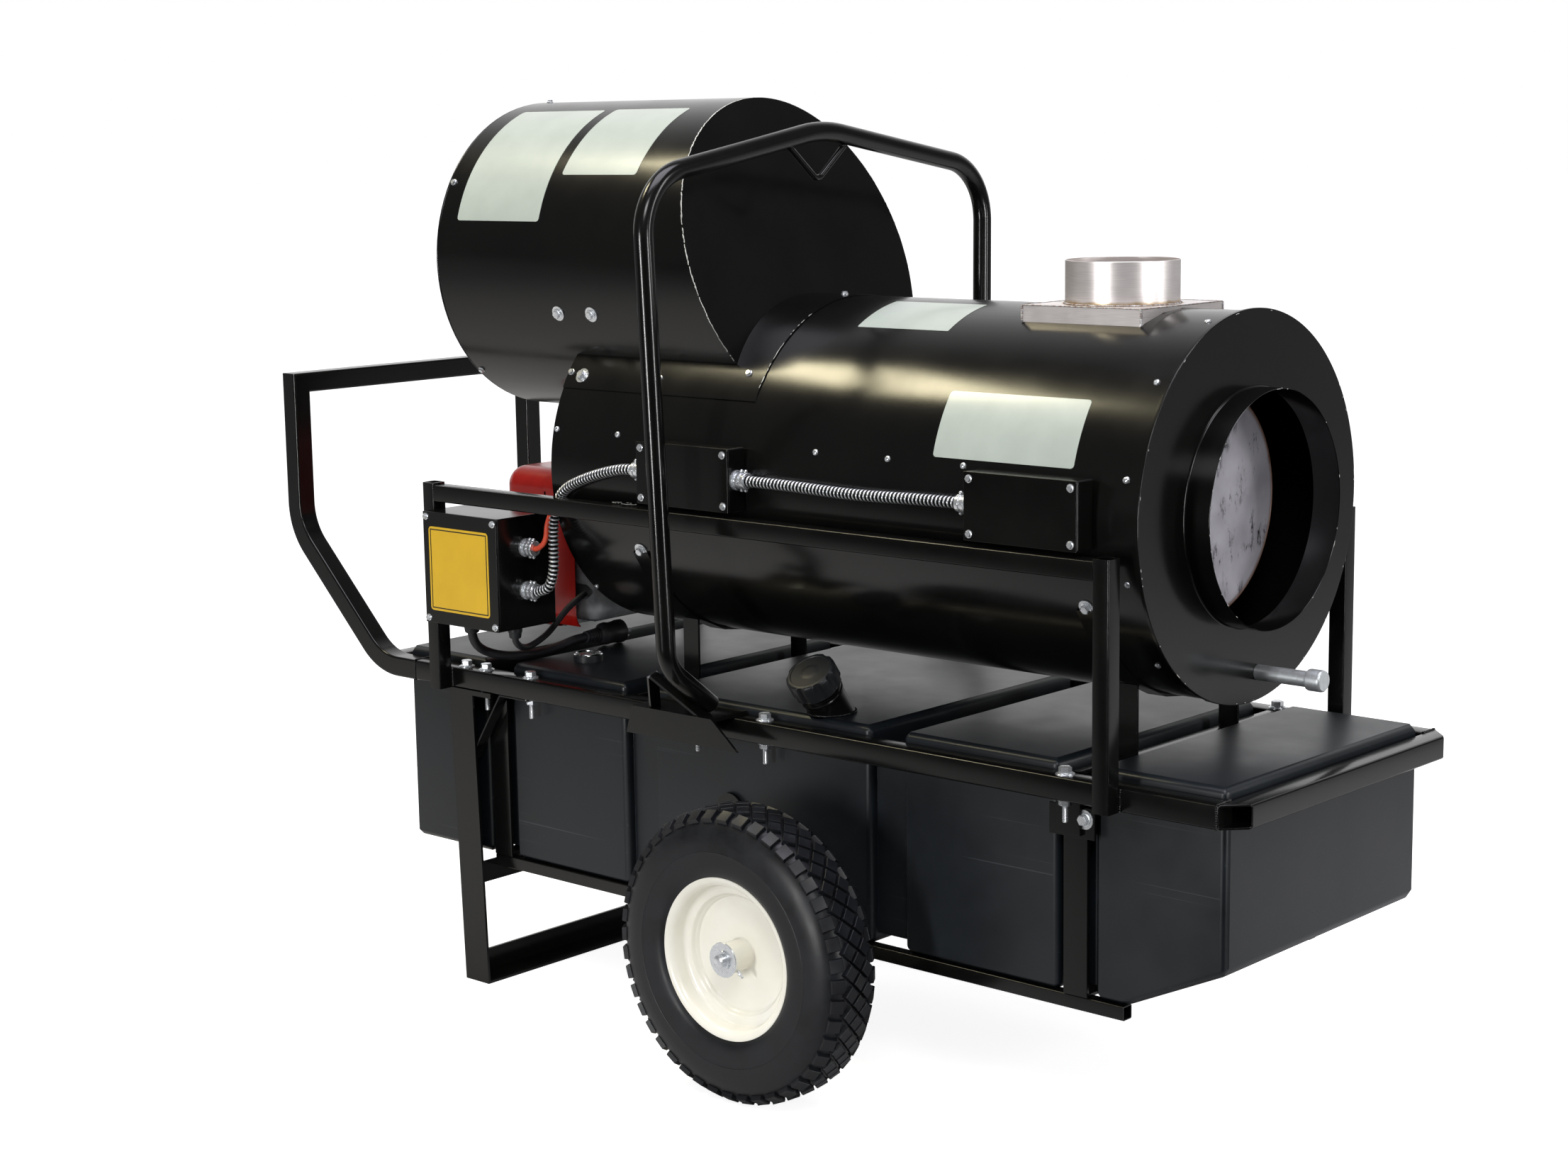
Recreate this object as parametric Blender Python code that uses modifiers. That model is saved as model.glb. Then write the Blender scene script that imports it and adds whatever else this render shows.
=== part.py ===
"""Indirect fired heater on a wheeled tank frame, as separate solids.

Metres, +Z up, +X towards the hot-air outlet, -Y the side with the control box.
The origin is on the floor, midway between the push handle and the bumper.
"""
import math

import bmesh
import bpy
from mathutils import Matrix, Vector

# Clearances and counts
GAP = 0.0003            # between pieces that seat on each other
OVERRUN = 0.02          # how far a cutting solid runs past what it cuts
WELD_REACH = 0.00001    # corners nearer than this are one
DRUM_SIDES = 36         # multiples of four, so that facets of nested pieces line up
PIPE_SIDES = 20
AXLE_SIDES = 16
SMALL_SIDES = 8         # fittings, pins and the like
WIRE_SIDES = 4
WIRE_STEPS = 24         # round a ring of wire

# Main frame, square tube
MAIN_TUBE = 0.03175
MAIN_WALL = 0.0025
MAIN_ROUND = 0.003
HALF_WIDTH = 0.2686     # outer faces of the base rails
RAIL_TOP_Z = 0.500
BUMPER_X = 0.9105       # outer face
HANDLE_X = -0.9105      # outer face
HANDLE_TOP_Z = 0.9375
HANDLE_BEND_R = 0.100
HANDLE_FOOT_X = -0.693  # where the sloped run would meet the rail's centre line
HANDLE_SLOPE = math.radians(45)
HANDLE_WELD_X = -0.606
CROSS_TUBE_X = -0.680
BEND_STEPS = 3

# Light frame, square tube outside the base rails
LIGHT_TUBE = 0.0254
LIGHT_WALL = 0.002
LIGHT_ROUND = 0.002
REAR_UPRIGHT_X = -0.5297
FRONT_UPRIGHT_X = 0.7243
UPRIGHT_TOP_Z = 0.790
UPPER_RAIL_DROP = 0.003  # from the uprights' tops down to the upper rails

# Lower rails, open square tube
LOWER_TUBE = 0.019
LOWER_WALL = 0.0016
LOWER_ROUND = 0.0015
LOWER_HALF_WIDTH = 0.235
LOWER_TOP_Z = 0.203
LOWER_FRONT_X = 0.721

# Stand in formed angle
STAND_SHEET = 0.004
STAND_FRONT_X = -0.4572  # the legs' front edge at the floor
LEG_WIDTH = 0.0525
LEG_RETURN = 0.0325
LEG_LEAN = 0.0163        # how far back the legs lean over their height
FOOT_HEIGHT = 0.038
RUNG_TOP_Z = 0.1951
RUNG_HEIGHT = 0.0335
RUNG_DEPTH = 0.038
LEG_TAB_LENGTH = 0.095
BRACE_WIDTH = 0.020
BRACE_SHEET = 0.003
BRACE_LOW_Z = 0.345
BRACE_RUN = 0.080
BRACE_TAB = 0.065

# Tank
TANK_HALF_WIDTH = 0.2355
TANK_BACK_X = -0.659
TANK_FRONT_X = 0.873
TANK_TOP_Z = 0.5125
TANK_SLOPE_X = 0.7205    # where the outlet end's underside starts to rise
TANK_SLOPE_Z = 0.274     # where it meets the end face
TANK_ROUND = 0.009
TANK_WALL = 0.003
GROOVE_WIDTH = 0.0555
GROOVE_DEPTH = 0.015
GROOVE_DEPTH_TOP = 0.0325
GROOVE_1_X = -0.4485
GROOVE_2_X = -0.1425
GROOVE_3_X = 0.330
GROOVE_4_X = 0.6465
STRAP_WIDTH = 0.038
STRAP_SHEET = 0.005
LUG_LENGTH = 0.046

# Filler and gauge on the tank's top
FILLER_X = 0.202
FILLER_Y = -0.197
FILLER_TILT = math.radians(36)
FILLER_R = 0.032
FILLER_WALL = 0.003
FILLER_LENGTH = 0.072
FILLER_COLLAR = 0.004
FILLER_COLLAR_HEIGHT = 0.006
CAP_R = 0.0365
CAP_HEIGHT = 0.030
CAP_SKIRT = 0.022
CAP_FLUTE = 0.003
CAP_FLUTES = 10
GAUGE_X = -0.337
GAUGE_Y = -0.149
GAUGE_R = 0.0225
GAUGE_HEIGHT = 0.013
GAUGE_RIM = 0.003
DIAL_DEPTH = 0.006
NEEDLE_WIDTH = 0.003
NEEDLE_SHEET = 0.0012
LENS_SHEET = 0.0015
PIVOT_R = 0.0025

# Heater shell
SHEET = 0.0015
SHELL_R = 0.254
SHELL_Z = 0.823
SHELL_BACK_X = -0.295
SHELL_FRONT_X = 0.749
SKIRT = 0.022
COLLAR_R = 0.157
COLLAR_LENGTH = 0.043
RIM_ROLL = 0.004
EXCHANGER_R = 0.152
EXCHANGER_FRONT_X = 0.692
SADDLE_1_X = -0.135      # bolted cradles under the shell
SADDLE_2_X = 0.658
CRADLE_WIDTH = 0.030
CRADLE_SHEET = 0.004
CRADLE_ANGLE = math.radians(64)   # each side of straight down
CRADLE_LEG_Y = 0.120
CRADLE_STEPS = 8
CROSS_BAR = 0.019

# Flue
FLUE_X = 0.550
FLUE_R = 0.0762
FLUE_WALL = 0.0012
FLUE_BOX = 0.190
FLUE_BOX_RISE = 0.004    # above the shell's crown
FLUE_HEIGHT = 0.058      # of the stub above the box
FLUE_CLEARANCE = 0.006

# Clean-out pipe on the outlet plate
PIPE_Y = 0.019
PIPE_RISE = 0.034        # above the shell's bottom
PIPE_Z = SHELL_Z - SHELL_R + PIPE_RISE
PIPE_R = 0.0105
PIPE_WALL = 0.0026
PIPE_LENGTH = 0.100
PIPE_CAP_R = 0.0145
PIPE_CAP_LENGTH = 0.022

# Blower drum
DRUM_R = 0.2365
DRUM_RISE_SHARE = 0.615698   # of both radii, from the shell's axis up to the drum's
DRUM_Z = SHELL_Z + (SHELL_R + DRUM_R) * DRUM_RISE_SHARE
DRUM_BACK_X = -0.5525
DRUM_FRONT_X = -0.0992   # the slanted plate's top edge
DRUM_SLANT = math.atan(0.345)
DRUM_MOUTH_MARGIN = 0.014
HOOD_LOW_SHARE = 0.47244     # of the shell's radius, above its axis
HOOD_LOW_Z = SHELL_Z + SHELL_R * HOOD_LOW_SHARE
HOOD_FRONT_X = 0.091
FAN_X = -0.505
FAN_CLEARANCE = 0.0165   # from the blades' tips to the drum
FAN_R = DRUM_R - FAN_CLEARANCE
FAN_HUB_R = 0.050
FAN_HUB_LENGTH = 0.044
FAN_SHAFT_R = 0.008
FAN_SHAFT_LENGTH = 0.110
FAN_BLADES = 5
BLADE_SHEET = 0.0025
BLADE_ROOT_CHORD = 0.080
BLADE_TIP_CHORD = 0.150
BLADE_PITCH_ROOT = math.radians(42)
BLADE_PITCH_TIP = math.radians(24)
BLADE_CAMBER = 0.012
MOTOR_R = 0.070
MOTOR_LENGTH = 0.150
MOTOR_BACK_X = -0.460
MOTOR_CHAMFER = 0.008
MOUNT_BACK_X = -0.430
MOUNT_SHELF_X = -0.305    # the shelf ends short of the shell's rear plate
MOUNT_FRONT_X = -0.215
MOUNT_SHEET = 0.003
MOUNT_FLANGE = 0.030
GUARD_WIRE = 0.0022
GUARD_RINGS = 4
GUARD_SPOKES = 6         # each crosses the rings between two of their corners
GUARD_FIRST_R = 0.040
GUARD_STANDOFF = 0.0035
GUARD_SPOKE_R = 0.0032
GUARD_SPOKE_SIDES = 6

# Burner
BURNER_HALF_WIDTH = 0.120
BURNER_BACK_X = -0.555
BURNER_FRONT_X = -0.458
BURNER_LOW_Z = 0.545
BURNER_TOP_Z = 0.797
BURNER_ROUND = 0.034
CASTING_HALF_WIDTH = 0.108
CASTING_LOW_Z = 0.560
CASTING_TOP_Z = 0.782
CASTING_ROUND = 0.020
CASTING_NECK_R = 0.060
CASTING_RIM = 0.006       # the flange that carries the cover
CASTING_REACH_SHARE = 0.62
BURNER_AXIS_Z = 0.740
BURNER_FLANGE = 0.170
BURNER_FLANGE_SHEET = 0.010
BLAST_R = 0.050
BLAST_WALL = 0.002
BLAST_LENGTH = 0.230
SLOT_LENGTH = 0.060
SLOT_HEIGHT = 0.022
SLOT_DEPTH = 0.018
SLOT_ROUND = 0.009
SLOT_DROP = 0.130        # below the burner's axis

# Control box and junction boxes
BOX_SHEET = 0.0015
BOX_ROUND = 0.002
CONTROL_FRONT_Y = -0.317
CONTROL_BACK_Y = -0.199
CONTROL_LENGTH = 0.1645
CONTROL_LOW_Z = 0.579
CONTROL_TOP_Z = 0.750
JUNCTION_FRONT_Y = -0.290
JUNCTION_LENGTH = 0.177
JUNCTION_LOW_Z = 0.794
JUNCTION_TOP_Z = 0.883
JUNCTION_1_X = 0.0076
JUNCTION_2_X = 0.5967
JUNCTION_ROUND = 0.003
COVER_LIP = 0.0015

# Fittings, conduits and cables
CONDUIT_R = 0.0075
CONDUIT_BORE_R = 0.0052
CONDUIT_RIB = 0.0011
CONDUIT_PITCH = 0.0160
CONDUIT_Z = 0.8385
FITTING_R = 0.0115
FITTING_FLANGE_R = 0.0135
FITTING_LENGTH = 0.022
FITTING_FLANGE = 0.005
GLAND_LENGTH = 0.016     # of those under the control box
CABLE_INSET = 0.0012     # cables start this far out of their box
CABLE_STEP = 0.013
CONTROL_PORT_1_Y = -0.2586
CONTROL_PORT_1_Z = 0.7014
CONTROL_PORT_2_Z = 0.6364
LEAD_X = -0.366
LEAD_Y = -0.272
CORD_X = -0.4547
CORD_Y = -0.280
ORANGE_R = 0.004
LEAD_R = 0.005
LEAD_END_Z = 0.608
CORD_R = 0.007
PLUG_R = 0.0185
PLUG_LENGTH = 0.046
PLUG_RELIEF = 0.030
RELIEF_R = 0.00945       # where the cord goes in
RELIEF_END_R = 0.01134
PLUG_SHOULDER_R = 0.01665
PLUG_PIN_R = 0.00243
PLUG_PIN_DROP = 0.01016
PLUG_ROOT = 0.003        # how far the blades start inside the body
BLADE_LENGTH = 0.017
PLUG_BLADE_WIDTH = 0.0064
PLUG_BLADE_SHEET = 0.0015
PLUG_BLADE_SPACING = 0.0127

# Lifting hoop
HOOP_R = 0.014
HOOP_WALL = 0.0025
HOOP_FOOT_OUT = 0.0014   # the hoop's own steps out from the rails' faces
HOOP_KNEE_OUT = 0.0859
HOOP_SHOULDER_OUT = 0.1059
HOOP_FOOT_Y = HALF_WIDTH + HOOP_FOOT_OUT
HOOP_KNEE_Y = HALF_WIDTH + HOOP_KNEE_OUT
HOOP_KNEE_Z = 0.580
HOOP_SHOULDER_Y = HALF_WIDTH + HOOP_SHOULDER_OUT
HOOP_SHOULDER_Z = 1.236
HOOP_APEX_Z = 1.3145
HOOP_KNEE_R = 0.060
HOOP_BEND_R = 0.090
HOOP_APEX_R = 0.240
HOOP_FOOT_X = 0.0367     # the hoop leans back from here
HOOP_APEX_X = 0.0243
EYE_R = 0.0045
EYE_HALF_SPAN = 0.059
EYE_DROP = 0.048
EYE_OFFSET_Y = -0.012
FOOT_PLATE_SHEET = 0.004
FOOT_PLATE_OUT = 0.0419
FOOT_PLATE_Y = HALF_WIDTH + FOOT_PLATE_OUT
FOOT_FLANGE_LOW_Z = 0.4635
FOOT_BACK_X = -0.093
FOOT_FRONT_X = 0.124
FOOT_TOP_BACK_X = -0.081
FOOT_TOP_FRONT_X = 0.075
GUSSET_WIDTH = 0.018
GUSSET_TOP_Z = 0.560
GUSSET_TOP_X = -0.018
GUSSET_TOP_OUT = 0.0614
GUSSET_TOP_Y = HALF_WIDTH + GUSSET_TOP_OUT
GUSSET_BACK_X = -0.046
GUSSET_FRONT_X = 0.046
GUSSET_LOW_OUT = 0.0294
GUSSET_LOW_Y = HALF_WIDTH + GUSSET_LOW_OUT

# Wheels and axle
WHEEL_X = 0.198
TYRE_R = 0.2077
TYRE_WIDTH = 0.100
TYRE_BEAD_R = 0.1035
RIM_R = 0.1137
RIM_WIDTH = 0.0846
RIM_SHEET = 0.003
HUB_R = 0.026
HUB_LENGTH = 0.085
LUG_HEIGHT = 0.006
LUG_WIDTH = 0.021
LUG_COUNT = 24
SHOULDER_ROUND = 0.020
SIDE_DRAFT = 0.004
SIDE_FLARE = 0.006       # the side wall above the rim's flange
WHEEL_Y = 0.380          # middle of the tyre
AXLE_R = 0.0127
AXLE_CLEARANCE = 0.0005
AXLE_END_Y = 0.4362
WASHER_R = 0.022
WASHER_SHEET = 0.003
HANGER_SHEET = 0.006
HANGER_WIDTH = 0.050
HANGER_TOP_X = 0.042
HANGER_TOP_Z = 0.355
SLEEVE_R = 0.019

NEAR = -1
FAR = 1
SIDES = {"near": NEAR, "far": FAR}
UP = Vector((0, 0, 1))

for old in list(bpy.data.objects):
    bpy.data.objects.remove(old, do_unlink=True)


def new_collection(name):
    group = bpy.data.collections.new(name)
    bpy.context.scene.collection.children.link(group)
    return group


PARTS = new_collection("indirect_fired_heater")
CUTTERS = new_collection("cutters")


def material(name, colour, roughness, metallic=0.0):
    mat = bpy.data.materials.new(name)
    mat.use_nodes = True
    shader = mat.node_tree.nodes["Principled BSDF"]
    shader.inputs["Base Color"].default_value = (*colour, 1.0)
    shader.inputs["Roughness"].default_value = roughness
    shader.inputs["Metallic"].default_value = metallic
    mat.diffuse_color = (*colour, 1.0)
    return mat


BLACK = material("black_powder_coat", (0.012, 0.012, 0.011), 0.32)
TANK_PAINT = material("tank_enamel", (0.022, 0.025, 0.030), 0.38)
STAINLESS = material("brushed_stainless", (0.55, 0.53, 0.50), 0.28, 1.0)
SCALED_STEEL = material("mill_scale_steel", (0.30, 0.29, 0.33), 0.55, 1.0)
ZINC = material("bright_zinc", (0.62, 0.63, 0.65), 0.25, 1.0)
RUBBER = material("tyre_rubber", (0.020, 0.021, 0.023), 0.70)
RIM_ENAMEL = material("rim_enamel", (0.80, 0.80, 0.70), 0.25)
BURNER_RED = material("burner_red", (0.48, 0.012, 0.008), 0.30)
CAST_ALUMINIUM = material("cast_aluminium", (0.42, 0.43, 0.46), 0.45, 1.0)
CABLE_RUBBER = material("cable_rubber", (0.018, 0.018, 0.019), 0.60)
CABLE_ORANGE = material("cable_orange", (0.64, 0.060, 0.025), 0.45)
CAP_PLASTIC = material("cap_plastic", (0.020, 0.021, 0.022), 0.50)
GLASS = material("gauge_glass", (0.85, 0.87, 0.88), 0.05)
NEEDLE_RED = material("needle_red", (0.60, 0.02, 0.01), 0.40)


def put(name, data, mat, at=(0, 0, 0), turn=(0, 0, 0)):
    obj = bpy.data.objects.new(name, data)
    obj.location = at
    obj.rotation_euler = turn
    data.materials.append(mat)
    PARTS.objects.link(obj)
    return obj


def mesh_from(name, bm, smooth=False):
    bmesh.ops.recalc_face_normals(bm, faces=bm.faces)
    mesh = bpy.data.meshes.new(name)
    bm.to_mesh(mesh)
    bm.free()
    if smooth:
        mesh.shade_smooth()
        mesh.set_sharp_from_angle(angle=math.radians(35))
    return mesh


def combine(obj, tool, operation):
    """Cuts or joins one piece with another, which then only serves as its tool."""
    change = obj.modifiers.new(operation.lower(), "BOOLEAN")
    change.operation = operation
    change.object = tool
    for group in list(tool.users_collection):
        group.objects.unlink(tool)
    if tool.name not in CUTTERS.objects:
        CUTTERS.objects.link(tool)
    tool.hide_render = True
    tool.display_type = "WIRE"
    return obj


def cut(obj, *tools):
    for tool in tools:
        combine(obj, tool, "DIFFERENCE")
    return obj


def join(obj, *tools):
    for tool in tools:
        combine(obj, tool, "UNION")
    return obj


def keep_inside(obj, tool):
    return combine(obj, tool, "INTERSECT")


def wall(obj, thickness):
    """Gives an open surface its sheet, towards the inside."""
    sheet = obj.modifiers.new("sheet", "SOLIDIFY")
    sheet.thickness = thickness
    sheet.offset = -1
    sheet.use_even_offset = True
    return obj


def box_mesh(name, size, round_by=0, along=None, open_side=None):
    """A box about its own middle, its edges rounded all over or only along one axis."""
    bm = bmesh.new()
    bmesh.ops.create_cube(bm, size=1)
    bmesh.ops.scale(bm, vec=size, verts=bm.verts)
    edges = bm.edges[:]
    if along is not None:
        edges = [e for e in edges if abs((e.verts[0].co - e.verts[1].co)[along]) > size[along] / 2]
    if round_by:
        bmesh.ops.bevel(bm, geom=edges, offset=round_by, segments=1, affect="EDGES", profile=0.5)
    if open_side is not None:
        axis, sign = open_side
        ends = [f for f in bm.faces if f.normal[axis] * sign > 0.99]
        bmesh.ops.delete(bm, geom=ends, context="FACES")
    return mesh_from(name, bm)


def box(name, low, high, mat, **kwargs):
    low, high = Vector(low), Vector(high)
    return put(name, box_mesh(name, high - low, **kwargs), mat, at=(low + high) / 2)


def rod(name, start, end, radius, mat, sides=PIPE_SIDES, end_radius=None):
    """A round bar or a cone between two points."""
    start, end = Vector(start), Vector(end)
    bm = bmesh.new()
    bmesh.ops.create_cone(bm, cap_ends=True, segments=sides, radius1=radius,
                          radius2=radius if end_radius is None else end_radius,
                          depth=(end - start).length)
    turn = (end - start).to_track_quat("Z", "Y").to_euler()
    return put(name, mesh_from(name, bm, smooth=True), mat, at=(start + end) / 2, turn=turn)


def turned(name, profile, mat, at, along, sides=PIPE_SIDES, closed=True):
    """Turns a profile of (radius, height) about the direction `along`.

    The height runs along that direction from `at`. A profile that starts and ends
    on the axis is open, and any other is a closed loop.
    """
    area = sum(a[0] * b[1] - b[0] * a[1] for a, b in zip(profile, profile[1:] + profile[:1]))
    points = profile[::-1] if area > 0 else profile
    bm = bmesh.new()
    verts = [bm.verts.new((r, 0, h)) for r, h in points]
    pairs = list(zip(verts, verts[1:]))
    if closed:
        pairs.append((verts[-1], verts[0]))
    for pair in pairs:
        bm.edges.new(pair)
    mesh = bpy.data.meshes.new(name)
    bm.to_mesh(mesh)
    bm.free()
    obj = put(name, mesh, mat, at=at, turn=Vector(along).to_track_quat("Z", "Y").to_euler())
    lathe = obj.modifiers.new("lathe", "SCREW")
    lathe.axis = "Z"
    lathe.steps = sides
    lathe.render_steps = sides
    lathe.use_merge_vertices = True
    lathe.merge_threshold = WELD_REACH
    lathe.use_smooth_shade = True
    return obj


def open_tube(name, start_x, end_x, radius, z, mat, sides=DRUM_SIDES):
    """A drum's skin along X, open at both ends."""
    bm = bmesh.new()
    bmesh.ops.create_cone(bm, cap_ends=False, segments=sides, radius1=radius, radius2=radius,
                          depth=end_x - start_x)
    bmesh.ops.rotate(bm, matrix=Matrix.Rotation(math.pi / 2, 3, "Y"), verts=bm.verts)
    return put(name, mesh_from(name, bm, smooth=True), mat, at=((start_x + end_x) / 2, 0, z))


def round_solid(name, start_x, end_x, radius, z, sides=DRUM_SIDES):
    """A full cylinder along X with the same facets as a drum's skin."""
    bm = bmesh.new()
    bmesh.ops.create_cone(bm, cap_ends=True, segments=sides, radius1=radius, radius2=radius,
                          depth=end_x - start_x)
    bmesh.ops.rotate(bm, matrix=Matrix.Rotation(math.pi / 2, 3, "Y"), verts=bm.verts)
    return put(name, mesh_from(name, bm), BLACK, at=((start_x + end_x) / 2, 0, z))


def square_section(side, round_by):
    half, flat = side / 2, side / 2 - round_by
    return [(half, -flat), (half, flat), (flat, half), (-flat, half),
            (-half, flat), (-half, -flat), (-flat, -half), (flat, -half)]


def flat_section(width, thickness):
    w, t = width / 2, thickness / 2
    return [(w, -t), (w, t), (-w, t), (-w, -t)]


def angle_section(wide, tall, thickness):
    """An L whose outer corner is at the origin, `wide` along u and `tall` along v."""
    return [(0, 0), (wide, 0), (wide, thickness), (thickness, thickness), (thickness, tall), (0, tall)]


def swept(name, path, section, mat, up=UP, hollow=0, start_cut=None, end_cut=None):
    """Draws a section along a path of straight runs.

    Each corner of the section slides straight on to the mitre plane at the next point.
    A hollow one stays open at both ends.
    """
    path = [Vector(p) for p in path]
    runs = [(b - a).normalized() for a, b in zip(path, path[1:])]
    side = runs[0].cross(Vector(up)).normalized()
    rise = side.cross(runs[0])
    mitres = [(a + b).normalized() for a, b in zip(runs, runs[1:])]
    first = Vector(start_cut) if start_cut else runs[0]
    last = Vector(end_cut) if end_cut else runs[-1]
    bm = bmesh.new()
    ring = [bm.verts.new(path[0] + side * u + rise * v) for u, v in section]
    for vert in ring:
        vert.co += runs[0] * ((path[0] - vert.co).dot(first) / runs[0].dot(first))
    edges = [bm.edges.new(pair) for pair in zip(ring, ring[1:] + ring[:1])]
    for run, point, mitre in zip(runs, path[1:], mitres + [last]):
        grown = bmesh.ops.extrude_edge_only(bm, edges=edges)["geom"]
        edges = [g for g in grown if isinstance(g, bmesh.types.BMEdge)]
        for vert in [g for g in grown if isinstance(g, bmesh.types.BMVert)]:
            vert.co += run * ((point - vert.co).dot(mitre) / run.dot(mitre))
    if not hollow:
        bmesh.ops.holes_fill(bm, edges=[e for e in bm.edges if e.is_boundary], sides=0)
    obj = put(name, mesh_from(name, bm), mat)
    return wall(obj, hollow) if hollow else obj


def bend(before, corner, after, radius, steps=BEND_STEPS):
    """Points of the arc that rounds a path's corner."""
    before, corner, after = Vector(before), Vector(corner), Vector(after)
    back, on = (before - corner).normalized(), (after - corner).normalized()
    half = back.angle(on) / 2
    middle = corner + (back + on).normalized() * (radius / math.sin(half))
    start = corner + back * (radius / math.tan(half))
    turn = math.pi - 2 * half
    axis = back.cross(on).normalized()
    spokes = [Matrix.Rotation(-turn * i / steps, 3, axis) @ (start - middle) for i in range(steps + 1)]
    return [middle + spoke for spoke in spokes]


def line_curve(name, points, radius, resolution=2, capped=True, radii=None):
    curve = bpy.data.curves.new(name, "CURVE")
    curve.dimensions = "3D"
    curve.bevel_depth = radius
    curve.bevel_resolution = resolution
    curve.use_fill_caps = capped
    spline = curve.splines.new("POLY")
    spline.points.add(len(points) - 1)
    for i, (target, point) in enumerate(zip(spline.points, points)):
        target.co = (*point, 1)
        target.radius = radii[i] if radii else 1
    return curve


def wire(name, points, radius, mat, resolution=2, capped=True, radii=None):
    return put(name, line_curve(name, points, radius, resolution, capped, radii), mat)


def as_mesh(obj):
    """Turns a curve piece into a mesh piece, with its end caps welded on."""
    bpy.context.view_layer.update()
    graph = bpy.context.evaluated_depsgraph_get()
    mesh = bpy.data.meshes.new_from_object(obj.evaluated_get(graph))
    bm = bmesh.new()
    bm.from_mesh(mesh)
    bmesh.ops.remove_doubles(bm, verts=bm.verts, dist=WELD_REACH)
    bmesh.ops.recalc_face_normals(bm, faces=bm.faces)
    bm.to_mesh(mesh)
    bm.free()
    name, place = obj.name, obj.matrix_world.copy()
    bpy.data.objects.remove(obj, do_unlink=True)
    solid = bpy.data.objects.new(name, mesh)
    solid.matrix_world = place
    PARTS.objects.link(solid)
    return solid


def smooth_path(points, spacing):
    """Points at an even spacing along a smooth curve through the given ones."""
    points = [Vector(p) for p in points]
    ends = [points[0] * 2 - points[1]] + points + [points[-1] * 2 - points[-2]]
    fine = []
    count = 24
    for a, b, c, d in zip(ends, ends[1:], ends[2:], ends[3:]):
        for i in range(count):
            t = i / count
            fine.append(0.5 * (2 * b + (c - a) * t + (2 * a - 5 * b + 4 * c - d) * t ** 2
                               + (3 * b - a - 3 * c + d) * t ** 3))
    fine.append(points[-1])
    steps = [(b - a).length for a, b in zip(fine, fine[1:])]
    total = sum(steps)
    wanted = max(2, round(total / spacing))
    out, done, at = [fine[0]], 0, 0
    for i in range(1, wanted):
        target = total * i / wanted
        while done + steps[at] < target:
            done += steps[at]
            at += 1
        out.append(fine[at].lerp(fine[at + 1], (target - done) / steps[at]))
    return out + [fine[-1]]


def path_length(points):
    return sum((Vector(b) - Vector(a)).length for a, b in zip(points, points[1:]))


RAIL_Z = RAIL_TOP_Z - MAIN_TUBE / 2
RAIL_Y = HALF_WIDTH - MAIN_TUBE / 2
RAIL_LOW_Z = RAIL_TOP_Z - MAIN_TUBE
BUMPER_BACK_X = BUMPER_X - MAIN_TUBE
LIGHT_Y = HALF_WIDTH + GAP + LIGHT_TUBE / 2
UPPER_RAIL_Z = UPRIGHT_TOP_Z - UPPER_RAIL_DROP - LIGHT_TUBE / 2
LOWER_RAIL_Y = LOWER_HALF_WIDTH - LOWER_TUBE / 2
LOWER_RAIL_Z = LOWER_TOP_Z - LOWER_TUBE / 2
GROOVES = (GROOVE_1_X, GROOVE_2_X, GROOVE_3_X, GROOVE_4_X)


def base_rails():
    section = square_section(MAIN_TUBE, MAIN_ROUND)
    for side, sign in SIDES.items():
        ends = [(HANDLE_WELD_X + GAP, sign * RAIL_Y, RAIL_Z), (BUMPER_BACK_X - GAP, sign * RAIL_Y, RAIL_Z)]
        swept(f"base_rail_{side}", ends, section, BLACK, hollow=MAIN_WALL)


def bumper():
    half, x = RAIL_Y, BUMPER_X - MAIN_TUBE / 2
    swept("bumper_tube", [(x, -half, RAIL_Z), (x, half, RAIL_Z)], square_section(MAIN_TUBE, MAIN_ROUND),
          BLACK, hollow=MAIN_WALL, start_cut=(-1, 1, 0), end_cut=(1, 1, 0))


def push_handle():
    """Both sides and the cross bar in one tube, bent twice and mitred at the top corners."""
    x = HANDLE_X + MAIN_TUBE / 2
    top = HANDLE_TOP_Z - MAIN_TUBE / 2
    knee_z = RAIL_Z + (HANDLE_FOOT_X - x) * math.tan(HANDLE_SLOPE)

    def side_points(sign):
        corners = [(HANDLE_WELD_X, sign * RAIL_Y, RAIL_Z), (HANDLE_FOOT_X, sign * RAIL_Y, RAIL_Z),
                   (x, sign * RAIL_Y, knee_z), (x, sign * RAIL_Y, top)]
        return [corners[0], *bend(*corners[:3], HANDLE_BEND_R), *bend(*corners[1:], HANDLE_BEND_R), corners[3]]

    path = side_points(NEAR) + side_points(FAR)[::-1]
    swept("push_handle", path, square_section(MAIN_TUBE, MAIN_ROUND), BLACK, hollow=MAIN_WALL)


def rear_cross_tube():
    reach = HALF_WIDTH - MAIN_TUBE - GAP
    swept("rear_cross_tube", [(CROSS_TUBE_X, -reach, RAIL_Z), (CROSS_TUBE_X, reach, RAIL_Z)],
          square_section(MAIN_TUBE, MAIN_ROUND), BLACK, hollow=MAIN_WALL)


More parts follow.
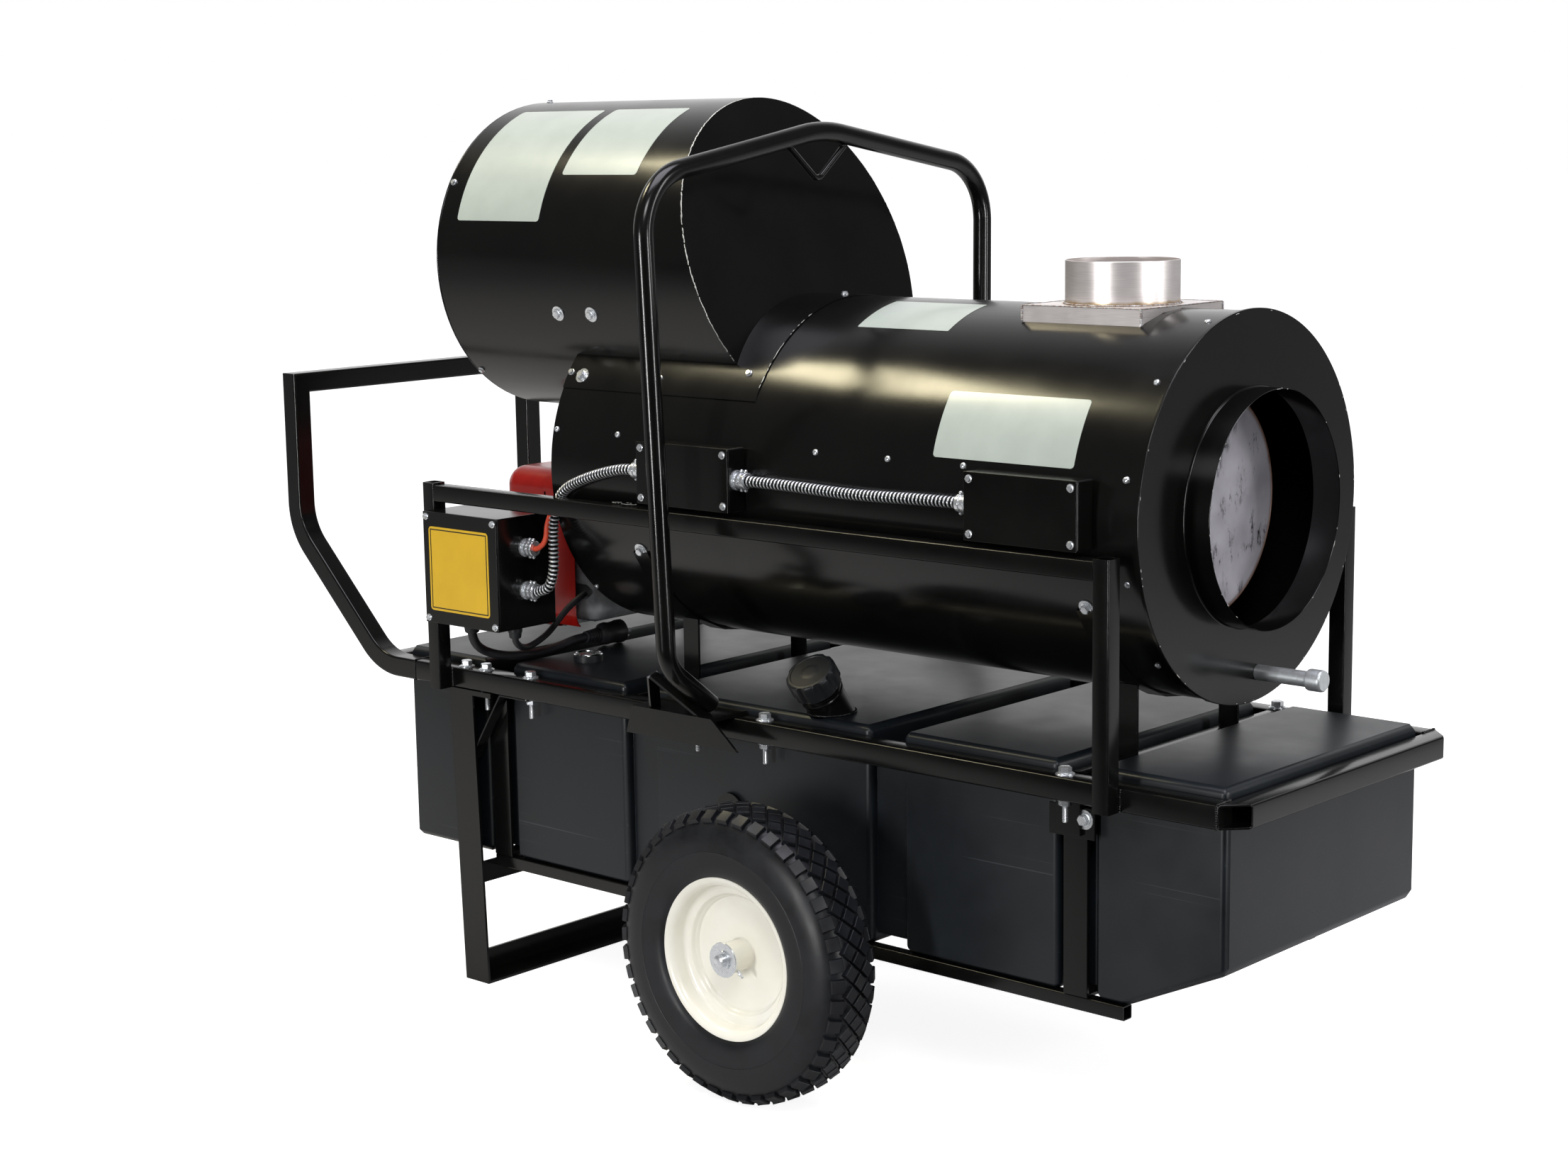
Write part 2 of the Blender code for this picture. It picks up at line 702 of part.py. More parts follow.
def light_frame():
    """Each side's two uprights and upper rail, welded, with vent holes where the rail meets them."""
    section = square_section(LIGHT_TUBE, LIGHT_ROUND)
    for side, sign in SIDES.items():
        y = sign * LIGHT_Y
        frame = None
        for end, x in (("rear", REAR_UPRIGHT_X), ("front", FRONT_UPRIGHT_X)):
            upright = swept(f"side_frame_{side}" if frame is None else f"upright_{end}_{side}",
                            [(x, y, RAIL_LOW_Z), (x, y, UPRIGHT_TOP_Z)], section, BLACK, up=(1, 0, 0),
                            hollow=LIGHT_WALL)
            frame = frame or upright
            if frame is not upright:
                join(frame, upright)
        inset = (LIGHT_TUBE - LIGHT_WALL) / 2
        ends = [(REAR_UPRIGHT_X + inset, y, UPPER_RAIL_Z), (FRONT_UPRIGHT_X - inset, y, UPPER_RAIL_Z)]
        join(frame, swept(f"upper_rail_{side}", ends, section, BLACK))
        bore = square_section(LIGHT_TUBE - 2 * LIGHT_WALL, LIGHT_ROUND / 2)
        cut(frame, swept(f"rail_bore_{side}", [(REAR_UPRIGHT_X, y, UPPER_RAIL_Z),
                                               (FRONT_UPRIGHT_X, y, UPPER_RAIL_Z)], bore, BLACK))


def rung_x():
    """The rung's front face, on the leaning legs' line."""
    lean = LEG_LEAN * RUNG_TOP_Z / RAIL_LOW_Z
    return STAND_FRONT_X - lean - STAND_SHEET


def lower_rails():
    section = square_section(LOWER_TUBE, LOWER_ROUND)
    for side, sign in SIDES.items():
        y = sign * LOWER_RAIL_Y
        swept(f"lower_rail_{side}", [(rung_x() + GAP, y, LOWER_RAIL_Z), (LOWER_FRONT_X, y, LOWER_RAIL_Z)],
              section, BLACK, hollow=LOWER_WALL)


def stand():
    """Two leaning legs and their tabs, the foot and the rung, all formed angle, welded."""
    leg_top = RAIL_LOW_Z - STAND_SHEET
    back = STAND_FRONT_X - LEG_WIDTH
    foot_section = [(-u, v) for u, v in angle_section(LEG_WIDTH, FOOT_HEIGHT, STAND_SHEET)]
    frame = swept("stand_frame", [(back, HALF_WIDTH, 0), (back, -HALF_WIDTH, 0)], foot_section, BLACK)
    for side, sign in SIDES.items():
        y = sign * HALF_WIDTH
        low = STAND_SHEET / 2
        lean = LEG_LEAN / RAIL_LOW_Z
        path = [(back - lean * low, y, low), (back - lean * leg_top, y, leg_top)]
        section = [(-sign * u, v) for u, v in angle_section(LEG_RETURN, LEG_WIDTH, STAND_SHEET)]
        leg = swept(f"stand_leg_{side}", path, section, BLACK, up=(1, 0, 0), start_cut=UP, end_cut=UP)
        tab_back = back - LEG_LEAN
        ys = sorted((sign * (HALF_WIDTH - MAIN_TUBE), y))
        tab = box(f"leg_tab_{side}", (tab_back, ys[0], leg_top - STAND_SHEET),
                  (tab_back + LEG_TAB_LENGTH, ys[1], RAIL_LOW_Z - GAP), BLACK)
        join(frame, leg, tab)
    reach = HALF_WIDTH - STAND_SHEET / 2
    low = RUNG_TOP_Z - RUNG_HEIGHT
    rung = [(u, v) for u, v in angle_section(RUNG_DEPTH, RUNG_HEIGHT, STAND_SHEET)]
    join(frame, swept("stand_rung", [(rung_x(), reach, low), (rung_x(), -reach, low)], rung, BLACK))


def stand_braces():
    for side, sign in SIDES.items():
        y = sign * (HALF_WIDTH - STAND_SHEET - GAP - BRACE_WIDTH / 2)
        top = RAIL_LOW_Z - GAP - BRACE_SHEET / 2
        lean = LEG_LEAN * BRACE_LOW_Z / RAIL_LOW_Z
        low_x = STAND_FRONT_X - lean - LEG_WIDTH / 2
        path = [(low_x, y, BRACE_LOW_Z), (low_x + BRACE_RUN, y, top), (low_x + BRACE_RUN + BRACE_TAB, y, top)]
        swept(f"stand_brace_{side}", path, flat_section(BRACE_WIDTH, BRACE_SHEET), BLACK)


def tank_block(name, x0, x1, inset_side, inset_top, rounded=True):
    """A block of the tank between two grooves, or its core, set in from the tank's outside."""
    low = LOWER_TOP_Z + GAP
    floor = low + inset_side
    size = (x1 - x0, 2 * (TANK_HALF_WIDTH - inset_side), TANK_TOP_Z - inset_top - floor)
    bm = bmesh.new()
    bmesh.ops.create_cube(bm, size=1)
    bmesh.ops.scale(bm, vec=size, verts=bm.verts)
    bmesh.ops.translate(bm, vec=((x0 + x1) / 2, 0, floor + size[2] / 2), verts=bm.verts)
    if x1 > TANK_SLOPE_X:
        normal = Vector((TANK_SLOPE_Z - low, 0, TANK_SLOPE_X - TANK_FRONT_X)).normalized()
        everything = bm.verts[:] + bm.edges[:] + bm.faces[:]
        bmesh.ops.bisect_plane(bm, geom=everything, plane_co=Vector((TANK_SLOPE_X, 0, low)) - normal * inset_side,
                               plane_no=normal, clear_outer=True, dist=WELD_REACH)
        bmesh.ops.holes_fill(bm, edges=[e for e in bm.edges if e.is_boundary], sides=0)
    if rounded:
        bmesh.ops.bevel(bm, geom=bm.edges[:], offset=TANK_ROUND, segments=1, affect="EDGES", profile=0.5)
    return put(name, mesh_from(name, bm, smooth=True), TANK_PAINT)


def tank_form(name, inset=0):
    """The tank's five blocks on the core that joins them through the grooves."""
    core_ends = TANK_BACK_X + TANK_ROUND * 2, TANK_SLOPE_X - TANK_ROUND
    form = tank_block(name, *core_ends, GROOVE_DEPTH + inset, GROOVE_DEPTH_TOP + inset, rounded=False)
    half = GROOVE_WIDTH / 2
    starts = [TANK_BACK_X] + [x + half for x in GROOVES]
    ends = [x - half for x in GROOVES] + [TANK_FRONT_X]
    for i, (x0, x1) in enumerate(zip(starts, ends)):
        join(form, tank_block(f"{name}_block_{i + 1}", x0 + inset, x1 - inset, inset, inset))
    return form


def fuel_tank():
    tank = tank_form("fuel_tank")
    start, along = filler_axis()
    reach = along * (FILLER_R + OVERRUN)
    cut(tank, tank_form("tank_inside", TANK_WALL),
        rod("filler_hole", start + reach, start - reach, FILLER_R - FILLER_WALL, BLACK))


def filler_axis():
    start = Vector((FILLER_X, FILLER_Y, TANK_TOP_Z))
    return start, Vector((0, -math.sin(FILLER_TILT), math.cos(FILLER_TILT)))


def filler():
    start, along = filler_axis()
    outer, inner = FILLER_R, FILLER_R - FILLER_WALL
    low, high = -FILLER_R * math.tan(FILLER_TILT) - OVERRUN, FILLER_LENGTH
    seat = high - CAP_SKIRT - GAP
    step = seat - FILLER_COLLAR_HEIGHT
    neck = turned("filler_neck", [(inner, low), (outer, low), (outer, step), (outer + FILLER_COLLAR, step),
                                  (outer + FILLER_COLLAR, seat), (outer, seat), (outer, high), (inner, high)],
                  BLACK, start, along)
    wide = OVERRUN * 5
    cut(neck, box("tank_top_plane", (FILLER_X - wide, FILLER_Y - wide, TANK_TOP_Z - wide),
                  (FILLER_X + wide, FILLER_Y + wide, TANK_TOP_Z + GAP), BLACK))
    filler_cap(start, along)


def filler_cap(start, along):
    """A fluted screw cap whose skirt goes over the neck down to its collar."""
    skirt_in = FILLER_R + GAP
    low, high = FILLER_LENGTH - CAP_SKIRT, FILLER_LENGTH - CAP_SKIRT + CAP_HEIGHT
    bm = bmesh.new()
    flute = []
    for i in range(CAP_FLUTES * 4):
        radius = CAP_R if i % 4 < 2 else CAP_R - CAP_FLUTE
        angle = math.tau * i / (CAP_FLUTES * 4)
        flute.append(bm.verts.new((radius * math.cos(angle), radius * math.sin(angle), low)))
    face = bm.faces.new(flute)
    grown = bmesh.ops.extrude_face_region(bm, geom=[face])["geom"]
    lifted = [g for g in grown if isinstance(g, bmesh.types.BMVert)]
    bmesh.ops.translate(bm, vec=(0, 0, high - low), verts=lifted)
    turn = along.to_track_quat("Z", "Y").to_euler()
    cap = put("filler_cap", mesh_from("filler_cap", bm), CAP_PLASTIC, at=start, turn=turn)
    inside = rod("cap_inside", start + along * (low - OVERRUN), start + along * (FILLER_LENGTH + GAP),
                 skirt_in, BLACK, sides=PIPE_SIDES)
    cut(cap, inside)


def fuel_gauge():
    at = Vector((GAUGE_X, GAUGE_Y, TANK_TOP_Z + GAP))
    inner = GAUGE_R - GAUGE_RIM
    floor = GAUGE_HEIGHT - DIAL_DEPTH
    pin = GAUGE_HEIGHT - LENS_SHEET - GAP * 2
    profile = [(0, pin), (PIVOT_R, pin), (PIVOT_R, floor), (inner, floor),
               (inner, GAUGE_HEIGHT), (GAUGE_R, GAUGE_HEIGHT), (GAUGE_R, 0), (0, 0)]
    turned("gauge_body", profile, ZINC, at, UP, sides=16, closed=False)
    lens = [(0, GAUGE_HEIGHT), (inner - GAP, GAUGE_HEIGHT), (inner - GAP, GAUGE_HEIGHT - LENS_SHEET),
            (0, GAUGE_HEIGHT - LENS_SHEET)]
    turned("gauge_lens", lens, GLASS, at, UP, sides=16, closed=False)
    z = at.z + floor + (DIAL_DEPTH - LENS_SHEET) / 2
    reach = inner - GAUGE_RIM
    needle = box("gauge_needle", (GAUGE_X - reach, GAUGE_Y - NEEDLE_WIDTH / 2, z - NEEDLE_SHEET / 2),
                 (GAUGE_X + PIVOT_R, GAUGE_Y + NEEDLE_WIDTH / 2, z + NEEDLE_SHEET / 2), NEEDLE_RED)
    eye = rod("needle_eye", (GAUGE_X, GAUGE_Y, z - NEEDLE_SHEET / 2), (GAUGE_X, GAUGE_Y, z + NEEDLE_SHEET / 2),
              PIVOT_R * 2, NEEDLE_RED, sides=SMALL_SIDES)
    join(needle, eye)
    cut(needle, rod("needle_bore", (GAUGE_X, GAUGE_Y, z - OVERRUN), (GAUGE_X, GAUGE_Y, z + OVERRUN),
                    PIVOT_R + GAP, BLACK, sides=16))


def tank_straps():
    """Slings from the base rails, down the grooves and under the tank, the front one with lugs."""
    section = flat_section(STRAP_WIDTH, STRAP_SHEET)
    y = HALF_WIDTH - MAIN_TUBE - GAP - STRAP_SHEET / 2
    low = LOWER_TOP_Z + GAP + STRAP_SHEET / 2
    for name, x, lugs in (("rear", GROOVE_1_X, {}), ("front", GROOVE_4_X, SIDES)):
        path = [(x, -y, RAIL_Z), (x, -y, low), (x, y, low), (x, y, RAIL_Z)]
        strap = swept(f"tank_strap_{name}", path, section, BLACK, up=(0, 1, 0))
        for side, sign in lugs.items():
            ys = sorted((sign * (y + STRAP_SHEET / 2), sign * RAIL_Y))
            lug = box(f"strap_lug_{name}_{side}", (x - STRAP_WIDTH / 2, ys[0] - GAP, RAIL_LOW_Z - LUG_LENGTH),
                      (x + STRAP_WIDTH / 2, ys[1] + GAP, RAIL_LOW_Z - GAP), BLACK)
            join(strap, lug)


def shell_cradles():
    """Saddle straps bolted round the shell's underside, each on two legs from a bar in a groove."""
    radius = SHELL_R + GAP + CRADLE_SHEET / 2
    section = square_section(CROSS_BAR, LOWER_ROUND)
    bar_z = RAIL_TOP_Z - CROSS_BAR / 2
    for name, x, bar_x in (("rear", SADDLE_1_X, GROOVE_2_X), ("front", SADDLE_2_X, GROOVE_4_X)):
        reach = HALF_WIDTH - MAIN_TUBE - GAP
        if bar_x == GROOVE_4_X:
            reach -= STRAP_SHEET + GAP
        cradle = swept(f"shell_cradle_{name}", [(bar_x, -reach, bar_z), (bar_x, reach, bar_z)], section, BLACK,
                       hollow=LOWER_WALL)
        span = [CRADLE_ANGLE * (2 * i / CRADLE_STEPS - 1) for i in range(CRADLE_STEPS + 1)]
        path = [(x, radius * math.sin(a), SHELL_Z - radius * math.cos(a)) for a in span]
        saddle = swept(f"saddle_{name}", path, flat_section(CRADLE_WIDTH, CRADLE_SHEET), BLACK)
        legs = []
        for side, sign in SIDES.items():
            y = sign * CRADLE_LEG_Y
            top = SHELL_Z - math.sqrt(radius ** 2 - CRADLE_LEG_Y ** 2)
            legs.append(swept(f"cradle_leg_{name}_{side}",
                              [(bar_x, y, RAIL_TOP_Z - LOWER_WALL / 2), (bar_x, y, top)],
                              flat_section(CRADLE_WIDTH, CRADLE_SHEET), BLACK, up=(0, 1, 0)))
        join(cradle, *legs, saddle)
        cut(cradle, round_solid(f"cradle_seat_{name}", x - CRADLE_WIDTH - OVERRUN, x + CRADLE_WIDTH + OVERRUN,
                                SHELL_R + GAP, SHELL_Z))


def drum_form(radius, beyond=0):
    """The blower drum's outside: a cylinder along X cut off by the slanted plane."""
    front = DRUM_FRONT_X + math.tan(DRUM_SLANT) * 2 * DRUM_R + OVERRUN
    bm = bmesh.new()
    bmesh.ops.create_cone(bm, cap_ends=True, segments=DRUM_SIDES, radius1=radius, radius2=radius,
                          depth=front - DRUM_BACK_X)
    bmesh.ops.rotate(bm, matrix=Matrix.Rotation(math.pi / 2, 3, "Y"), verts=bm.verts)
    bmesh.ops.translate(bm, vec=((front + DRUM_BACK_X) / 2, 0, DRUM_Z), verts=bm.verts)
    normal = Vector((math.cos(DRUM_SLANT), 0, math.sin(DRUM_SLANT)))
    point = Vector((DRUM_FRONT_X, 0, DRUM_Z + DRUM_R)) + normal * beyond
    everything = bm.verts[:] + bm.edges[:] + bm.faces[:]
    bmesh.ops.bisect_plane(bm, geom=everything, plane_co=point, plane_no=normal, clear_outer=True,
                           dist=WELD_REACH)
    bmesh.ops.holes_fill(bm, edges=[e for e in bm.edges if e.is_boundary], sides=0)
    return bm


def blower_drum():
    """A drum open at its inlet, closed by the slanted plate and cut to stand on the shell."""
    bm = drum_form(DRUM_R)
    inlet = [f for f in bm.faces if f.normal.x < -0.99]
    bmesh.ops.delete(bm, geom=inlet, context="FACES")
    drum = wall(put("blower_drum", mesh_from("blower_drum", bm, smooth=True), BLACK), SHEET)
    seat = round_solid("drum_seat", SHELL_BACK_X - GAP, HOOD_FRONT_X + SHELL_R, SHELL_R + GAP, SHELL_Z)
    return cut(drum, seat)


def duct_hood():
    """The skirt of sheet that seals the drum to the shell."""
    bm = bmesh.new()
    length = HOOD_FRONT_X - SHELL_BACK_X
    bmesh.ops.create_cone(bm, cap_ends=False, segments=DRUM_SIDES, radius1=SHELL_R + GAP,
                          radius2=SHELL_R + GAP, depth=length)
    bmesh.ops.rotate(bm, matrix=Matrix.Rotation(math.pi / 2, 3, "Y"), verts=bm.verts)
    bmesh.ops.translate(bm, vec=(SHELL_BACK_X + length / 2, 0, SHELL_Z), verts=bm.verts)
    everything = bm.verts[:] + bm.edges[:] + bm.faces[:]
    bmesh.ops.bisect_plane(bm, geom=everything, plane_co=(0, 0, HOOD_LOW_Z), plane_no=(0, 0, -1),
                           clear_outer=True, dist=WELD_REACH)
    hood = wall(put("duct_hood", mesh_from("duct_hood", bm, smooth=True), BLACK), -SHEET)
    opening = put("hood_opening", mesh_from("hood_opening", drum_form(DRUM_R + GAP, GAP)), BLACK)
    return cut(hood, opening)


def heater_shell():
    shell = open_tube("heater_shell", SHELL_BACK_X, SHELL_FRONT_X, SHELL_R, SHELL_Z, BLACK)
    wall(shell, SHEET)
    mouth = round_solid("shell_mouth", SHELL_BACK_X + SKIRT + DRUM_MOUTH_MARGIN,
                        DRUM_FRONT_X + DRUM_MOUTH_MARGIN, DRUM_R - DRUM_MOUTH_MARGIN, DRUM_Z)
    crown = SHELL_Z + SHELL_R
    flue = rod("shell_flue_hole", (FLUE_X, 0, SHELL_Z + EXCHANGER_R), (FLUE_X, 0, crown + OVERRUN),
               FLUE_R + FLUE_CLEARANCE, BLACK, sides=PIPE_SIDES)
    return cut(shell, mouth, flue)


def rear_plate():
    """A dished plate: a skirt inside the shell and a face with the burner's hole."""
    outer = SHELL_R - SHEET - GAP
    profile = [(0, 0), (outer, 0), (outer, SKIRT), (outer - SHEET, SKIRT), (outer - SHEET, SHEET), (0, SHEET)]
    plate = turned("rear_plate", profile, BLACK, (SHELL_BACK_X, 0, SHELL_Z), (1, 0, 0), DRUM_SIDES, closed=False)
    hole = rod("burner_hole", (SHELL_BACK_X - OVERRUN, 0, BURNER_AXIS_Z),
               (SHELL_BACK_X + OVERRUN, 0, BURNER_AXIS_Z), BLAST_R + GAP, BLACK)
    return cut(plate, hole)


def outlet_end():
    """The outlet plate, spun in one: rolled rim, skirt inside the shell and duct collar."""
    outer = SHELL_R - SHEET - GAP
    rim = SHELL_R + RIM_ROLL
    face = SHEET + RIM_ROLL
    profile = [(outer, -SKIRT), (outer, GAP), (SHELL_R, GAP), (rim, face / 2), (SHELL_R - RIM_ROLL, face),
               (COLLAR_R, face), (COLLAR_R, COLLAR_LENGTH), (COLLAR_R - SHEET, COLLAR_LENGTH),
               (COLLAR_R - SHEET, face - SHEET), (outer - SHEET, face - SHEET), (outer - SHEET, -SKIRT)]
    turned("outlet_plate", profile, BLACK, (SHELL_FRONT_X, 0, SHELL_Z), (1, 0, 0), DRUM_SIDES)


def heat_exchanger():
    back = SHELL_BACK_X + SHEET + GAP
    bm = bmesh.new()
    depth = EXCHANGER_FRONT_X - back
    bmesh.ops.create_cone(bm, cap_ends=True, segments=DRUM_SIDES, radius1=EXCHANGER_R,
                          radius2=EXCHANGER_R, depth=depth)
    bmesh.ops.rotate(bm, matrix=Matrix.Rotation(math.pi / 2, 3, "Y"), verts=bm.verts)
    bmesh.ops.delete(bm, geom=[f for f in bm.faces if f.normal.x < -0.99], context="FACES")
    drum = put("heat_exchanger", mesh_from("heat_exchanger", bm, smooth=True), SCALED_STEEL,
               at=(back + depth / 2, 0, SHELL_Z))
    wall(drum, SHEET)
    port = rod("exchanger_port", (FLUE_X, 0, SHELL_Z), (FLUE_X, 0, SHELL_Z + EXCHANGER_R + OVERRUN),
               FLUE_R - FLUE_WALL, BLACK)
    return cut(drum, port)


def flue():
    crown = SHELL_Z + SHELL_R
    top = crown + FLUE_BOX_RISE
    half = FLUE_BOX / 2
    cover = box("flue_box", (FLUE_X - half, -half, SHELL_Z + SHELL_R / 2), (FLUE_X + half, half, top),
                STAINLESS, round_by=BOX_ROUND, along=2, open_side=(2, -1))
    wall(cover, FLUE_WALL)
    hole = rod("flue_box_hole", (FLUE_X, 0, crown - OVERRUN), (FLUE_X, 0, top + OVERRUN), FLUE_R + GAP, BLACK)
    seat = round_solid("flue_box_seat", FLUE_X - FLUE_BOX, FLUE_X + FLUE_BOX, SHELL_R + GAP, SHELL_Z)
    cut(cover, hole, seat)
    inner = FLUE_R - FLUE_WALL
    stub_top = top + FLUE_HEIGHT
    profile = [(inner, 0), (FLUE_R, 0), (FLUE_R, stub_top - SHELL_Z), (inner, stub_top - SHELL_Z)]
    stub = turned("flue_stub", profile, STAINLESS, (FLUE_X, 0, SHELL_Z), UP)
    seat = round_solid("flue_stub_seat", FLUE_X - FLUE_BOX, FLUE_X + FLUE_BOX, EXCHANGER_R + GAP, SHELL_Z,
                       sides=DRUM_SIDES)
    cut(stub, seat)


def clean_out():
    """A pipe with its screwed cap, turned in one."""
    at = (SHELL_FRONT_X + SHEET + RIM_ROLL + GAP, PIPE_Y, PIPE_Z)
    chamfer = PIPE_WALL / 2
    low, high = PIPE_LENGTH - PIPE_CAP_LENGTH, PIPE_LENGTH
    inner = PIPE_R - PIPE_WALL
    profile = [(0, high), (PIPE_CAP_R - chamfer, high), (PIPE_CAP_R, high - chamfer), (PIPE_CAP_R, low),
               (PIPE_R, low), (PIPE_R, 0), (inner, 0), (inner, high - PIPE_WALL), (0, high - PIPE_WALL)]
    turned("clean_out_pipe", profile, ZINC, at, (1, 0, 0), sides=12, closed=False)


def fan_blade(name, index):
    """One cambered, twisted blade as a skin that widens towards its tip."""
    stations, chords = 4, 3
    bm = bmesh.new()
    bmesh.ops.create_grid(bm, x_segments=chords, y_segments=stations, size=0.5)
    root = FAN_HUB_R * 0.8
    for vert in bm.verts:
        along, across = vert.co.y + 0.5, vert.co.x
        radius = root + (FAN_R - root) * along
        chord = BLADE_ROOT_CHORD + (BLADE_TIP_CHORD - BLADE_ROOT_CHORD) * along
        pitch = BLADE_PITCH_ROOT + (BLADE_PITCH_TIP - BLADE_PITCH_ROOT) * along
        camber = BLADE_CAMBER * (1 - (2 * across) ** 2) * along
        offset = across * chord
        angle = (offset * math.cos(pitch)) / radius
        x = offset * math.sin(pitch) + camber
        vert.co = (x, radius * math.sin(angle), radius * math.cos(angle))
    turn = Matrix.Rotation(math.tau * index / FAN_BLADES, 3, "X")
    bmesh.ops.rotate(bm, matrix=turn, verts=bm.verts)
    blade = put(name, mesh_from(name, bm, smooth=True), CAST_ALUMINIUM, at=(FAN_X, 0, DRUM_Z))
    sheet = blade.modifiers.new("sheet", "SOLIDIFY")
    sheet.thickness = BLADE_SHEET
    sheet.offset = 0
    return blade


def fan():
    """Hub, shaft and blades turn as one, on the motor's axis."""
    half = FAN_HUB_LENGTH / 2
    end = MOTOR_BACK_X + FAN_SHAFT_LENGTH / 2
    profile = [(0, -half), (FAN_HUB_R, -half), (FAN_HUB_R, half), (FAN_SHAFT_R, half),
               (FAN_SHAFT_R, end - FAN_X), (0, end - FAN_X)]
    hub = turned("fan", profile, CAST_ALUMINIUM, (FAN_X, 0, DRUM_Z), (1, 0, 0), sides=AXLE_SIDES, closed=False)
    for i in range(FAN_BLADES):
        join(hub, fan_blade(f"fan_blade_{i + 1}", i))


def fan_motor():
    bore = FAN_SHAFT_R + GAP
    depth = FAN_SHAFT_LENGTH / 2 + GAP * 2
    c = MOTOR_CHAMFER
    profile = [(0, MOTOR_LENGTH), (MOTOR_R - c, MOTOR_LENGTH), (MOTOR_R, MOTOR_LENGTH - c), (MOTOR_R, c),
               (MOTOR_R - c, 0), (bore, 0), (bore, depth), (0, depth)]
    turned("fan_motor", profile, BLACK, (MOTOR_BACK_X, 0, DRUM_Z), (1, 0, 0), closed=False)
    motor_mount()


def motor_mount():
    """A shelf across the drum with flanges turned down on its walls, and a seat for the motor."""
    top = DRUM_Z - MOTOR_R
    mount = box("motor_mount", (MOUNT_BACK_X, -DRUM_R, top - MOUNT_SHEET), (MOUNT_SHELF_X, DRUM_R, top), BLACK)
    wall_y = math.sqrt(DRUM_R ** 2 - MOTOR_R ** 2)
    for side, sign in SIDES.items():
        ys = sorted((sign * (wall_y - MOUNT_SHEET * 2), sign * DRUM_R))
        join(mount, box(f"mount_flange_{side}", (MOUNT_BACK_X, ys[0], top - MOUNT_FLANGE),
                        (MOUNT_FRONT_X, ys[1], top - GAP), BLACK))
    keep_inside(mount, round_solid("drum_inside", MOUNT_BACK_X - OVERRUN, MOUNT_FRONT_X + OVERRUN,
                                   DRUM_R - SHEET - GAP, DRUM_Z))
    seat = rod("motor_seat", (MOUNT_BACK_X - OVERRUN, 0, DRUM_Z), (MOUNT_FRONT_X + OVERRUN, 0, DRUM_Z),
               MOTOR_R + GAP, BLACK)
    cut(mount, seat)


def fan_guard():
    """Wire rings over the inlet on spokes, welded where they cross."""
    x = DRUM_BACK_X - GUARD_STANDOFF
    last = DRUM_R - GUARD_WIRE - GAP
    radii = [GUARD_FIRST_R + (last - GUARD_FIRST_R) * i / (GUARD_RINGS - 1) for i in range(GUARD_RINGS)]
    bm = bmesh.new()
    for radius in radii:
        steps = [math.tau * i / WIRE_SIDES for i in range(WIRE_SIDES)]
        ring = [bm.verts.new((GUARD_WIRE * math.sin(a), 0, radius + GUARD_WIRE * math.cos(a))) for a in steps]
        loop = [bm.edges.new(pair) for pair in zip(ring, ring[1:] + ring[:1])]
        bmesh.ops.spin(bm, geom=ring + loop, axis=(1, 0, 0), cent=(0, 0, 0), angle=math.tau, steps=WIRE_STEPS,
                       use_merge=True)
    bmesh.ops.remove_doubles(bm, verts=bm.verts, dist=WELD_REACH)
    guard = put("fan_guard", mesh_from("fan_guard", bm, smooth=True), BLACK, at=(x, 0, DRUM_Z))
    for i in range(GUARD_SPOKES):
        angle = math.tau * (i / GUARD_SPOKES + 1 / (2 * WIRE_STEPS))
        out = Vector((0, math.sin(angle), math.cos(angle)))
        middle = Vector((x, 0, DRUM_Z))
        join(guard, rod(f"guard_spoke_{i + 1}", middle + out * (GUARD_FIRST_R - GUARD_WIRE), middle + out * last,
                        GUARD_SPOKE_R, BLACK, sides=GUARD_SPOKE_SIDES))


def burner():
    cover_low = (BURNER_BACK_X, -BURNER_HALF_WIDTH, BURNER_LOW_Z)
    cover_high = (BURNER_FRONT_X - GAP, BURNER_HALF_WIDTH, BURNER_TOP_Z)
    size = Vector(cover_high) - Vector(cover_low)
    bm = bmesh.new()
    bmesh.ops.create_cube(bm, size=1)
    bmesh.ops.scale(bm, vec=size, verts=bm.verts)
    back = [e for e in bm.edges if all(v.co.x < 0 for v in e.verts)]
    long = [e for e in bm.edges if abs(e.verts[0].co.x - e.verts[1].co.x) > size.x / 2]
    bmesh.ops.bevel(bm, geom=back + long, offset=BURNER_ROUND, segments=3, affect="EDGES", profile=0.5)
    bmesh.ops.delete(bm, geom=[f for f in bm.faces if f.normal.x > 0.99], context="FACES")
    cover = put("burner_cover", mesh_from("burner_cover", bm, smooth=True), BURNER_RED,
                at=(Vector(cover_low) + Vector(cover_high)) / 2)
    wall(cover, SHEET)
    burner_casting()
    blast_tube()


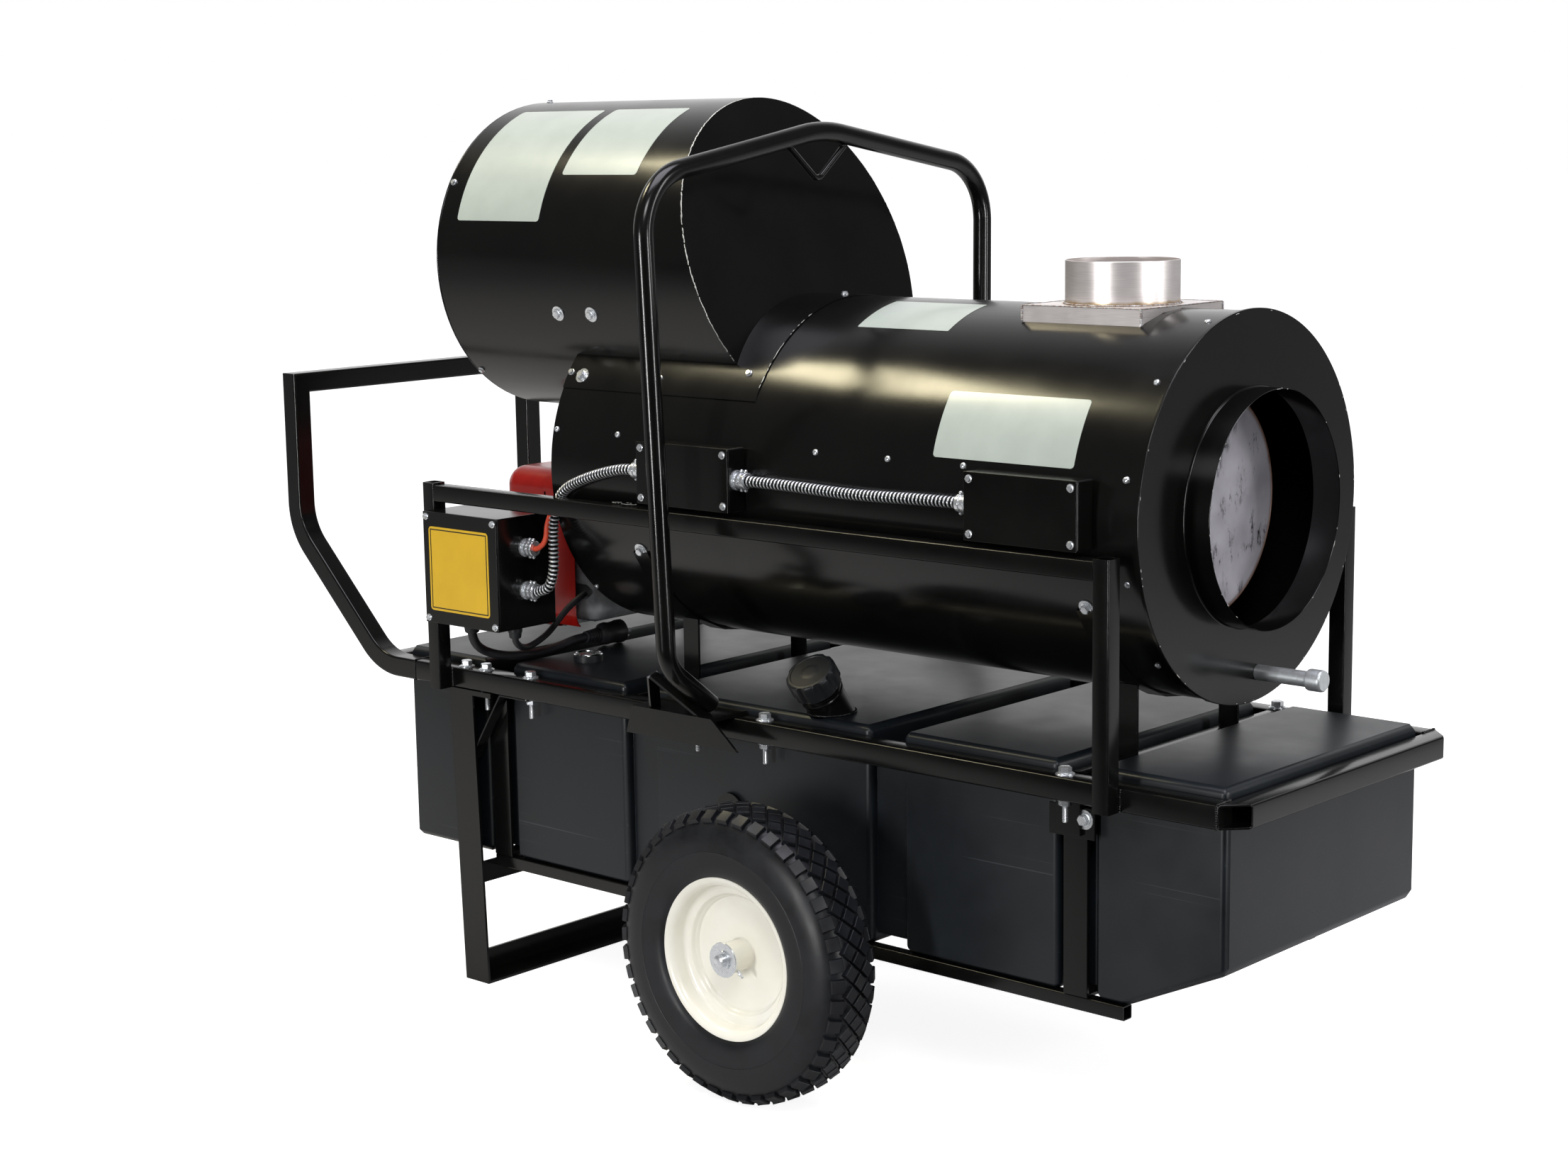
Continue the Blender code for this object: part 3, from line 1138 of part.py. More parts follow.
def burner_casting():
    """A cast fan housing with the cover's rim, which narrows to the burner's flange."""
    plate_x = SHELL_BACK_X - GAP
    flange_x = plate_x - BURNER_FLANGE_SHEET
    body = box("burner_casting", (BURNER_FRONT_X, -CASTING_HALF_WIDTH, CASTING_LOW_Z),
               (BURNER_FRONT_X + (flange_x - BURNER_FRONT_X) * CASTING_REACH_SHARE, CASTING_HALF_WIDTH,
                CASTING_TOP_Z), CAST_ALUMINIUM)
    round_corners = body.modifiers.new("cast_corners", "BEVEL")
    round_corners.width = CASTING_ROUND
    round_corners.segments = 2
    lip = box("casting_rim", (BURNER_FRONT_X, -BURNER_HALF_WIDTH, BURNER_LOW_Z),
              (BURNER_FRONT_X + CASTING_RIM, BURNER_HALF_WIDTH, BURNER_TOP_Z), CAST_ALUMINIUM,
              round_by=BURNER_ROUND, along=0)
    neck = rod("casting_neck", (BURNER_FRONT_X + CASTING_ROUND, 0, BURNER_AXIS_Z), (plate_x, 0, BURNER_AXIS_Z),
               CASTING_NECK_R, CAST_ALUMINIUM)
    half = BURNER_FLANGE / 2
    flange = box("casting_flange", (flange_x, -half, BURNER_AXIS_Z - half), (plate_x, half, BURNER_AXIS_Z + half),
                 CAST_ALUMINIUM, round_by=CASTING_ROUND, along=0)
    join(body, lip, neck, flange)
    slot_z = BURNER_AXIS_Z - SLOT_DROP
    x0 = BURNER_FRONT_X + CASTING_ROUND + CASTING_RIM
    for side, sign in SIDES.items():
        ys = sorted((sign * (CASTING_HALF_WIDTH - SLOT_DEPTH), sign * (CASTING_HALF_WIDTH + OVERRUN)))
        cut(body, box(f"casting_slot_{side}", (x0, ys[0], slot_z - SLOT_HEIGHT / 2),
                      (x0 + SLOT_LENGTH, ys[1], slot_z + SLOT_HEIGHT / 2), BLACK, round_by=SLOT_ROUND, along=1))


def blast_tube():
    inner = BLAST_R - BLAST_WALL
    turned("blast_tube", [(inner, 0), (BLAST_R, 0), (BLAST_R, BLAST_LENGTH), (inner, BLAST_LENGTH)],
           STAINLESS, (SHELL_BACK_X, 0, BURNER_AXIS_Z), (1, 0, 0))


CONTROL_X0 = REAR_UPRIGHT_X + LIGHT_TUBE / 2 + GAP
CONTROL_X1 = CONTROL_X0 + CONTROL_LENGTH


def housing(name, low, high, cover_sheet, corner):
    """A folded box open to -Y with its flat cover."""
    case_low = Vector((low[0], low[1] + cover_sheet + GAP, low[2]))
    case = box(name, case_low, high, BLACK, round_by=corner, along=1, open_side=(1, -1))
    wall(case, BOX_SHEET)
    box(f"{name}_cover", low, (high[0], low[1] + cover_sheet, high[2]), BLACK, round_by=corner, along=1)
    return case


def port(name):
    """Where a fitting stands on its box, and which way it points."""
    left, right = (-1, 0, 0), (1, 0, 0)
    side_y = (JUNCTION_FRONT_Y - SHELL_R) / 2
    half = JUNCTION_LENGTH / 2
    return {
        "control_high": (Vector((CONTROL_X1, CONTROL_PORT_1_Y, CONTROL_PORT_1_Z)), Vector(right)),
        "control_low": (Vector((CONTROL_X1, CONTROL_PORT_1_Y, CONTROL_PORT_2_Z)), Vector(right)),
        "box_1_back": (Vector((JUNCTION_1_X - half, side_y, CONDUIT_Z)), Vector(left)),
        "box_1_front": (Vector((JUNCTION_1_X + half, side_y, CONDUIT_Z)), Vector(right)),
        "box_2_back": (Vector((JUNCTION_2_X - half, side_y, CONDUIT_Z)), Vector(left)),
        "lead": (Vector((LEAD_X, LEAD_Y, CONTROL_LOW_Z)), -UP),
        "cord": (Vector((CORD_X, CORD_Y, CONTROL_LOW_Z)), -UP),
    }[name]


def fitting(name, at, along, cable_r, length=FITTING_LENGTH, mat=ZINC, start=-BOX_SHEET / 2):
    """A clamp fitting: a flange on the box and a sleeve whose flats clear the cable."""
    bore = (cable_r + GAP) / math.cos(math.pi / SMALL_SIDES)
    profile = [(bore, start), (FITTING_FLANGE_R, start), (FITTING_FLANGE_R, FITTING_FLANGE),
               (FITTING_R, FITTING_FLANGE), (FITTING_R, length), (bore, length)]
    return turned(name, profile, mat, at, along, sides=SMALL_SIDES)


def boxes():
    """The control box beside the upright and the two junction boxes on the shell."""
    control = housing("control_box", (CONTROL_X0, CONTROL_FRONT_Y, CONTROL_LOW_Z),
                      (CONTROL_X1, CONTROL_BACK_Y, CONTROL_TOP_Z), BOX_SHEET, BOX_ROUND)
    join(control, fitting("fitting_control_low", *port("control_low"), CONDUIT_R),
         fitting("fitting_control_high", *port("control_high"), ORANGE_R),
         fitting("fitting_lead", *port("lead"), LEAD_R, GLAND_LENGTH))
    fitting("cord_gland", *port("cord"), CORD_R, GLAND_LENGTH, CAP_PLASTIC, start=GAP)
    half = JUNCTION_LENGTH / 2
    for number, x, ports in ((1, JUNCTION_1_X, ("box_1_back", "box_1_front")), (2, JUNCTION_2_X, ("box_2_back",))):
        case = housing(f"junction_box_{number}", (x - half, JUNCTION_FRONT_Y, JUNCTION_LOW_Z),
                       (x + half, -SHELL_R - GAP, JUNCTION_TOP_Z), COVER_LIP, JUNCTION_ROUND)
        for name in ports:
            join(case, fitting(f"fitting_{name}", *port(name), CONDUIT_R))


# Routes of the cables between their fittings, each a smooth curve through its points
CONDUIT_1_ROUTE = [(-0.3218, -0.2590, 0.6385), (-0.3010, -0.2595, 0.6480), (-0.2898, -0.2600, 0.6760),
                   (-0.2880, -0.2602, 0.7209), (-0.2852, -0.2602, 0.7498), (-0.2745, -0.2602, 0.7803),
                   (-0.2530, -0.2635, 0.7990), (-0.2190, -0.2670, 0.8135), (-0.1720, -0.2705, 0.8278),
                   (-0.1300, -0.2718, 0.8368)]
CONDUIT_2_ROUTE = [(0.2000, -0.2722, 0.8378), (0.3100, -0.2730, 0.8355), (0.4200, -0.2722, 0.8378)]
ORANGE_ROUTE = [(-0.3235, -0.2586, 0.7030), (-0.3120, -0.2584, 0.7110), (-0.3060, -0.2580, 0.7230),
                (-0.3030, -0.2560, 0.7450), (-0.3020, -0.2300, 0.7900), (-0.3060, -0.1950, 0.8350),
                (-0.3120, -0.1600, 0.8700)]
CORD_ROUTE = [(-0.4550, -0.2785, 0.5560), (-0.4575, -0.2670, 0.5400), (-0.4570, -0.2470, 0.5275),
              (-0.4420, -0.2280, 0.5212), (-0.4250, -0.2050, 0.5200), (-0.4190, -0.1700, 0.5200),
              (-0.4165, -0.1350, 0.5240), (-0.4125, -0.1050, 0.5303)]
LEAD_ROUTE = [(-0.3664, -0.2705, 0.5570), (-0.3710, -0.2550, 0.5465), (-0.3780, -0.2300, 0.5440),
              (-0.3812, -0.1900, 0.5580), (-0.3828, -0.1480, 0.5880)]
PLUG_START = (-0.4115, -0.0850, 0.5312)
PLUG_ALONG = (0.05, 1.0, 0.0)


def threaded(name, length=FITTING_LENGTH):
    """The straight run from just outside a box through its fitting."""
    at, along = port(name)
    return [at + along * CABLE_INSET, at + along * length / 2, at + along * length]


def ribbed(name, route):
    """A metal hose: a ring at each rib and one between, round a plain bore."""
    spine = smooth_path(route, CONDUIT_PITCH / 2)
    body_r = CONDUIT_R - CONDUIT_RIB
    radii = [CONDUIT_R / body_r if i % 2 else 1 for i in range(len(spine))]
    radii[0] = radii[-1] = 1
    solid = as_mesh(wire(name, spine, body_r, ZINC, radii=radii))
    inner = smooth_path(route, CONDUIT_PITCH)
    first = (inner[0] - inner[1]).normalized() * CABLE_INSET
    last = (inner[-1] - inner[-2]).normalized() * CABLE_INSET
    bore = wire(f"{name}_bore", [inner[0] + first, *inner, inner[-1] + last], CONDUIT_BORE_R, BLACK,
                resolution=1)
    cut(solid, as_mesh(bore))
    print(f"{name}: {path_length(spine):.3f} m, {len(spine) // 2} ribs")


def conduits():
    ribbed("conduit_1", threaded("control_low") + CONDUIT_1_ROUTE + threaded("box_1_back")[::-1])
    ribbed("conduit_2", threaded("box_1_front") + CONDUIT_2_ROUTE + threaded("box_2_back")[::-1])


def cable(name, start, route, radius, mat):
    """A round cable, straight through its fitting and smooth from there on."""
    spine = start[:1] + smooth_path(start[-1:] + route, CABLE_STEP)
    wire(name, spine, radius, mat)
    print(f"{name}: {path_length(spine):.3f} m")


def cables():
    cable("fan_cable", threaded("control_high"), ORANGE_ROUTE, ORANGE_R, CABLE_ORANGE)
    cord_end = Vector(PLUG_START) - Vector(PLUG_ALONG).normalized() * GAP * 2
    cable("power_cord", threaded("cord", GLAND_LENGTH), CORD_ROUTE + [cord_end], CORD_R, CABLE_RUBBER)
    lead_end = (LEAD_ROUTE[-1][0], -CASTING_HALF_WIDTH - GAP * 2, LEAD_END_Z)
    cable("burner_lead", threaded("lead", GLAND_LENGTH), LEAD_ROUTE + [lead_end], LEAD_R, CABLE_RUBBER)


def plug():
    """A moulded plug with its tapered relief and three blades."""
    start, along = Vector(PLUG_START), Vector(PLUG_ALONG).normalized()
    total = PLUG_RELIEF + PLUG_LENGTH
    profile = [(0, 0), (RELIEF_R, 0), (RELIEF_END_R, PLUG_RELIEF), (PLUG_SHOULDER_R, PLUG_RELIEF + CORD_R),
               (PLUG_R, PLUG_RELIEF + CORD_R * 2), (PLUG_R, total), (0, total)]
    body = turned("power_plug", profile, CABLE_RUBBER, start, along, sides=16, closed=False)
    side = along.cross(UP).normalized()
    for i, sign in enumerate((-1, 1)):
        middle = start + along * total + side * sign * PLUG_BLADE_SPACING / 2
        blade = swept(f"plug_blade_{i + 1}", [middle - along * PLUG_ROOT, middle + along * BLADE_LENGTH],
                      flat_section(PLUG_BLADE_SHEET, PLUG_BLADE_WIDTH), ZINC)
        join(body, blade)
    low = start + along * total - UP * PLUG_PIN_DROP
    join(body, rod("plug_pin", low - along * PLUG_ROOT, low + along * BLADE_LENGTH, PLUG_PIN_R, ZINC,
                   sides=SMALL_SIDES))


def hoop_points():
    """The hoop's centre line from the near foot over the top to the far foot."""
    lean = (HOOP_FOOT_X - HOOP_APEX_X) / (HOOP_APEX_Z - RAIL_TOP_Z)

    def at(y, z):
        return Vector((HOOP_FOOT_X - lean * (z - RAIL_TOP_Z), y, z))

    foot_z = RAIL_TOP_Z + FOOT_PLATE_SHEET + HOOP_R * 0.75

    def half(sign):
        foot, knee = at(sign * HOOP_FOOT_Y, foot_z), at(sign * HOOP_KNEE_Y, HOOP_KNEE_Z)
        shoulder, apex = at(sign * HOOP_SHOULDER_Y, HOOP_SHOULDER_Z + HOOP_R), at(0, HOOP_APEX_Z)
        return [foot, *bend(foot, knee, shoulder, HOOP_KNEE_R), *bend(knee, shoulder, apex, HOOP_BEND_R, 5)]

    near, far = half(NEAR), half(FAR)
    crown = bend(near[-1], at(0, HOOP_APEX_Z), far[-1], HOOP_APEX_R, 2)
    return near + crown + far[::-1]


def hoop():
    points = hoop_points()
    tube = put("lifting_hoop", line_curve("lifting_hoop", points, HOOP_R, capped=False), BLACK)
    tube = as_mesh(tube)
    wall(tube, HOOP_WALL)
    plane = RAIL_TOP_Z + FOOT_PLATE_SHEET + GAP * 2
    reach = HALF_WIDTH * 2
    cut(tube, box("hoop_foot_plane", (-reach, -reach, plane - reach), (reach, reach, plane), BLACK))
    join(tube, lifting_eye())
    for side, sign in SIDES.items():
        hoop_foot(side, sign, points)


def hoop_tool(name, points, extra=GAP):
    return as_mesh(put(name, line_curve(name, points, HOOP_R + extra), BLACK))


def lifting_eye():
    """A rod bent to a V and welded under the hoop's top."""
    slope = (HOOP_APEX_Z - HOOP_SHOULDER_Z) / HOOP_SHOULDER_Y
    top = HOOP_APEX_Z - HOOP_R - EYE_HALF_SPAN * slope + HOOP_WALL / 2
    ends = [Vector((HOOP_APEX_X, EYE_OFFSET_Y - EYE_HALF_SPAN, top)),
            Vector((HOOP_APEX_X, EYE_OFFSET_Y, top - EYE_DROP)),
            Vector((HOOP_APEX_X, EYE_OFFSET_Y + EYE_HALF_SPAN, top))]
    path = [ends[0], *bend(*ends, EYE_R * 3), ends[2]]
    return as_mesh(wire("lifting_eye", path, EYE_R, BLACK))


def hoop_foot(side, sign, points):
    """A plate over the rail with a flange turned down outside it, and the folded gusset."""
    z = RAIL_TOP_Z + GAP
    drop = z + FOOT_PLATE_SHEET - FOOT_FLANGE_LOW_Z
    inner = HALF_WIDTH - MAIN_TUBE
    wide = FOOT_PLATE_Y - inner
    corner = sign * FOOT_PLATE_Y
    top = z + FOOT_PLATE_SHEET
    section = [(sign * u, -v) for u, v in angle_section(wide, drop, FOOT_PLATE_SHEET)]
    path = [(FOOT_TOP_BACK_X, corner, top), (FOOT_TOP_FRONT_X, corner, top)]
    foot = swept(f"hoop_foot_{side}", path, section, BLACK, start_cut=(drop, 0, -(FOOT_TOP_BACK_X - FOOT_BACK_X)),
                 end_cut=(drop, 0, FOOT_FRONT_X - FOOT_TOP_FRONT_X))
    for i, x in enumerate((GUSSET_BACK_X, GUSSET_FRONT_X)):
        low = Vector((x, sign * GUSSET_LOW_Y, top - GAP))
        high = Vector((GUSSET_TOP_X, sign * GUSSET_TOP_Y, GUSSET_TOP_Z))
        join(foot, swept(f"gusset_{side}_{i + 1}", [low, high], flat_section(FOOT_PLATE_SHEET, GUSSET_WIDTH),
                         BLACK, up=(0, 1, 0), start_cut=UP))
    cut(foot, hoop_tool(f"foot_seat_{side}", points))


def tyre(side, sign):
    """The carcass as a turned profile, with staggered lugs round the tread."""
    half, rim_half = TYRE_WIDTH / 2, RIM_WIDTH / 2
    base = TYRE_R - LUG_HEIGHT
    side_wall = [(TYRE_BEAD_R + GAP, rim_half - 2 * (RIM_SHEET + GAP)), (RIM_R + GAP, rim_half - 2 * GAP),
                 (RIM_R + SIDE_FLARE, half),
                 (base - SHOULDER_ROUND, half - SIDE_DRAFT), (base, half - SHOULDER_ROUND)]
    profile = [(r, -y) for r, y in side_wall] + side_wall[::-1]
    middle = Vector((WHEEL_X, sign * WHEEL_Y, TYRE_R))
    carcass = turned(f"tyre_{side}", profile, RUBBER, middle, (0, 1, 0), sides=LUG_COUNT)
    reach = half - SIDE_DRAFT
    lug = box_mesh(f"tyre_lug_{side}", (LUG_WIDTH, reach, LUG_HEIGHT * 2))
    lug.materials.append(RUBBER)
    bm = bmesh.new()
    for i in range(LUG_COUNT):
        row = 1 if i % 2 else -1
        out = Matrix.Translation((0, row * reach / 2, TYRE_R - LUG_HEIGHT))
        place = Matrix.Rotation(math.tau * i / LUG_COUNT, 4, "Y") @ out
        start = len(bm.verts)
        bm.from_mesh(lug)
        bm.verts.ensure_lookup_table()
        bmesh.ops.transform(bm, matrix=place, verts=bm.verts[start:])
    lugs = put(f"tyre_lugs_{side}", mesh_from(f"tyre_lugs_{side}", bm), RUBBER, at=middle)
    join(carcass, lugs)


def rim(side, sign):
    """A pressed steel rim: well, flanges and a dished disc on a welded hub."""
    t = RIM_SHEET
    half = RIM_WIDTH / 2
    out = sign
    bore = AXLE_R + AXLE_CLEARANCE
    hub_half = HUB_LENGTH / 2
    bead = TYRE_BEAD_R
    disc_in, disc_out = t, 2 * t
    profile = [(bore, -hub_half), (HUB_R, -hub_half), (HUB_R, disc_in), (bead - t, disc_in),
               (bead - t, -half + t), (RIM_R, -half), (bead, -half + 2 * t), (bead, half - 2 * t),
               (RIM_R, half), (bead - t, half - t), (bead - t, disc_out), (HUB_R, disc_out),
               (HUB_R, hub_half), (bore, hub_half)]
    middle = Vector((WHEEL_X, sign * WHEEL_Y, TYRE_R))
    turned(f"wheel_rim_{side}", profile, RIM_ENAMEL, middle, (0, out, 0), sides=LUG_COUNT)


def wheels():
    for side, sign in SIDES.items():
        tyre(side, sign)
        rim(side, sign)
        axle(side, sign)


def axle(side, sign):
    """A hanger bar with round ends, the stub axle welded to it and the washer outside the hub."""
    hub_in = WHEEL_Y - HUB_LENGTH / 2 - GAP
    hub_out = WHEEL_Y + HUB_LENGTH / 2 + GAP
    start = TANK_HALF_WIDTH + GAP
    y = sign * (start + HANGER_SHEET / 2)
    low, high = Vector((WHEEL_X, y, TYRE_R)), Vector((HANGER_TOP_X, y, HANGER_TOP_Z))
    across = Vector((0, 1, 0))
    bar = swept(f"stub_axle_{side}", [low, high], flat_section(HANGER_WIDTH, HANGER_SHEET), BLACK, up=across)
    for i, end in enumerate((low, high)):
        join(bar, rod(f"hanger_end_{side}_{i + 1}", end - across * HANGER_SHEET / 2,
                      end + across * HANGER_SHEET / 2, HANGER_WIDTH / 2, BLACK, sides=AXLE_SIDES))
    profile = [(0, HANGER_SHEET / 2), (SLEEVE_R, HANGER_SHEET / 2), (SLEEVE_R, hub_in - start),
               (AXLE_R, hub_in - start), (AXLE_R, hub_out - start), (WASHER_R, hub_out - start),
               (WASHER_R, hub_out + WASHER_SHEET - start), (AXLE_R, hub_out + WASHER_SHEET - start),
               (AXLE_R, AXLE_END_Y - start), (0, AXLE_END_Y - start)]
    join(bar, turned(f"axle_pin_{side}", profile, ZINC, (WHEEL_X, sign * start, TYRE_R), (0, sign, 0),
                     sides=AXLE_SIDES, closed=False))


def build():
    base_rails()
    bumper()
    push_handle()
    rear_cross_tube()
    light_frame()
    lower_rails()
    stand()
    stand_braces()
    fuel_tank()
    filler()
    fuel_gauge()
    tank_straps()
    shell_cradles()
    heater_shell()
    rear_plate()
    outlet_end()
    heat_exchanger()
    flue()
    clean_out()
    blower_drum()
    duct_hood()
    fan()
    fan_motor()
    fan_guard()
    burner()
    boxes()
    conduits()
    cables()
    plug()
    hoop()
    wheels()


build()
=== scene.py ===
# %% [markdown]
# # An indirect fired heater
# A blower drum pushes air round a burner's heat exchanger and out through the collar on the right.
# All of it stands on a fuel tank in a welded frame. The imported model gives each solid's place.
# This notebook gives each solid the finish, the soft edges and the small parts of the real one.

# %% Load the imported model
import math

import bmesh
import bpy
from mathutils import Matrix, Vector


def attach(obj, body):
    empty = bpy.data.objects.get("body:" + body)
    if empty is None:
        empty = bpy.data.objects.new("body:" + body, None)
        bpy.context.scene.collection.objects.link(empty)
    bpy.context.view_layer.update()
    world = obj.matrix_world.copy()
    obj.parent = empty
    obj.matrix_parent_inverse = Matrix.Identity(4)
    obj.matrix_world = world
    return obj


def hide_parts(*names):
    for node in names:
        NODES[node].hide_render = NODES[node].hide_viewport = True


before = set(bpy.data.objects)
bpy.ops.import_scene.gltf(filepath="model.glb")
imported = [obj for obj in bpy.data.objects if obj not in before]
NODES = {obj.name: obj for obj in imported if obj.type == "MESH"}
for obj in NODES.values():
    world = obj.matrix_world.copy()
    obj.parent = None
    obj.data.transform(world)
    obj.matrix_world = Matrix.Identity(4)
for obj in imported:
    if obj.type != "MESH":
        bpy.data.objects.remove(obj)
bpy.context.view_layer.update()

# %% [markdown]
# ## The frame's own sizes
# Pieces made here sit on the solids, so they start from the same measures, in metres.

# %% Sizes that several pieces share
MM = 0.001
GAP = 0.3 * MM
UP = Vector((0, 0, 1))
SHELL_R, SHELL_Z, SHELL_BACK, SHELL_FRONT = 0.254, 0.823, -0.295, 0.749
DRUM_R, DRUM_Z, DRUM_BACK, DRUM_FRONT, DRUM_SLOPE = 0.2365, 1.125, -0.5525, -0.0992, 0.345
SHEET = 1.5 * MM
HOOD_LOW, HOOD_FRONT = 0.943, 0.091
RAIL_TOP, RAIL_Y, TUBE = 0.500, 0.2527, 31.75 * MM
TANK_TOP = 0.5125
WHEEL_X, WHEEL_Y, TYRE_R = 0.198, 0.380, 0.2077
ROUND_SIDES = 160       # the big drums
TUBE_SIDES = 32

# %% [markdown]
# ## The camera
# The photograph is taken a little above the tank, from the outlet's near corner, with a long lens.

# %% Camera
PHOTO_AZIMUTH = math.radians(42.068)
PHOTO_PITCH = math.radians(9.660)
PHOTO_ROLL = math.radians(-0.879)
PHOTO_SPOT = Vector((2.627, -2.981, 1.3174))


def photo_axes():
    """Right, up and back of the camera in the frame."""
    a, t, roll = PHOTO_AZIMUTH, PHOTO_PITCH, PHOTO_ROLL
    right = Vector((math.cos(a), math.sin(a), 0))
    ahead = Vector((-math.sin(a) * math.cos(t), math.cos(a) * math.cos(t), -math.sin(t)))
    above = right.cross(ahead)
    return (right * math.cos(roll) + above * math.sin(roll),
            above * math.cos(roll) - right * math.sin(roll), -ahead)


lens = bpy.data.cameras.new("photo_camera")
lens.lens = 62.11
lens.sensor_width = 36.0
lens.clip_end = 200.0
camera = bpy.data.objects.new("photo_camera", lens)
camera.matrix_world = Matrix.Translation(PHOTO_SPOT) @ Matrix(photo_axes()).transposed().to_4x4()
bpy.context.scene.collection.objects.link(camera)
bpy.context.scene.camera = camera
bpy.context.scene.view_settings.view_transform = "Standard"
print(f"camera at {tuple(PHOTO_SPOT)}, {lens.lens} mm lens")

# %% [markdown]
# ## Colours and nodes
# Paint charts give colours as sRGB hex values, and the shaders want them linear.
# One function adds a node to a material or to a geometry tree, sets it and wires it.

# %% Colour and node helpers
def linear(hex_colour):
    """An sRGB hex colour as the linear values that a shader takes."""
    parts = [int(hex_colour[i:i + 2], 16) / 255 for i in (1, 3, 5)]
    return (*[c / 12.92 if c <= 0.04045 else ((c + 0.055) / 1.055) ** 2.4 for c in parts], 1.0)


def add(tree, kind, inputs=(), **settings):
    """Adds a node. A value that is a socket is linked, and any other is set."""
    node = tree.nodes.new(kind)
    for key, value in settings.items():
        setattr(node, key, value)
    for key, value in dict(inputs).items():
        if isinstance(value, bpy.types.NodeSocket):
            tree.links.new(value, node.inputs[key])
        else:
            node.inputs[key].default_value = value
    return node


def finish(name, slot, hex_colour, roughness, metallic=0.0, **sockets):
    """A material on one Principled shader. Its `slot` argument is not used."""
    mat = bpy.data.materials.new(name)
    mat.use_nodes = True
    shader = mat.node_tree.nodes["Principled BSDF"]
    shader.inputs["Base Color"].default_value = linear(hex_colour)
    shader.inputs["Roughness"].default_value = roughness
    shader.inputs["Metallic"].default_value = metallic
    for key, value in sockets.items():
        shader.inputs[key.replace("_", " ")].default_value = value
    mat.diffuse_color = linear(hex_colour)
    return mat, mat.node_tree, shader


def place(tree, stretch=(1, 1, 1), centre=(0, 0, 0), turn=(0, 0, 0)):
    """Object coordinates, centred, turned and stretched as a pattern needs."""
    where = add(tree, "ShaderNodeTexCoord").outputs["Object"]
    centred = add(tree, "ShaderNodeMapping", {"Vector": where, "Location": [-c for c in centre]})
    return add(tree, "ShaderNodeMapping", {"Vector": centred.outputs[0], "Rotation": turn,
                                           "Scale": stretch}).outputs[0]


def noise(tree, where, size, detail=2.0, rough=0.5):
    """Noise whose grains are about `size` metres across."""
    return add(tree, "ShaderNodeTexNoise", {"Vector": where, "Scale": 1 / size, "Detail": detail,
                                            "Roughness": rough}).outputs["Fac"]


def between(tree, value, low=0.0, high=1.0, start=0.3, end=0.7):
    """Maps a pattern's middle range on to a range of its own."""
    return add(tree, "ShaderNodeMapRange", {"Value": value, "From Min": start, "From Max": end,
                                            "To Min": low, "To Max": high}).outputs["Result"]


def tint(tree, amount, first, second):
    """Blends from one colour or socket to another."""
    first, second = (linear(c) if isinstance(c, str) else c for c in (first, second))
    return add(tree, "ShaderNodeMix", {0: amount, 6: first, 7: second}, data_type="RGBA").outputs[2]


def maths(tree, kind, *values):
    """One sum on numbers or sockets."""
    return add(tree, "ShaderNodeMath", dict(enumerate(values)), operation=kind).outputs[0]


def reach(tree, vector):
    """How long a vector is."""
    return add(tree, "ShaderNodeVectorMath", {0: vector}, operation="LENGTH").outputs["Value"]


def relief(tree, shader, height, depth):
    """Presses a pattern into the surface, `depth` metres deep."""
    bump = add(tree, "ShaderNodeBump", {"Height": height, "Distance": depth, "Strength": 1.0})
    tree.links.new(bump.outputs["Normal"], shader.inputs["Normal"])


def link(tree, socket, shader, name):
    tree.links.new(socket, shader.inputs[name])


def mottled(tree, shader, pattern, first, second):
    """Varies a body's colour from one to the other by a pattern."""
    link(tree, tint(tree, between(tree, pattern), first, second), shader, "Base Color")


def worn_gloss(tree, shader, pattern, low, high):
    """Varies a body's roughness by a pattern."""
    link(tree, between(tree, pattern, low, high), shader, "Roughness")


# %% [markdown]
# ## Black powder coat
# Polyester powder is sprayed dry and melts to a semi-gloss film with a fine orange peel.
# Its peel is about 1.5 mm across and a few hundredths of a millimetre deep.
# Large soft differences in gloss come from handling.

# %% Powder coat and tank paint
PEEL_GRAIN, PEEL_DEPTH = 1.6 * MM, 0.02 * MM
HANDLING = 0.16


def powder_coat():
    mat, tree, shader = finish("semi_gloss_powder_coat", "black_powder_coat", "#0a0a0a", 0.2,
                               Specular_IOR_Level=0.42)
    where = place(tree)
    worn = noise(tree, where, HANDLING, 4.0, 0.6)
    worn_gloss(tree, shader, worn, 0.15, 0.22)
    mottled(tree, shader, worn, "#0a0a0a", "#0e0e0d")
    relief(tree, shader, noise(tree, where, PEEL_GRAIN), PEEL_DEPTH)
    return mat


# The tank has a textured satin enamel: a dry-looking skin with grains of about a millimetre.
TEXTURE_GRAIN, TEXTURE_DEPTH = 1.1 * MM, 0.05 * MM
SCRATCH_LENGTH, SCRATCH_WIDTH = 0.11, 0.9 * MM


def tank_enamel():
    mat, tree, shader = finish("textured_satin_enamel", "tank_enamel", "#12161b", 0.38,
                               Specular_IOR_Level=0.5)
    where = place(tree)
    dusty = noise(tree, where, HANDLING, 5.0, 0.65)
    body = tint(tree, between(tree, dusty), "#0d1115", "#141a20")
    along = place(tree, (SCRATCH_WIDTH / SCRATCH_LENGTH, 1, 1), turn=(0, 0, 0.5))
    fine = between(tree, noise(tree, along, SCRATCH_WIDTH * 4, 1.0), 0.0, 0.35, 0.73, 0.76)
    link(tree, tint(tree, fine, body, "#4a4c50"), shader, "Base Color")
    worn_gloss(tree, shader, dusty, 0.34, 0.44)
    relief(tree, shader, noise(tree, where, TEXTURE_GRAIN, 3.0), TEXTURE_DEPTH)
    return mat


COAT = powder_coat()
TANK = tank_enamel()

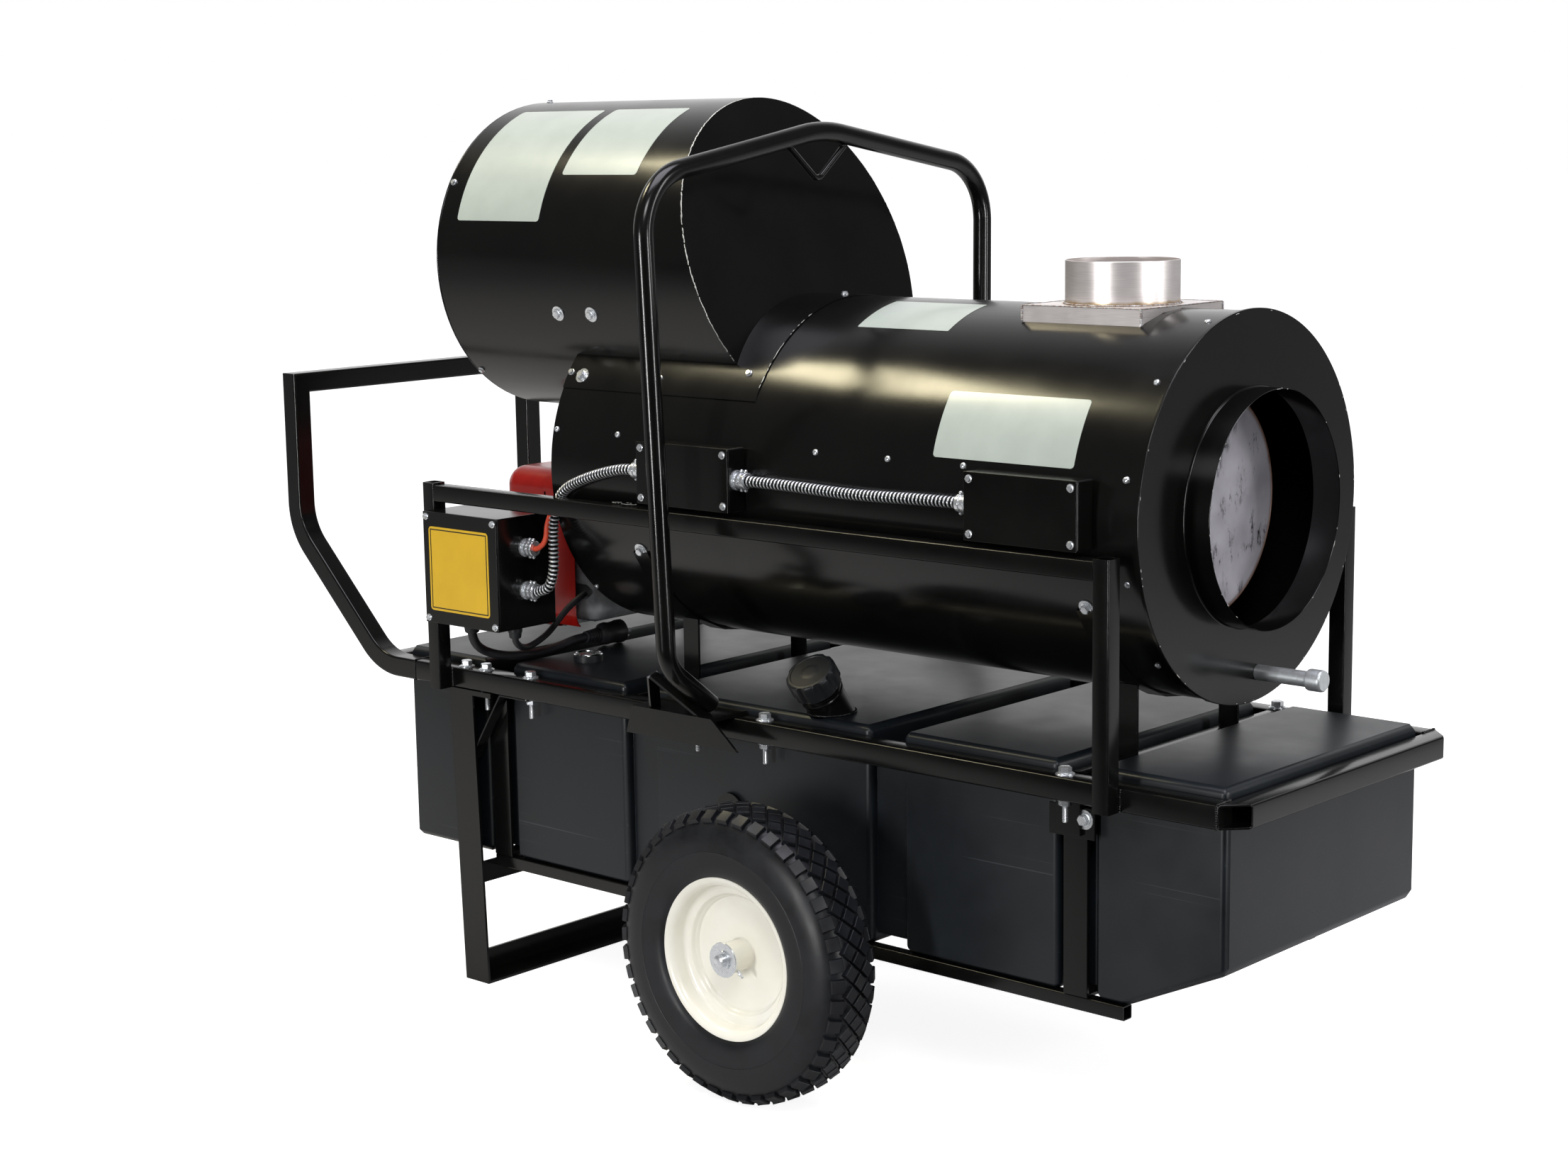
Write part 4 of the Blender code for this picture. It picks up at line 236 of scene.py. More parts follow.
# %% [markdown]
# ## Metals
# The flue is stainless sheet, brushed round the stub and tinted straw and brown by its welds.
# The exchanger's end is mill steel, scuffed and browned at its rim.
# Screws, fittings and hoses are bright zinc, and the burner's body is sand-cast aluminium.

# %% Metals
FLUE_AT = (0.550, 0, 1.081)
BRUSH_LENGTH, BRUSH_WIDTH = 30 * MM, 0.5 * MM
TINT_REACH = 7 * MM
FLUE_RING = 76.2 * MM       # the weld round the stub
CAST_GRAIN, CAST_DEPTH = 0.9 * MM, 0.12 * MM
SCUFF = 26 * MM
EXCHANGER_R = 0.152


def stainless():
    mat, tree, shader = finish("brushed_stainless_sheet", "brushed_stainless", "#e4ddda", 0.34, 0.7,
                               Anisotropic=0.4)
    brushed = noise(tree, place(tree, (BRUSH_WIDTH / BRUSH_LENGTH, BRUSH_WIDTH / BRUSH_LENGTH, 1)),
                    BRUSH_WIDTH, 2.0)
    cloud = noise(tree, place(tree), SCUFF, 4.0, 0.6)
    out = reach(tree, place(tree, (1, 1, 0), FLUE_AT))
    height = add(tree, "ShaderNodeSeparateXYZ", {"Vector": place(tree, centre=FLUE_AT)}).outputs["Z"]
    beside = maths(tree, "SUBTRACT", out, FLUE_RING)
    away = reach(tree, add(tree, "ShaderNodeCombineXYZ", {"X": beside, "Z": height}).outputs[0])
    uneven = maths(tree, "MULTIPLY_ADD", cloud, TINT_REACH, away)
    heat = between(tree, uneven, 1.0, 0.0, TINT_REACH * 0.4, TINT_REACH * 1.4)
    metal = tint(tree, between(tree, brushed), "#ded7d5", "#f2ecea")
    straw = tint(tree, between(tree, heat, 0.0, 1.0, 0.0, 0.55), metal, "#b39a72")
    link(tree, tint(tree, between(tree, heat, 0.0, 1.0, 0.55, 1.0), straw, "#6e5340"), shader, "Base Color")
    worn_gloss(tree, shader, cloud, 0.28, 0.34)
    relief(tree, shader, brushed, 0.004 * MM)
    return mat


def scuffed_steel():
    mat, tree, shader = finish("scuffed_mill_steel", "mill_scale_steel", "#c2bfc7", 0.42, 0.6)
    out = reach(tree, place(tree, (0, 1, 1), centre=(0, 0, SHELL_Z)))
    cloud = noise(tree, place(tree), SCUFF * 2.6, 3.0, 0.5)
    worn = tint(tree, between(tree, cloud), "#bab7c0", "#d8d5de")
    smudge = noise(tree, place(tree, (1, 1.3, 0.45)), SCUFF * 0.8, 6.0, 0.75)
    patch = noise(tree, place(tree), SCUFF * 2.2, 1.0)
    marks = maths(tree, "MULTIPLY", between(tree, smudge, 0.0, 1.0, 0.53, 0.62),
                  between(tree, patch, 0.0, 1.0, 0.48, 0.58))
    worn = tint(tree, marks, worn, "#2f2c33")
    rim = between(tree, out, 0.0, 1.0, EXCHANGER_R * 0.94, EXCHANGER_R * 0.985)
    link(tree, tint(tree, rim, worn, "#6b4a38"), shader, "Base Color")
    worn_gloss(tree, shader, cloud, 0.34, 0.46)
    return mat


# Zinc's dull passivated film scatters part of the light, so it is set as not wholly metallic.
ZINC_METALLIC = 0.80


def zinc(name="bright_zinc_plate", colour="#edf0f3", rough=0.24):
    mat, tree, shader = finish(name, "bright_zinc", colour, rough, ZINC_METALLIC)
    cloud = noise(tree, place(tree), 5 * MM, 3.0)
    mottled(tree, shader, cloud, colour, "#dde1e6")
    worn_gloss(tree, shader, cloud, rough - 0.02, rough + 0.05)
    return mat


def cast_metal():
    mat, tree, shader = finish("sand_cast_aluminium", "cast_aluminium", "#bcbec2", 0.40, 0.45)
    grain = noise(tree, place(tree), CAST_GRAIN, 3.0, 0.6)
    cloud = noise(tree, place(tree), SCUFF, 3.0)
    mottled(tree, shader, cloud, "#a6a9ae", "#cfd1d4")
    worn_gloss(tree, shader, grain, 0.38, 0.56)
    relief(tree, shader, grain, CAST_DEPTH)
    return mat


def wound_strip():
    """Zinc strip, with painted shade close to black in the grooves that the winding leaves."""
    mat, tree, shader = finish("wound_zinc_strip", "bright_zinc", "#dfe2e5", 0.28, ZINC_METALLIC)
    groove = add(tree, "ShaderNodeAttribute", attribute_name="groove").outputs["Fac"]
    # Painted shade: the deeper into a groove, the nearer the zinc is to black.
    groove_shade = between(tree, groove, 0.0, 1.0, 0.2, 0.6)
    link(tree, tint(tree, groove_shade, "#dfe2e5", "#0b0c0d"), shader, "Base Color")
    return mat


STAINLESS, MILL_STEEL, ZINC, CAST = stainless(), scuffed_steel(), zinc(), cast_metal()
WELD = zinc("heat_tinted_weld", "#7a5a40", 0.42)
HOSE = wound_strip()
# Pale flakes: bare steel where the paint has come off, and painted edge highlights on the outlet's rim and
# the collar's lip.
CHIP_AND_EDGE_HIGHLIGHT = finish("bare_chips_and_painted_edge_highlights", "bright_zinc", "#dededa", 0.55)[0]

# %% [markdown]
# ## Paints, rubber and plastic
# The wheels are stove enamelled in cream, the burner's hood is gloss red, and the rubbers are matt.

# %% Paints, rubber and plastic
def gloss_paint(name, slot, colour, deep, rough):
    mat, tree, shader = finish(name, slot, colour, rough, Coat_Weight=0.3, Coat_Roughness=0.12)
    cloud = noise(tree, place(tree), 60 * MM, 4.0, 0.6)
    mottled(tree, shader, cloud, colour, deep)
    relief(tree, shader, noise(tree, place(tree), 2.4 * MM), 0.015 * MM)
    return mat


def moulded(name, slot, colour, pale, rough, grain, depth):
    """Rubber or plastic out of a mould: fine even grain and a dusty bloom."""
    mat, tree, shader = finish(name, slot, colour, rough, Specular_IOR_Level=0.4)
    bloom = noise(tree, place(tree), 45 * MM, 5.0, 0.65)
    mottled(tree, shader, bloom, colour, pale)
    worn_gloss(tree, shader, bloom, rough - 0.06, rough + 0.08)
    relief(tree, shader, noise(tree, place(tree), grain, 3.0), depth)
    return mat


CREAM = gloss_paint("cream_stove_enamel", "rim_enamel", "#f8f6ec", "#f2efe2", 0.26)
RED = gloss_paint("gloss_red_paint", "burner_red", "#b81a12", "#9a130d", 0.26)
TYRE = moulded("moulded_tyre_rubber", "tyre_rubber", "#0c0d10", "#16181d", 0.40, 0.8 * MM, 0.04 * MM)
CABLE = moulded("pvc_cable_sheath", "cable_rubber", "#17171a", "#232327", 0.45, 0.5 * MM, 0.02 * MM)
ORANGE = moulded("orange_pvc_sheath", "cable_orange", "#cf4429", "#d9553a", 0.42, 0.5 * MM, 0.02 * MM)
PLASTIC = moulded("textured_nylon", "cap_plastic", "#151618", "#1e2023", 0.42, 0.6 * MM, 0.03 * MM)
NEEDLE = gloss_paint("red_needle_paint", "needle_red", "#c01a12", "#b0140d", 0.35)
PLATE = gloss_paint("mint_white_vinyl", "rim_enamel", "#b3bcb4", "#aab3ab", 0.30)
YELLOW = gloss_paint("yellow_vinyl", "rim_enamel", "#dcb222", "#d4aa1e", 0.34)
DIAL = gloss_paint("black_dial_paint", "rim_enamel", "#1c1c1d", "#232324", 0.4)
GLASS = finish("clear_acrylic_lens", "gauge_glass", "#f2f5f5", 0.04, IOR=1.49,
               Transmission_Weight=0.95)[0]

# %% [markdown]
# ## The studio
# A pale floor and a white backdrop behind, with large soft lamps overhead and tall narrow ones
# that draw thin lines on the tubes. The room on the camera's own side is dark, as a studio's is,
# and this keeps black paint black. The backdrop is white for the camera, for gloss and for glass.

# %% Floor, world and lamps
FLOOR_R = 60.0
BACKDROP_LIGHT = 0.34
DARK_SIDE = (0.67, -0.74, 0.0)      # towards the unlit half of the room
DARK_LEVEL = 0.09


def towards_dark(tree):
    """How far a direction or a spot is towards the unlit half of the room."""
    return add(tree, "ShaderNodeVectorMath", {0: place(tree), 1: DARK_SIDE},
               operation="DOT_PRODUCT").outputs["Value"]


def studio_world():
    world = bpy.data.worlds.new("studio")
    world.use_nodes = True
    tree = world.node_tree
    rays = add(tree, "ShaderNodeLightPath").outputs
    white = between(tree, towards_dark(tree), 1.0, DARK_LEVEL, -0.85, -0.40)
    level = add(tree, "ShaderNodeMix", {0: rays["Is Glossy Ray"], 2: BACKDROP_LIGHT, 3: white}).outputs[0]
    clear = maths(tree, "MAXIMUM", rays["Is Camera Ray"], rays["Is Transmission Ray"])
    level = add(tree, "ShaderNodeMix", {0: clear, 2: level, 3: 1.0}).outputs[0]
    back = tree.nodes["Background"]
    back.inputs["Color"].default_value = linear("#ffffff")
    tree.links.new(level, back.inputs["Strength"])
    bpy.context.scene.world = world


def studio_floor():
    bm = bmesh.new()
    bmesh.ops.create_circle(bm, cap_ends=True, segments=64, radius=FLOOR_R)
    mesh = bpy.data.meshes.new("floor")
    bm.to_mesh(mesh)
    bm.free()
    mat, tree, shader = finish("pale_floor", None, "#cccccc", 0.9, Specular_IOR_Level=0.0)
    rays = add(tree, "ShaderNodeLightPath").outputs
    unlit = between(tree, towards_dark(tree), 0.0, 1.0, 0.35, 1.3)
    unlit = maths(tree, "MULTIPLY", unlit, maths(tree, "SUBTRACT", 1.0, rays["Is Camera Ray"]))
    link(tree, tint(tree, unlit, "#cccccc", "#1a1a1a"), shader, "Base Color")
    level = between(tree, reach(tree, place(tree)), 0.86, 1.0, 1.3, 3.0)
    link(tree, maths(tree, "MULTIPLY", rays["Is Camera Ray"], level), shader, "Emission Strength")
    shader.inputs["Emission Color"].default_value = linear("#ffffff")
    mesh.materials.append(mat)
    floor = bpy.data.objects.new("floor", mesh)
    floor.location.z = -GAP
    bpy.context.scene.collection.objects.link(floor)


def lamp(name, spot, target, size, power, colour="#ffffff"):
    light = bpy.data.lights.new(name, "AREA")
    light.shape, light.size, light.size_y, light.energy = "RECTANGLE", *size, power
    light.color = linear(colour)[:3]
    obj = bpy.data.objects.new(name, light)
    obj.location = spot
    obj.rotation_euler = (Vector(spot) - Vector(target)).to_track_quat("Z", "Y").to_euler()
    bpy.context.scene.collection.objects.link(obj)


studio_world()
studio_floor()
lamp("overhead_bank", (0.6, -0.4, 4.6), (0.3, 0, 0.8), (3.2, 2.4), 122, "#f6f4ff")
lamp("shell_bank", (-2.2, -1.25, 3.8), (0.3, -0.2, 0.98), (1.1, 0.55), 46, "#fff4cc")
lamp("low_bank_left", (0.1, -4.6, 0.66), (0, 0, 0.8), (0.36, 1.25), 74)
lamp("low_bank_right", (4.6, -0.2, 0.66), (0.2, 0, 0.8), (0.36, 1.25), 44)
lamp("high_fill", (3.2, -3.4, 4.0), (0.2, 0, 0.7), (1.5, 1.5), 80)
lamp("right_strip", (3.8, 1.6, 2.0), (0.2, 0, 0.8), (0.4, 2.4), 40)

# %% [markdown]
# ## Making pieces
# A piece is a mesh whose place is in its points, so its object stays at the origin.
# It rides on a body, and where it stands for a solid, that solid is hidden.

# %% Piece helpers
SMOOTH_TO = math.radians(38)


def as_data(name, bm, *materials):
    """Turns a bmesh into a mesh with smooth shading up to sharp corners."""
    bmesh.ops.remove_doubles(bm, verts=bm.verts, dist=0.005 * MM)
    bmesh.ops.recalc_face_normals(bm, faces=bm.faces)
    mesh = bpy.data.meshes.new(name)
    bm.to_mesh(mesh)
    bm.free()
    for mat in materials:
        mesh.materials.append(mat)
    mesh.shade_smooth()
    mesh.set_sharp_from_angle(angle=SMOOTH_TO)
    return mesh


def evened(data):
    """Leans a mesh's normals towards its larger faces, so flats next to round edges look flat."""
    obj = temporary(data)
    weigh = obj.modifiers.new("weigh", "WEIGHTED_NORMAL")
    weigh.keep_sharp = True
    return settled(obj)


def piece(name, data, body="heater", stands_for=()):
    """Puts a finished mesh into the scene as a piece that moves with a body."""
    if isinstance(data, bpy.types.Mesh) and len(data.polygons) < 40000:
        data = evened(data)
        data.name = name
    obj = bpy.data.objects.new(name, data)
    bpy.context.scene.collection.objects.link(obj)
    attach(obj, body)
    if stands_for:
        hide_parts(*stands_for)
    return obj


def shaped(name, bm, material, body="heater", **options):
    """A piece straight from a bmesh in one finish."""
    return piece(name, as_data(name, bm, material), body, **options)


def temporary(data):
    obj = bpy.data.objects.new("temporary", data)
    bpy.context.scene.collection.objects.link(obj)
    return obj


def settled(obj):
    """The object's mesh with its modifiers worked in; the object itself goes."""
    bpy.context.view_layer.update()
    graph = bpy.context.evaluated_depsgraph_get()
    mesh = bpy.data.meshes.new_from_object(obj.evaluated_get(graph), depsgraph=graph)
    obj.modifiers.clear()
    bpy.data.objects.remove(obj, do_unlink=True)
    return mesh


def carve(data, *tools, operation="DIFFERENCE"):
    """Cuts closed bmeshes out of a mesh."""
    obj = temporary(data)
    cutters = []
    for i, bm in enumerate(tools):
        cutter = temporary(as_data(f"cutter_{i}", bm))
        cut = obj.modifiers.new(f"cut_{i}", "BOOLEAN")
        cut.object, cut.operation, cut.solver = cutter, operation, "EXACT"
        cutters.append(cutter)
    mesh = settled(obj)
    for cutter in cutters:
        bpy.data.objects.remove(cutter, do_unlink=True)
    mesh.shade_smooth()
    mesh.set_sharp_from_angle(angle=SMOOTH_TO)
    return mesh


def mm(*rows):
    """Rows of millimetres as rows of metres."""
    return [tuple(value * MM for value in row) for row in rows]


def together(*parts):
    """Several bmeshes as one."""
    whole, data = bmesh.new(), bpy.data.meshes.new("part")
    for part in parts:
        part.to_mesh(data)
        part.free()
        whole.from_mesh(data)
    return whole


def extruded(outline, by):
    """A flat outline drawn out into a plate."""
    bm = bmesh.new()
    face = bm.faces.new([bm.verts.new(p) for p in outline])
    lifted = bmesh.ops.extrude_face_region(bm, geom=[face])["geom"]
    bmesh.ops.translate(bm, vec=by, verts=[g for g in lifted if isinstance(g, bmesh.types.BMVert)])
    return bm


def beside_x(angle, sign=1):
    """The way out from the X axis, at an angle from the top towards +Y or -Y."""
    return Vector((0, sign * math.sin(angle), math.cos(angle)))


def beside_y(angle):
    """The way out from the Y axis, at an angle from +X towards +Z."""
    return Vector((math.cos(angle), 0, math.sin(angle)))


def beside_z(angle):
    """The way out from the Z axis, at an angle from +X towards +Y."""
    return Vector((math.cos(angle), math.sin(angle), 0))


def lathe(profile, at, along, sides=ROUND_SIDES, closed=True):
    """Turns a profile of (radius, height) points round the axis at `at`."""
    bm = bmesh.new()
    verts = [bm.verts.new((r, 0, h)) for r, h in profile]
    ends = verts[1:] + verts[:1] if closed else verts[1:]
    edges = [bm.edges.new(pair) for pair in zip(verts, ends)]
    bmesh.ops.spin(bm, geom=verts + edges, axis=(0, 0, 1), cent=(0, 0, 0), angle=math.tau, steps=sides,
                   use_merge=True)
    bmesh.ops.remove_doubles(bm, verts=bm.verts, dist=0.002 * MM)
    turn = Vector(along).to_track_quat("Z", "Y").to_matrix().to_4x4()
    bmesh.ops.transform(bm, matrix=Matrix.Translation(at) @ turn, verts=bm.verts)
    return bm


def arc(before, corner, after, radius, steps):
    """Points of the arc that rounds a path's corner."""
    before, corner, after = Vector(before), Vector(corner), Vector(after)
    back, on = (before - corner).normalized(), (after - corner).normalized()
    half = back.angle(on) / 2
    middle = corner + (back + on).normalized() * (radius / math.sin(half))
    start = corner + back * (radius / math.tan(half))
    axis, turn = back.cross(on).normalized(), math.pi - 2 * half
    return [middle + Matrix.Rotation(-turn * i / steps, 3, axis) @ (start - middle) for i in range(steps + 1)]


def rounded(points, radius, steps=3):
    """A closed (radius, height) profile whose corners are rounded where there is room."""
    points = [Vector((*p, 0)) for p in points]
    out = []
    for before, corner, after in zip(points[-1:] + points, points, points[1:] + points[:1]):
        room = 0.45 * min((before - corner).length, (after - corner).length)
        bend = (before - corner).angle(after - corner, math.pi)
        if corner.x <= 0 or abs(bend - math.pi) < 0.05:
            out.append(corner)
        else:
            out += arc(before, corner, after, min(radius, room * math.tan(bend / 2)), steps)
    return [(p.x, p.y) for p in out]


def square_section(side, corner):
    half = side / 2
    corners = [(-half, -half), (half, -half), (half, half), (-half, half)]
    return rounded([(x + side, y) for x, y in corners], corner, steps=4), side


def sweep(path, section, shift=0, up=UP):
    """Draws a closed section along a path; its corners slide on to each mitre plane."""
    path = [Vector(p) for p in path]
    runs = [(b - a).normalized() for a, b in zip(path, path[1:])]
    side = runs[0].cross(Vector(up)).normalized()
    rise = side.cross(runs[0])
    mitres = [(a + b).normalized() for a, b in zip(runs, runs[1:])] + [runs[-1]]
    bm = bmesh.new()
    ring = [bm.verts.new(path[0] + side * (u - shift) + rise * v) for u, v in section]
    bm.faces.new(ring[::-1])
    for run, point, mitre in zip(runs, path[1:], mitres):
        fresh = [bm.verts.new(v.co + run * ((point - v.co).dot(mitre) / run.dot(mitre))) for v in ring]
        for i in range(len(ring)):
            j = (i + 1) % len(ring)
            bm.faces.new((ring[i], ring[j], fresh[j], fresh[i]))
        ring = fresh
    bm.faces.new(ring)
    return bm


def circle(radius, sides=TUBE_SIDES):
    angles = [math.tau * i / sides for i in range(sides)]
    return [(radius * math.cos(a), radius * math.sin(a)) for a in angles]


def smooth_path(points, spacing):
    """Points at an even spacing along a smooth curve through the given ones."""
    points = [Vector(p) for p in points]
    ends = [points[0] * 2 - points[1]] + points + [points[-1] * 2 - points[-2]]
    fine = []
    for a, b, c, d in zip(ends, ends[1:], ends[2:], ends[3:]):
        for t in (i / 24 for i in range(24)):
            fine.append(0.5 * (2 * b + (c - a) * t + (2 * a - 5 * b + 4 * c - d) * t ** 2
                               + (3 * b - a - 3 * c + d) * t ** 3))
    fine.append(points[-1])
    lengths = [(b - a).length for a, b in zip(fine, fine[1:])]
    wanted = max(2, round(sum(lengths) / spacing))
    out, done, at = [fine[0]], 0, 0
    for target in (sum(lengths) * i / wanted for i in range(1, wanted)):
        while done + lengths[at] < target:
            done += lengths[at]
            at += 1
        out.append(fine[at].lerp(fine[at + 1], (target - done) / lengths[at]))
    return out + [fine[-1]]


def path_length(points):
    return sum((b - a).length for a, b in zip(points, points[1:]))


# %% [markdown]
# ## Repeated shapes
# Screws, lugs and spokes sit on points that carry the way they face, and a geometry tree sets
# one out at each. Ribbed hoses and weld beads are both a tube whose radius swells along a path.

# %% Geometry trees
def new_tree(name, sockets):
    tree = bpy.data.node_groups.new(name, "GeometryNodeTree")
    tree.interface.new_socket("Geometry", in_out="INPUT", socket_type="NodeSocketGeometry")
    for label, kind in sockets.items():
        tree.interface.new_socket(label, in_out="INPUT", socket_type=kind)
    tree.interface.new_socket("Geometry", in_out="OUTPUT", socket_type="NodeSocketGeometry")
    return tree, add(tree, "NodeGroupInput").outputs


def set_out_tree():
    """Sets one object out on points, its Z along `facing` and its X along `along`."""
    tree, given = new_tree("set_out", {"Shape": "NodeSocketObject", "Size": "NodeSocketFloat",
                                       "Finish": "NodeSocketMaterial"})
    facing = add(tree, "GeometryNodeInputNamedAttribute", {"Name": "facing"}, data_type="FLOAT_VECTOR")
    along = add(tree, "GeometryNodeInputNamedAttribute", {"Name": "along"}, data_type="FLOAT_VECTOR")
    upright = add(tree, "FunctionNodeAlignRotationToVector", {"Vector": facing.outputs[0]}, axis="Z")
    turned = add(tree, "FunctionNodeAlignRotationToVector",
                 {"Rotation": upright.outputs[0], "Vector": along.outputs[0]}, axis="X", pivot_axis="Z")
    shape = add(tree, "GeometryNodeObjectInfo", {"Object": given["Shape"]}).outputs["Geometry"]
    points = add(tree, "GeometryNodeMeshToPoints", {"Mesh": given["Geometry"]}).outputs[0]
    copies = add(tree, "GeometryNodeInstanceOnPoints", {"Points": points, "Instance": shape,
                 "Rotation": turned.outputs[0], "Scale": given["Size"]}).outputs[0]
    real = add(tree, "GeometryNodeRealizeInstances", {"Geometry": copies}).outputs[0]
    done = add(tree, "GeometryNodeSetMaterial", {"Geometry": real, "Material": given["Finish"]}).outputs[0]
    add(tree, "NodeGroupOutput", {"Geometry": done})
    return tree


def swelling_tree():
    """A tube along a path, ribbed at a pitch and uneven by a seeded noise."""
    names = ("Radius", "Pitch", "Depth", "Unevenness", "Step", "Seed")
    tree, given = new_tree("swelling_tube", {**dict.fromkeys(names, "NodeSocketFloat"),
                                             "Finish": "NodeSocketMaterial"})
    line = add(tree, "GeometryNodeMeshToCurve", {"Mesh": given["Geometry"]}).outputs[0]
    fine = add(tree, "GeometryNodeResampleCurve", {"Curve": line, "Length": given["Step"]},
               mode="LENGTH").outputs[0]
    run = add(tree, "GeometryNodeSplineParameter").outputs["Length"]
    turns = maths(tree, "DIVIDE", run, given["Pitch"])
    wave = maths(tree, "COSINE", maths(tree, "MULTIPLY", turns, math.tau))
    ribs = maths(tree, "MULTIPLY", maths(tree, "MULTIPLY_ADD", wave, 0.5, -0.5), given["Depth"])
    along = maths(tree, "MULTIPLY_ADD", run, 400.0, given["Seed"])
    lumps = add(tree, "ShaderNodeTexNoise", {"W": along, "Detail": 2.0}, noise_dimensions="1D").outputs["Fac"]
    uneven = maths(tree, "MULTIPLY", maths(tree, "SUBTRACT", lumps, 0.5), given["Unevenness"])
    radius = maths(tree, "ADD", maths(tree, "ADD", given["Radius"], ribs), uneven)
    # The groove share is stored for the hose's painted shade in its grooves.
    low = maths(tree, "MULTIPLY_ADD", wave, -0.5, 0.5)
    fine = add(tree, "GeometryNodeStoreNamedAttribute", {"Geometry": fine, "Name": "groove", "Value": low},
               data_type="FLOAT", domain="POINT").outputs[0]
    swelled = add(tree, "GeometryNodeSetCurveRadius", {"Curve": fine, "Radius": radius}).outputs[0]
    ring = add(tree, "GeometryNodeCurvePrimitiveCircle", {"Resolution": 20, "Radius": 1.0}).outputs[0]
    tube = add(tree, "GeometryNodeCurveToMesh", {"Curve": swelled, "Profile Curve": ring, "Fill Caps": True})
    if "Scale" in tube.inputs:
        link_radius = add(tree, "GeometryNodeInputRadius").outputs[0]
        tree.links.new(link_radius, tube.inputs["Scale"])
    smooth = add(tree, "GeometryNodeSetShadeSmooth", {"Geometry": tube.outputs[0]}).outputs[0]
    done = add(tree, "GeometryNodeSetMaterial", {"Geometry": smooth, "Material": given["Finish"]}).outputs[0]
    add(tree, "NodeGroupOutput", {"Geometry": done})
    return tree


SET_OUT, SWELLING = set_out_tree(), swelling_tree()


def grown(name, tree, base, **values):
    """Runs a geometry tree on a base mesh and returns the finished mesh."""
    obj = temporary(base)
    modifier = obj.modifiers.new(name, "NODES")
    modifier.node_group = tree
    for item in tree.interface.items_tree:
        if item.in_out == "INPUT" and item.name in values:
            modifier[item.identifier] = values[item.name]
    mesh = settled(obj)
    mesh.name = name
    if "Finish" in values and not mesh.materials:
        mesh.materials.append(values["Finish"])
    return mesh


def points_mesh(name, spots):
    """A mesh of loose points from (place, facing, along) rows."""
    mesh = bpy.data.meshes.new(name)
    mesh.from_pydata([s[0] for s in spots], [], [])
    for label, index in (("facing", 1), ("along", 2)):
        layer = mesh.attributes.new(label, "FLOAT_VECTOR", "POINT")
        for row, spot in zip(layer.data, spots):
            row.vector = Vector(spot[index]).normalized()
    return mesh


def set_out(name, shape, spots, material, body="heater", **options):
    """One piece with a copy of `shape` at each spot."""
    spots = [(s[0], s[1], s[2] if len(s) > 2 else side_of(s[1])) for s in spots]
    source = temporary(shape)
    mesh = grown(name, SET_OUT, points_mesh(name, spots), Shape=source, Size=1.0, Finish=material)
    bpy.data.objects.remove(source, do_unlink=True)
    return piece(name, mesh, body, **options)


def side_of(facing):
    """Some direction across the way a screw faces, the same one each run."""
    facing = Vector(facing).normalized()
    guide = UP if abs(facing.z) < 0.9 else Vector((1, 0, 0))
    return facing.cross(guide)


def line_mesh(name, points):
    mesh = bpy.data.meshes.new(name)
    mesh.from_pydata([tuple(p) for p in points], [(i, i + 1) for i in range(len(points) - 1)], [])
    return mesh


print("helpers ready")

# %% [markdown]
# ## The power cord and its plug
# A short rubber cord hangs from the gland under the control box, turns under the box and lies
# on the tank's top with its three-pin plug. Its length is what the photograph shows end to end.

# %% Power cord
CORD_EXIT = Vector((-0.4547, -0.280, 0.5778))
CORD_R, PLUG_R, PLUG_RELIEF, PLUG_LENGTH, BLADE_LENGTH = 0.007, 0.0185, 0.030, 0.046, 0.017
PLUG_START, PLUG_ALONG = Vector((-0.4115, -0.0850, 0.5312)), Vector((0.05, 1, 0)).normalized()
CORD_ROUTE = [(-0.4547, -0.280, 0.568), (-0.4550, -0.2785, 0.5560), (-0.4575, -0.2670, 0.5400),
              (-0.4570, -0.2470, 0.5275), (-0.4420, -0.2280, 0.5212), (-0.4250, -0.2050, 0.5200),
              (-0.4190, -0.1700, 0.5200), (-0.4165, -0.1350, 0.5240), (-0.4125, -0.1050, 0.5303)]
cord_line = smooth_path([CORD_EXIT, *CORD_ROUTE, PLUG_START], 0.008)


def cord_piece():
    curve = bpy.data.curves.new("power_cord_sheath", "CURVE")
    curve.dimensions = "3D"
    curve.bevel_depth, curve.bevel_resolution, curve.use_fill_caps = CORD_R, 6, True
    spline = curve.splines.new("POLY")
    spline.points.add(len(cord_line) - 1)
    for point, spot in zip(spline.points, cord_line):
        point.co = (*spot, 1)
    spline.use_smooth = True
    curve.materials.append(CABLE)
    return piece("power_cord_sheath", curve, stands_for=["power_cord"])


def plug_profile():
    """The plug's outline: a relief with cut ribs, a shoulder, a grip waist and a flat face."""
    rows = [(0, 0)]
    for i in range(5):
        start = 2 * MM + i * 5.4 * MM
        fat = CORD_R * 1.28 + i * 0.55 * MM
        rows += [(fat, start), (fat + 0.15 * MM, start + 3.6 * MM), (fat - 1.5 * MM, start + 3.8 * MM),
                 (fat - 1.4 * MM, start + 5.2 * MM)]
    total = PLUG_RELIEF + PLUG_LENGTH
    rows += [(PLUG_R * share, PLUG_RELIEF + height * MM) for share, height in
             ((0.66, 0), (0.93, 6), (0.98, 13), (0.9, 20), (0.93, 31))]
    return rows + [(PLUG_R, total - 9 * MM), (PLUG_R, total), (0, total)]


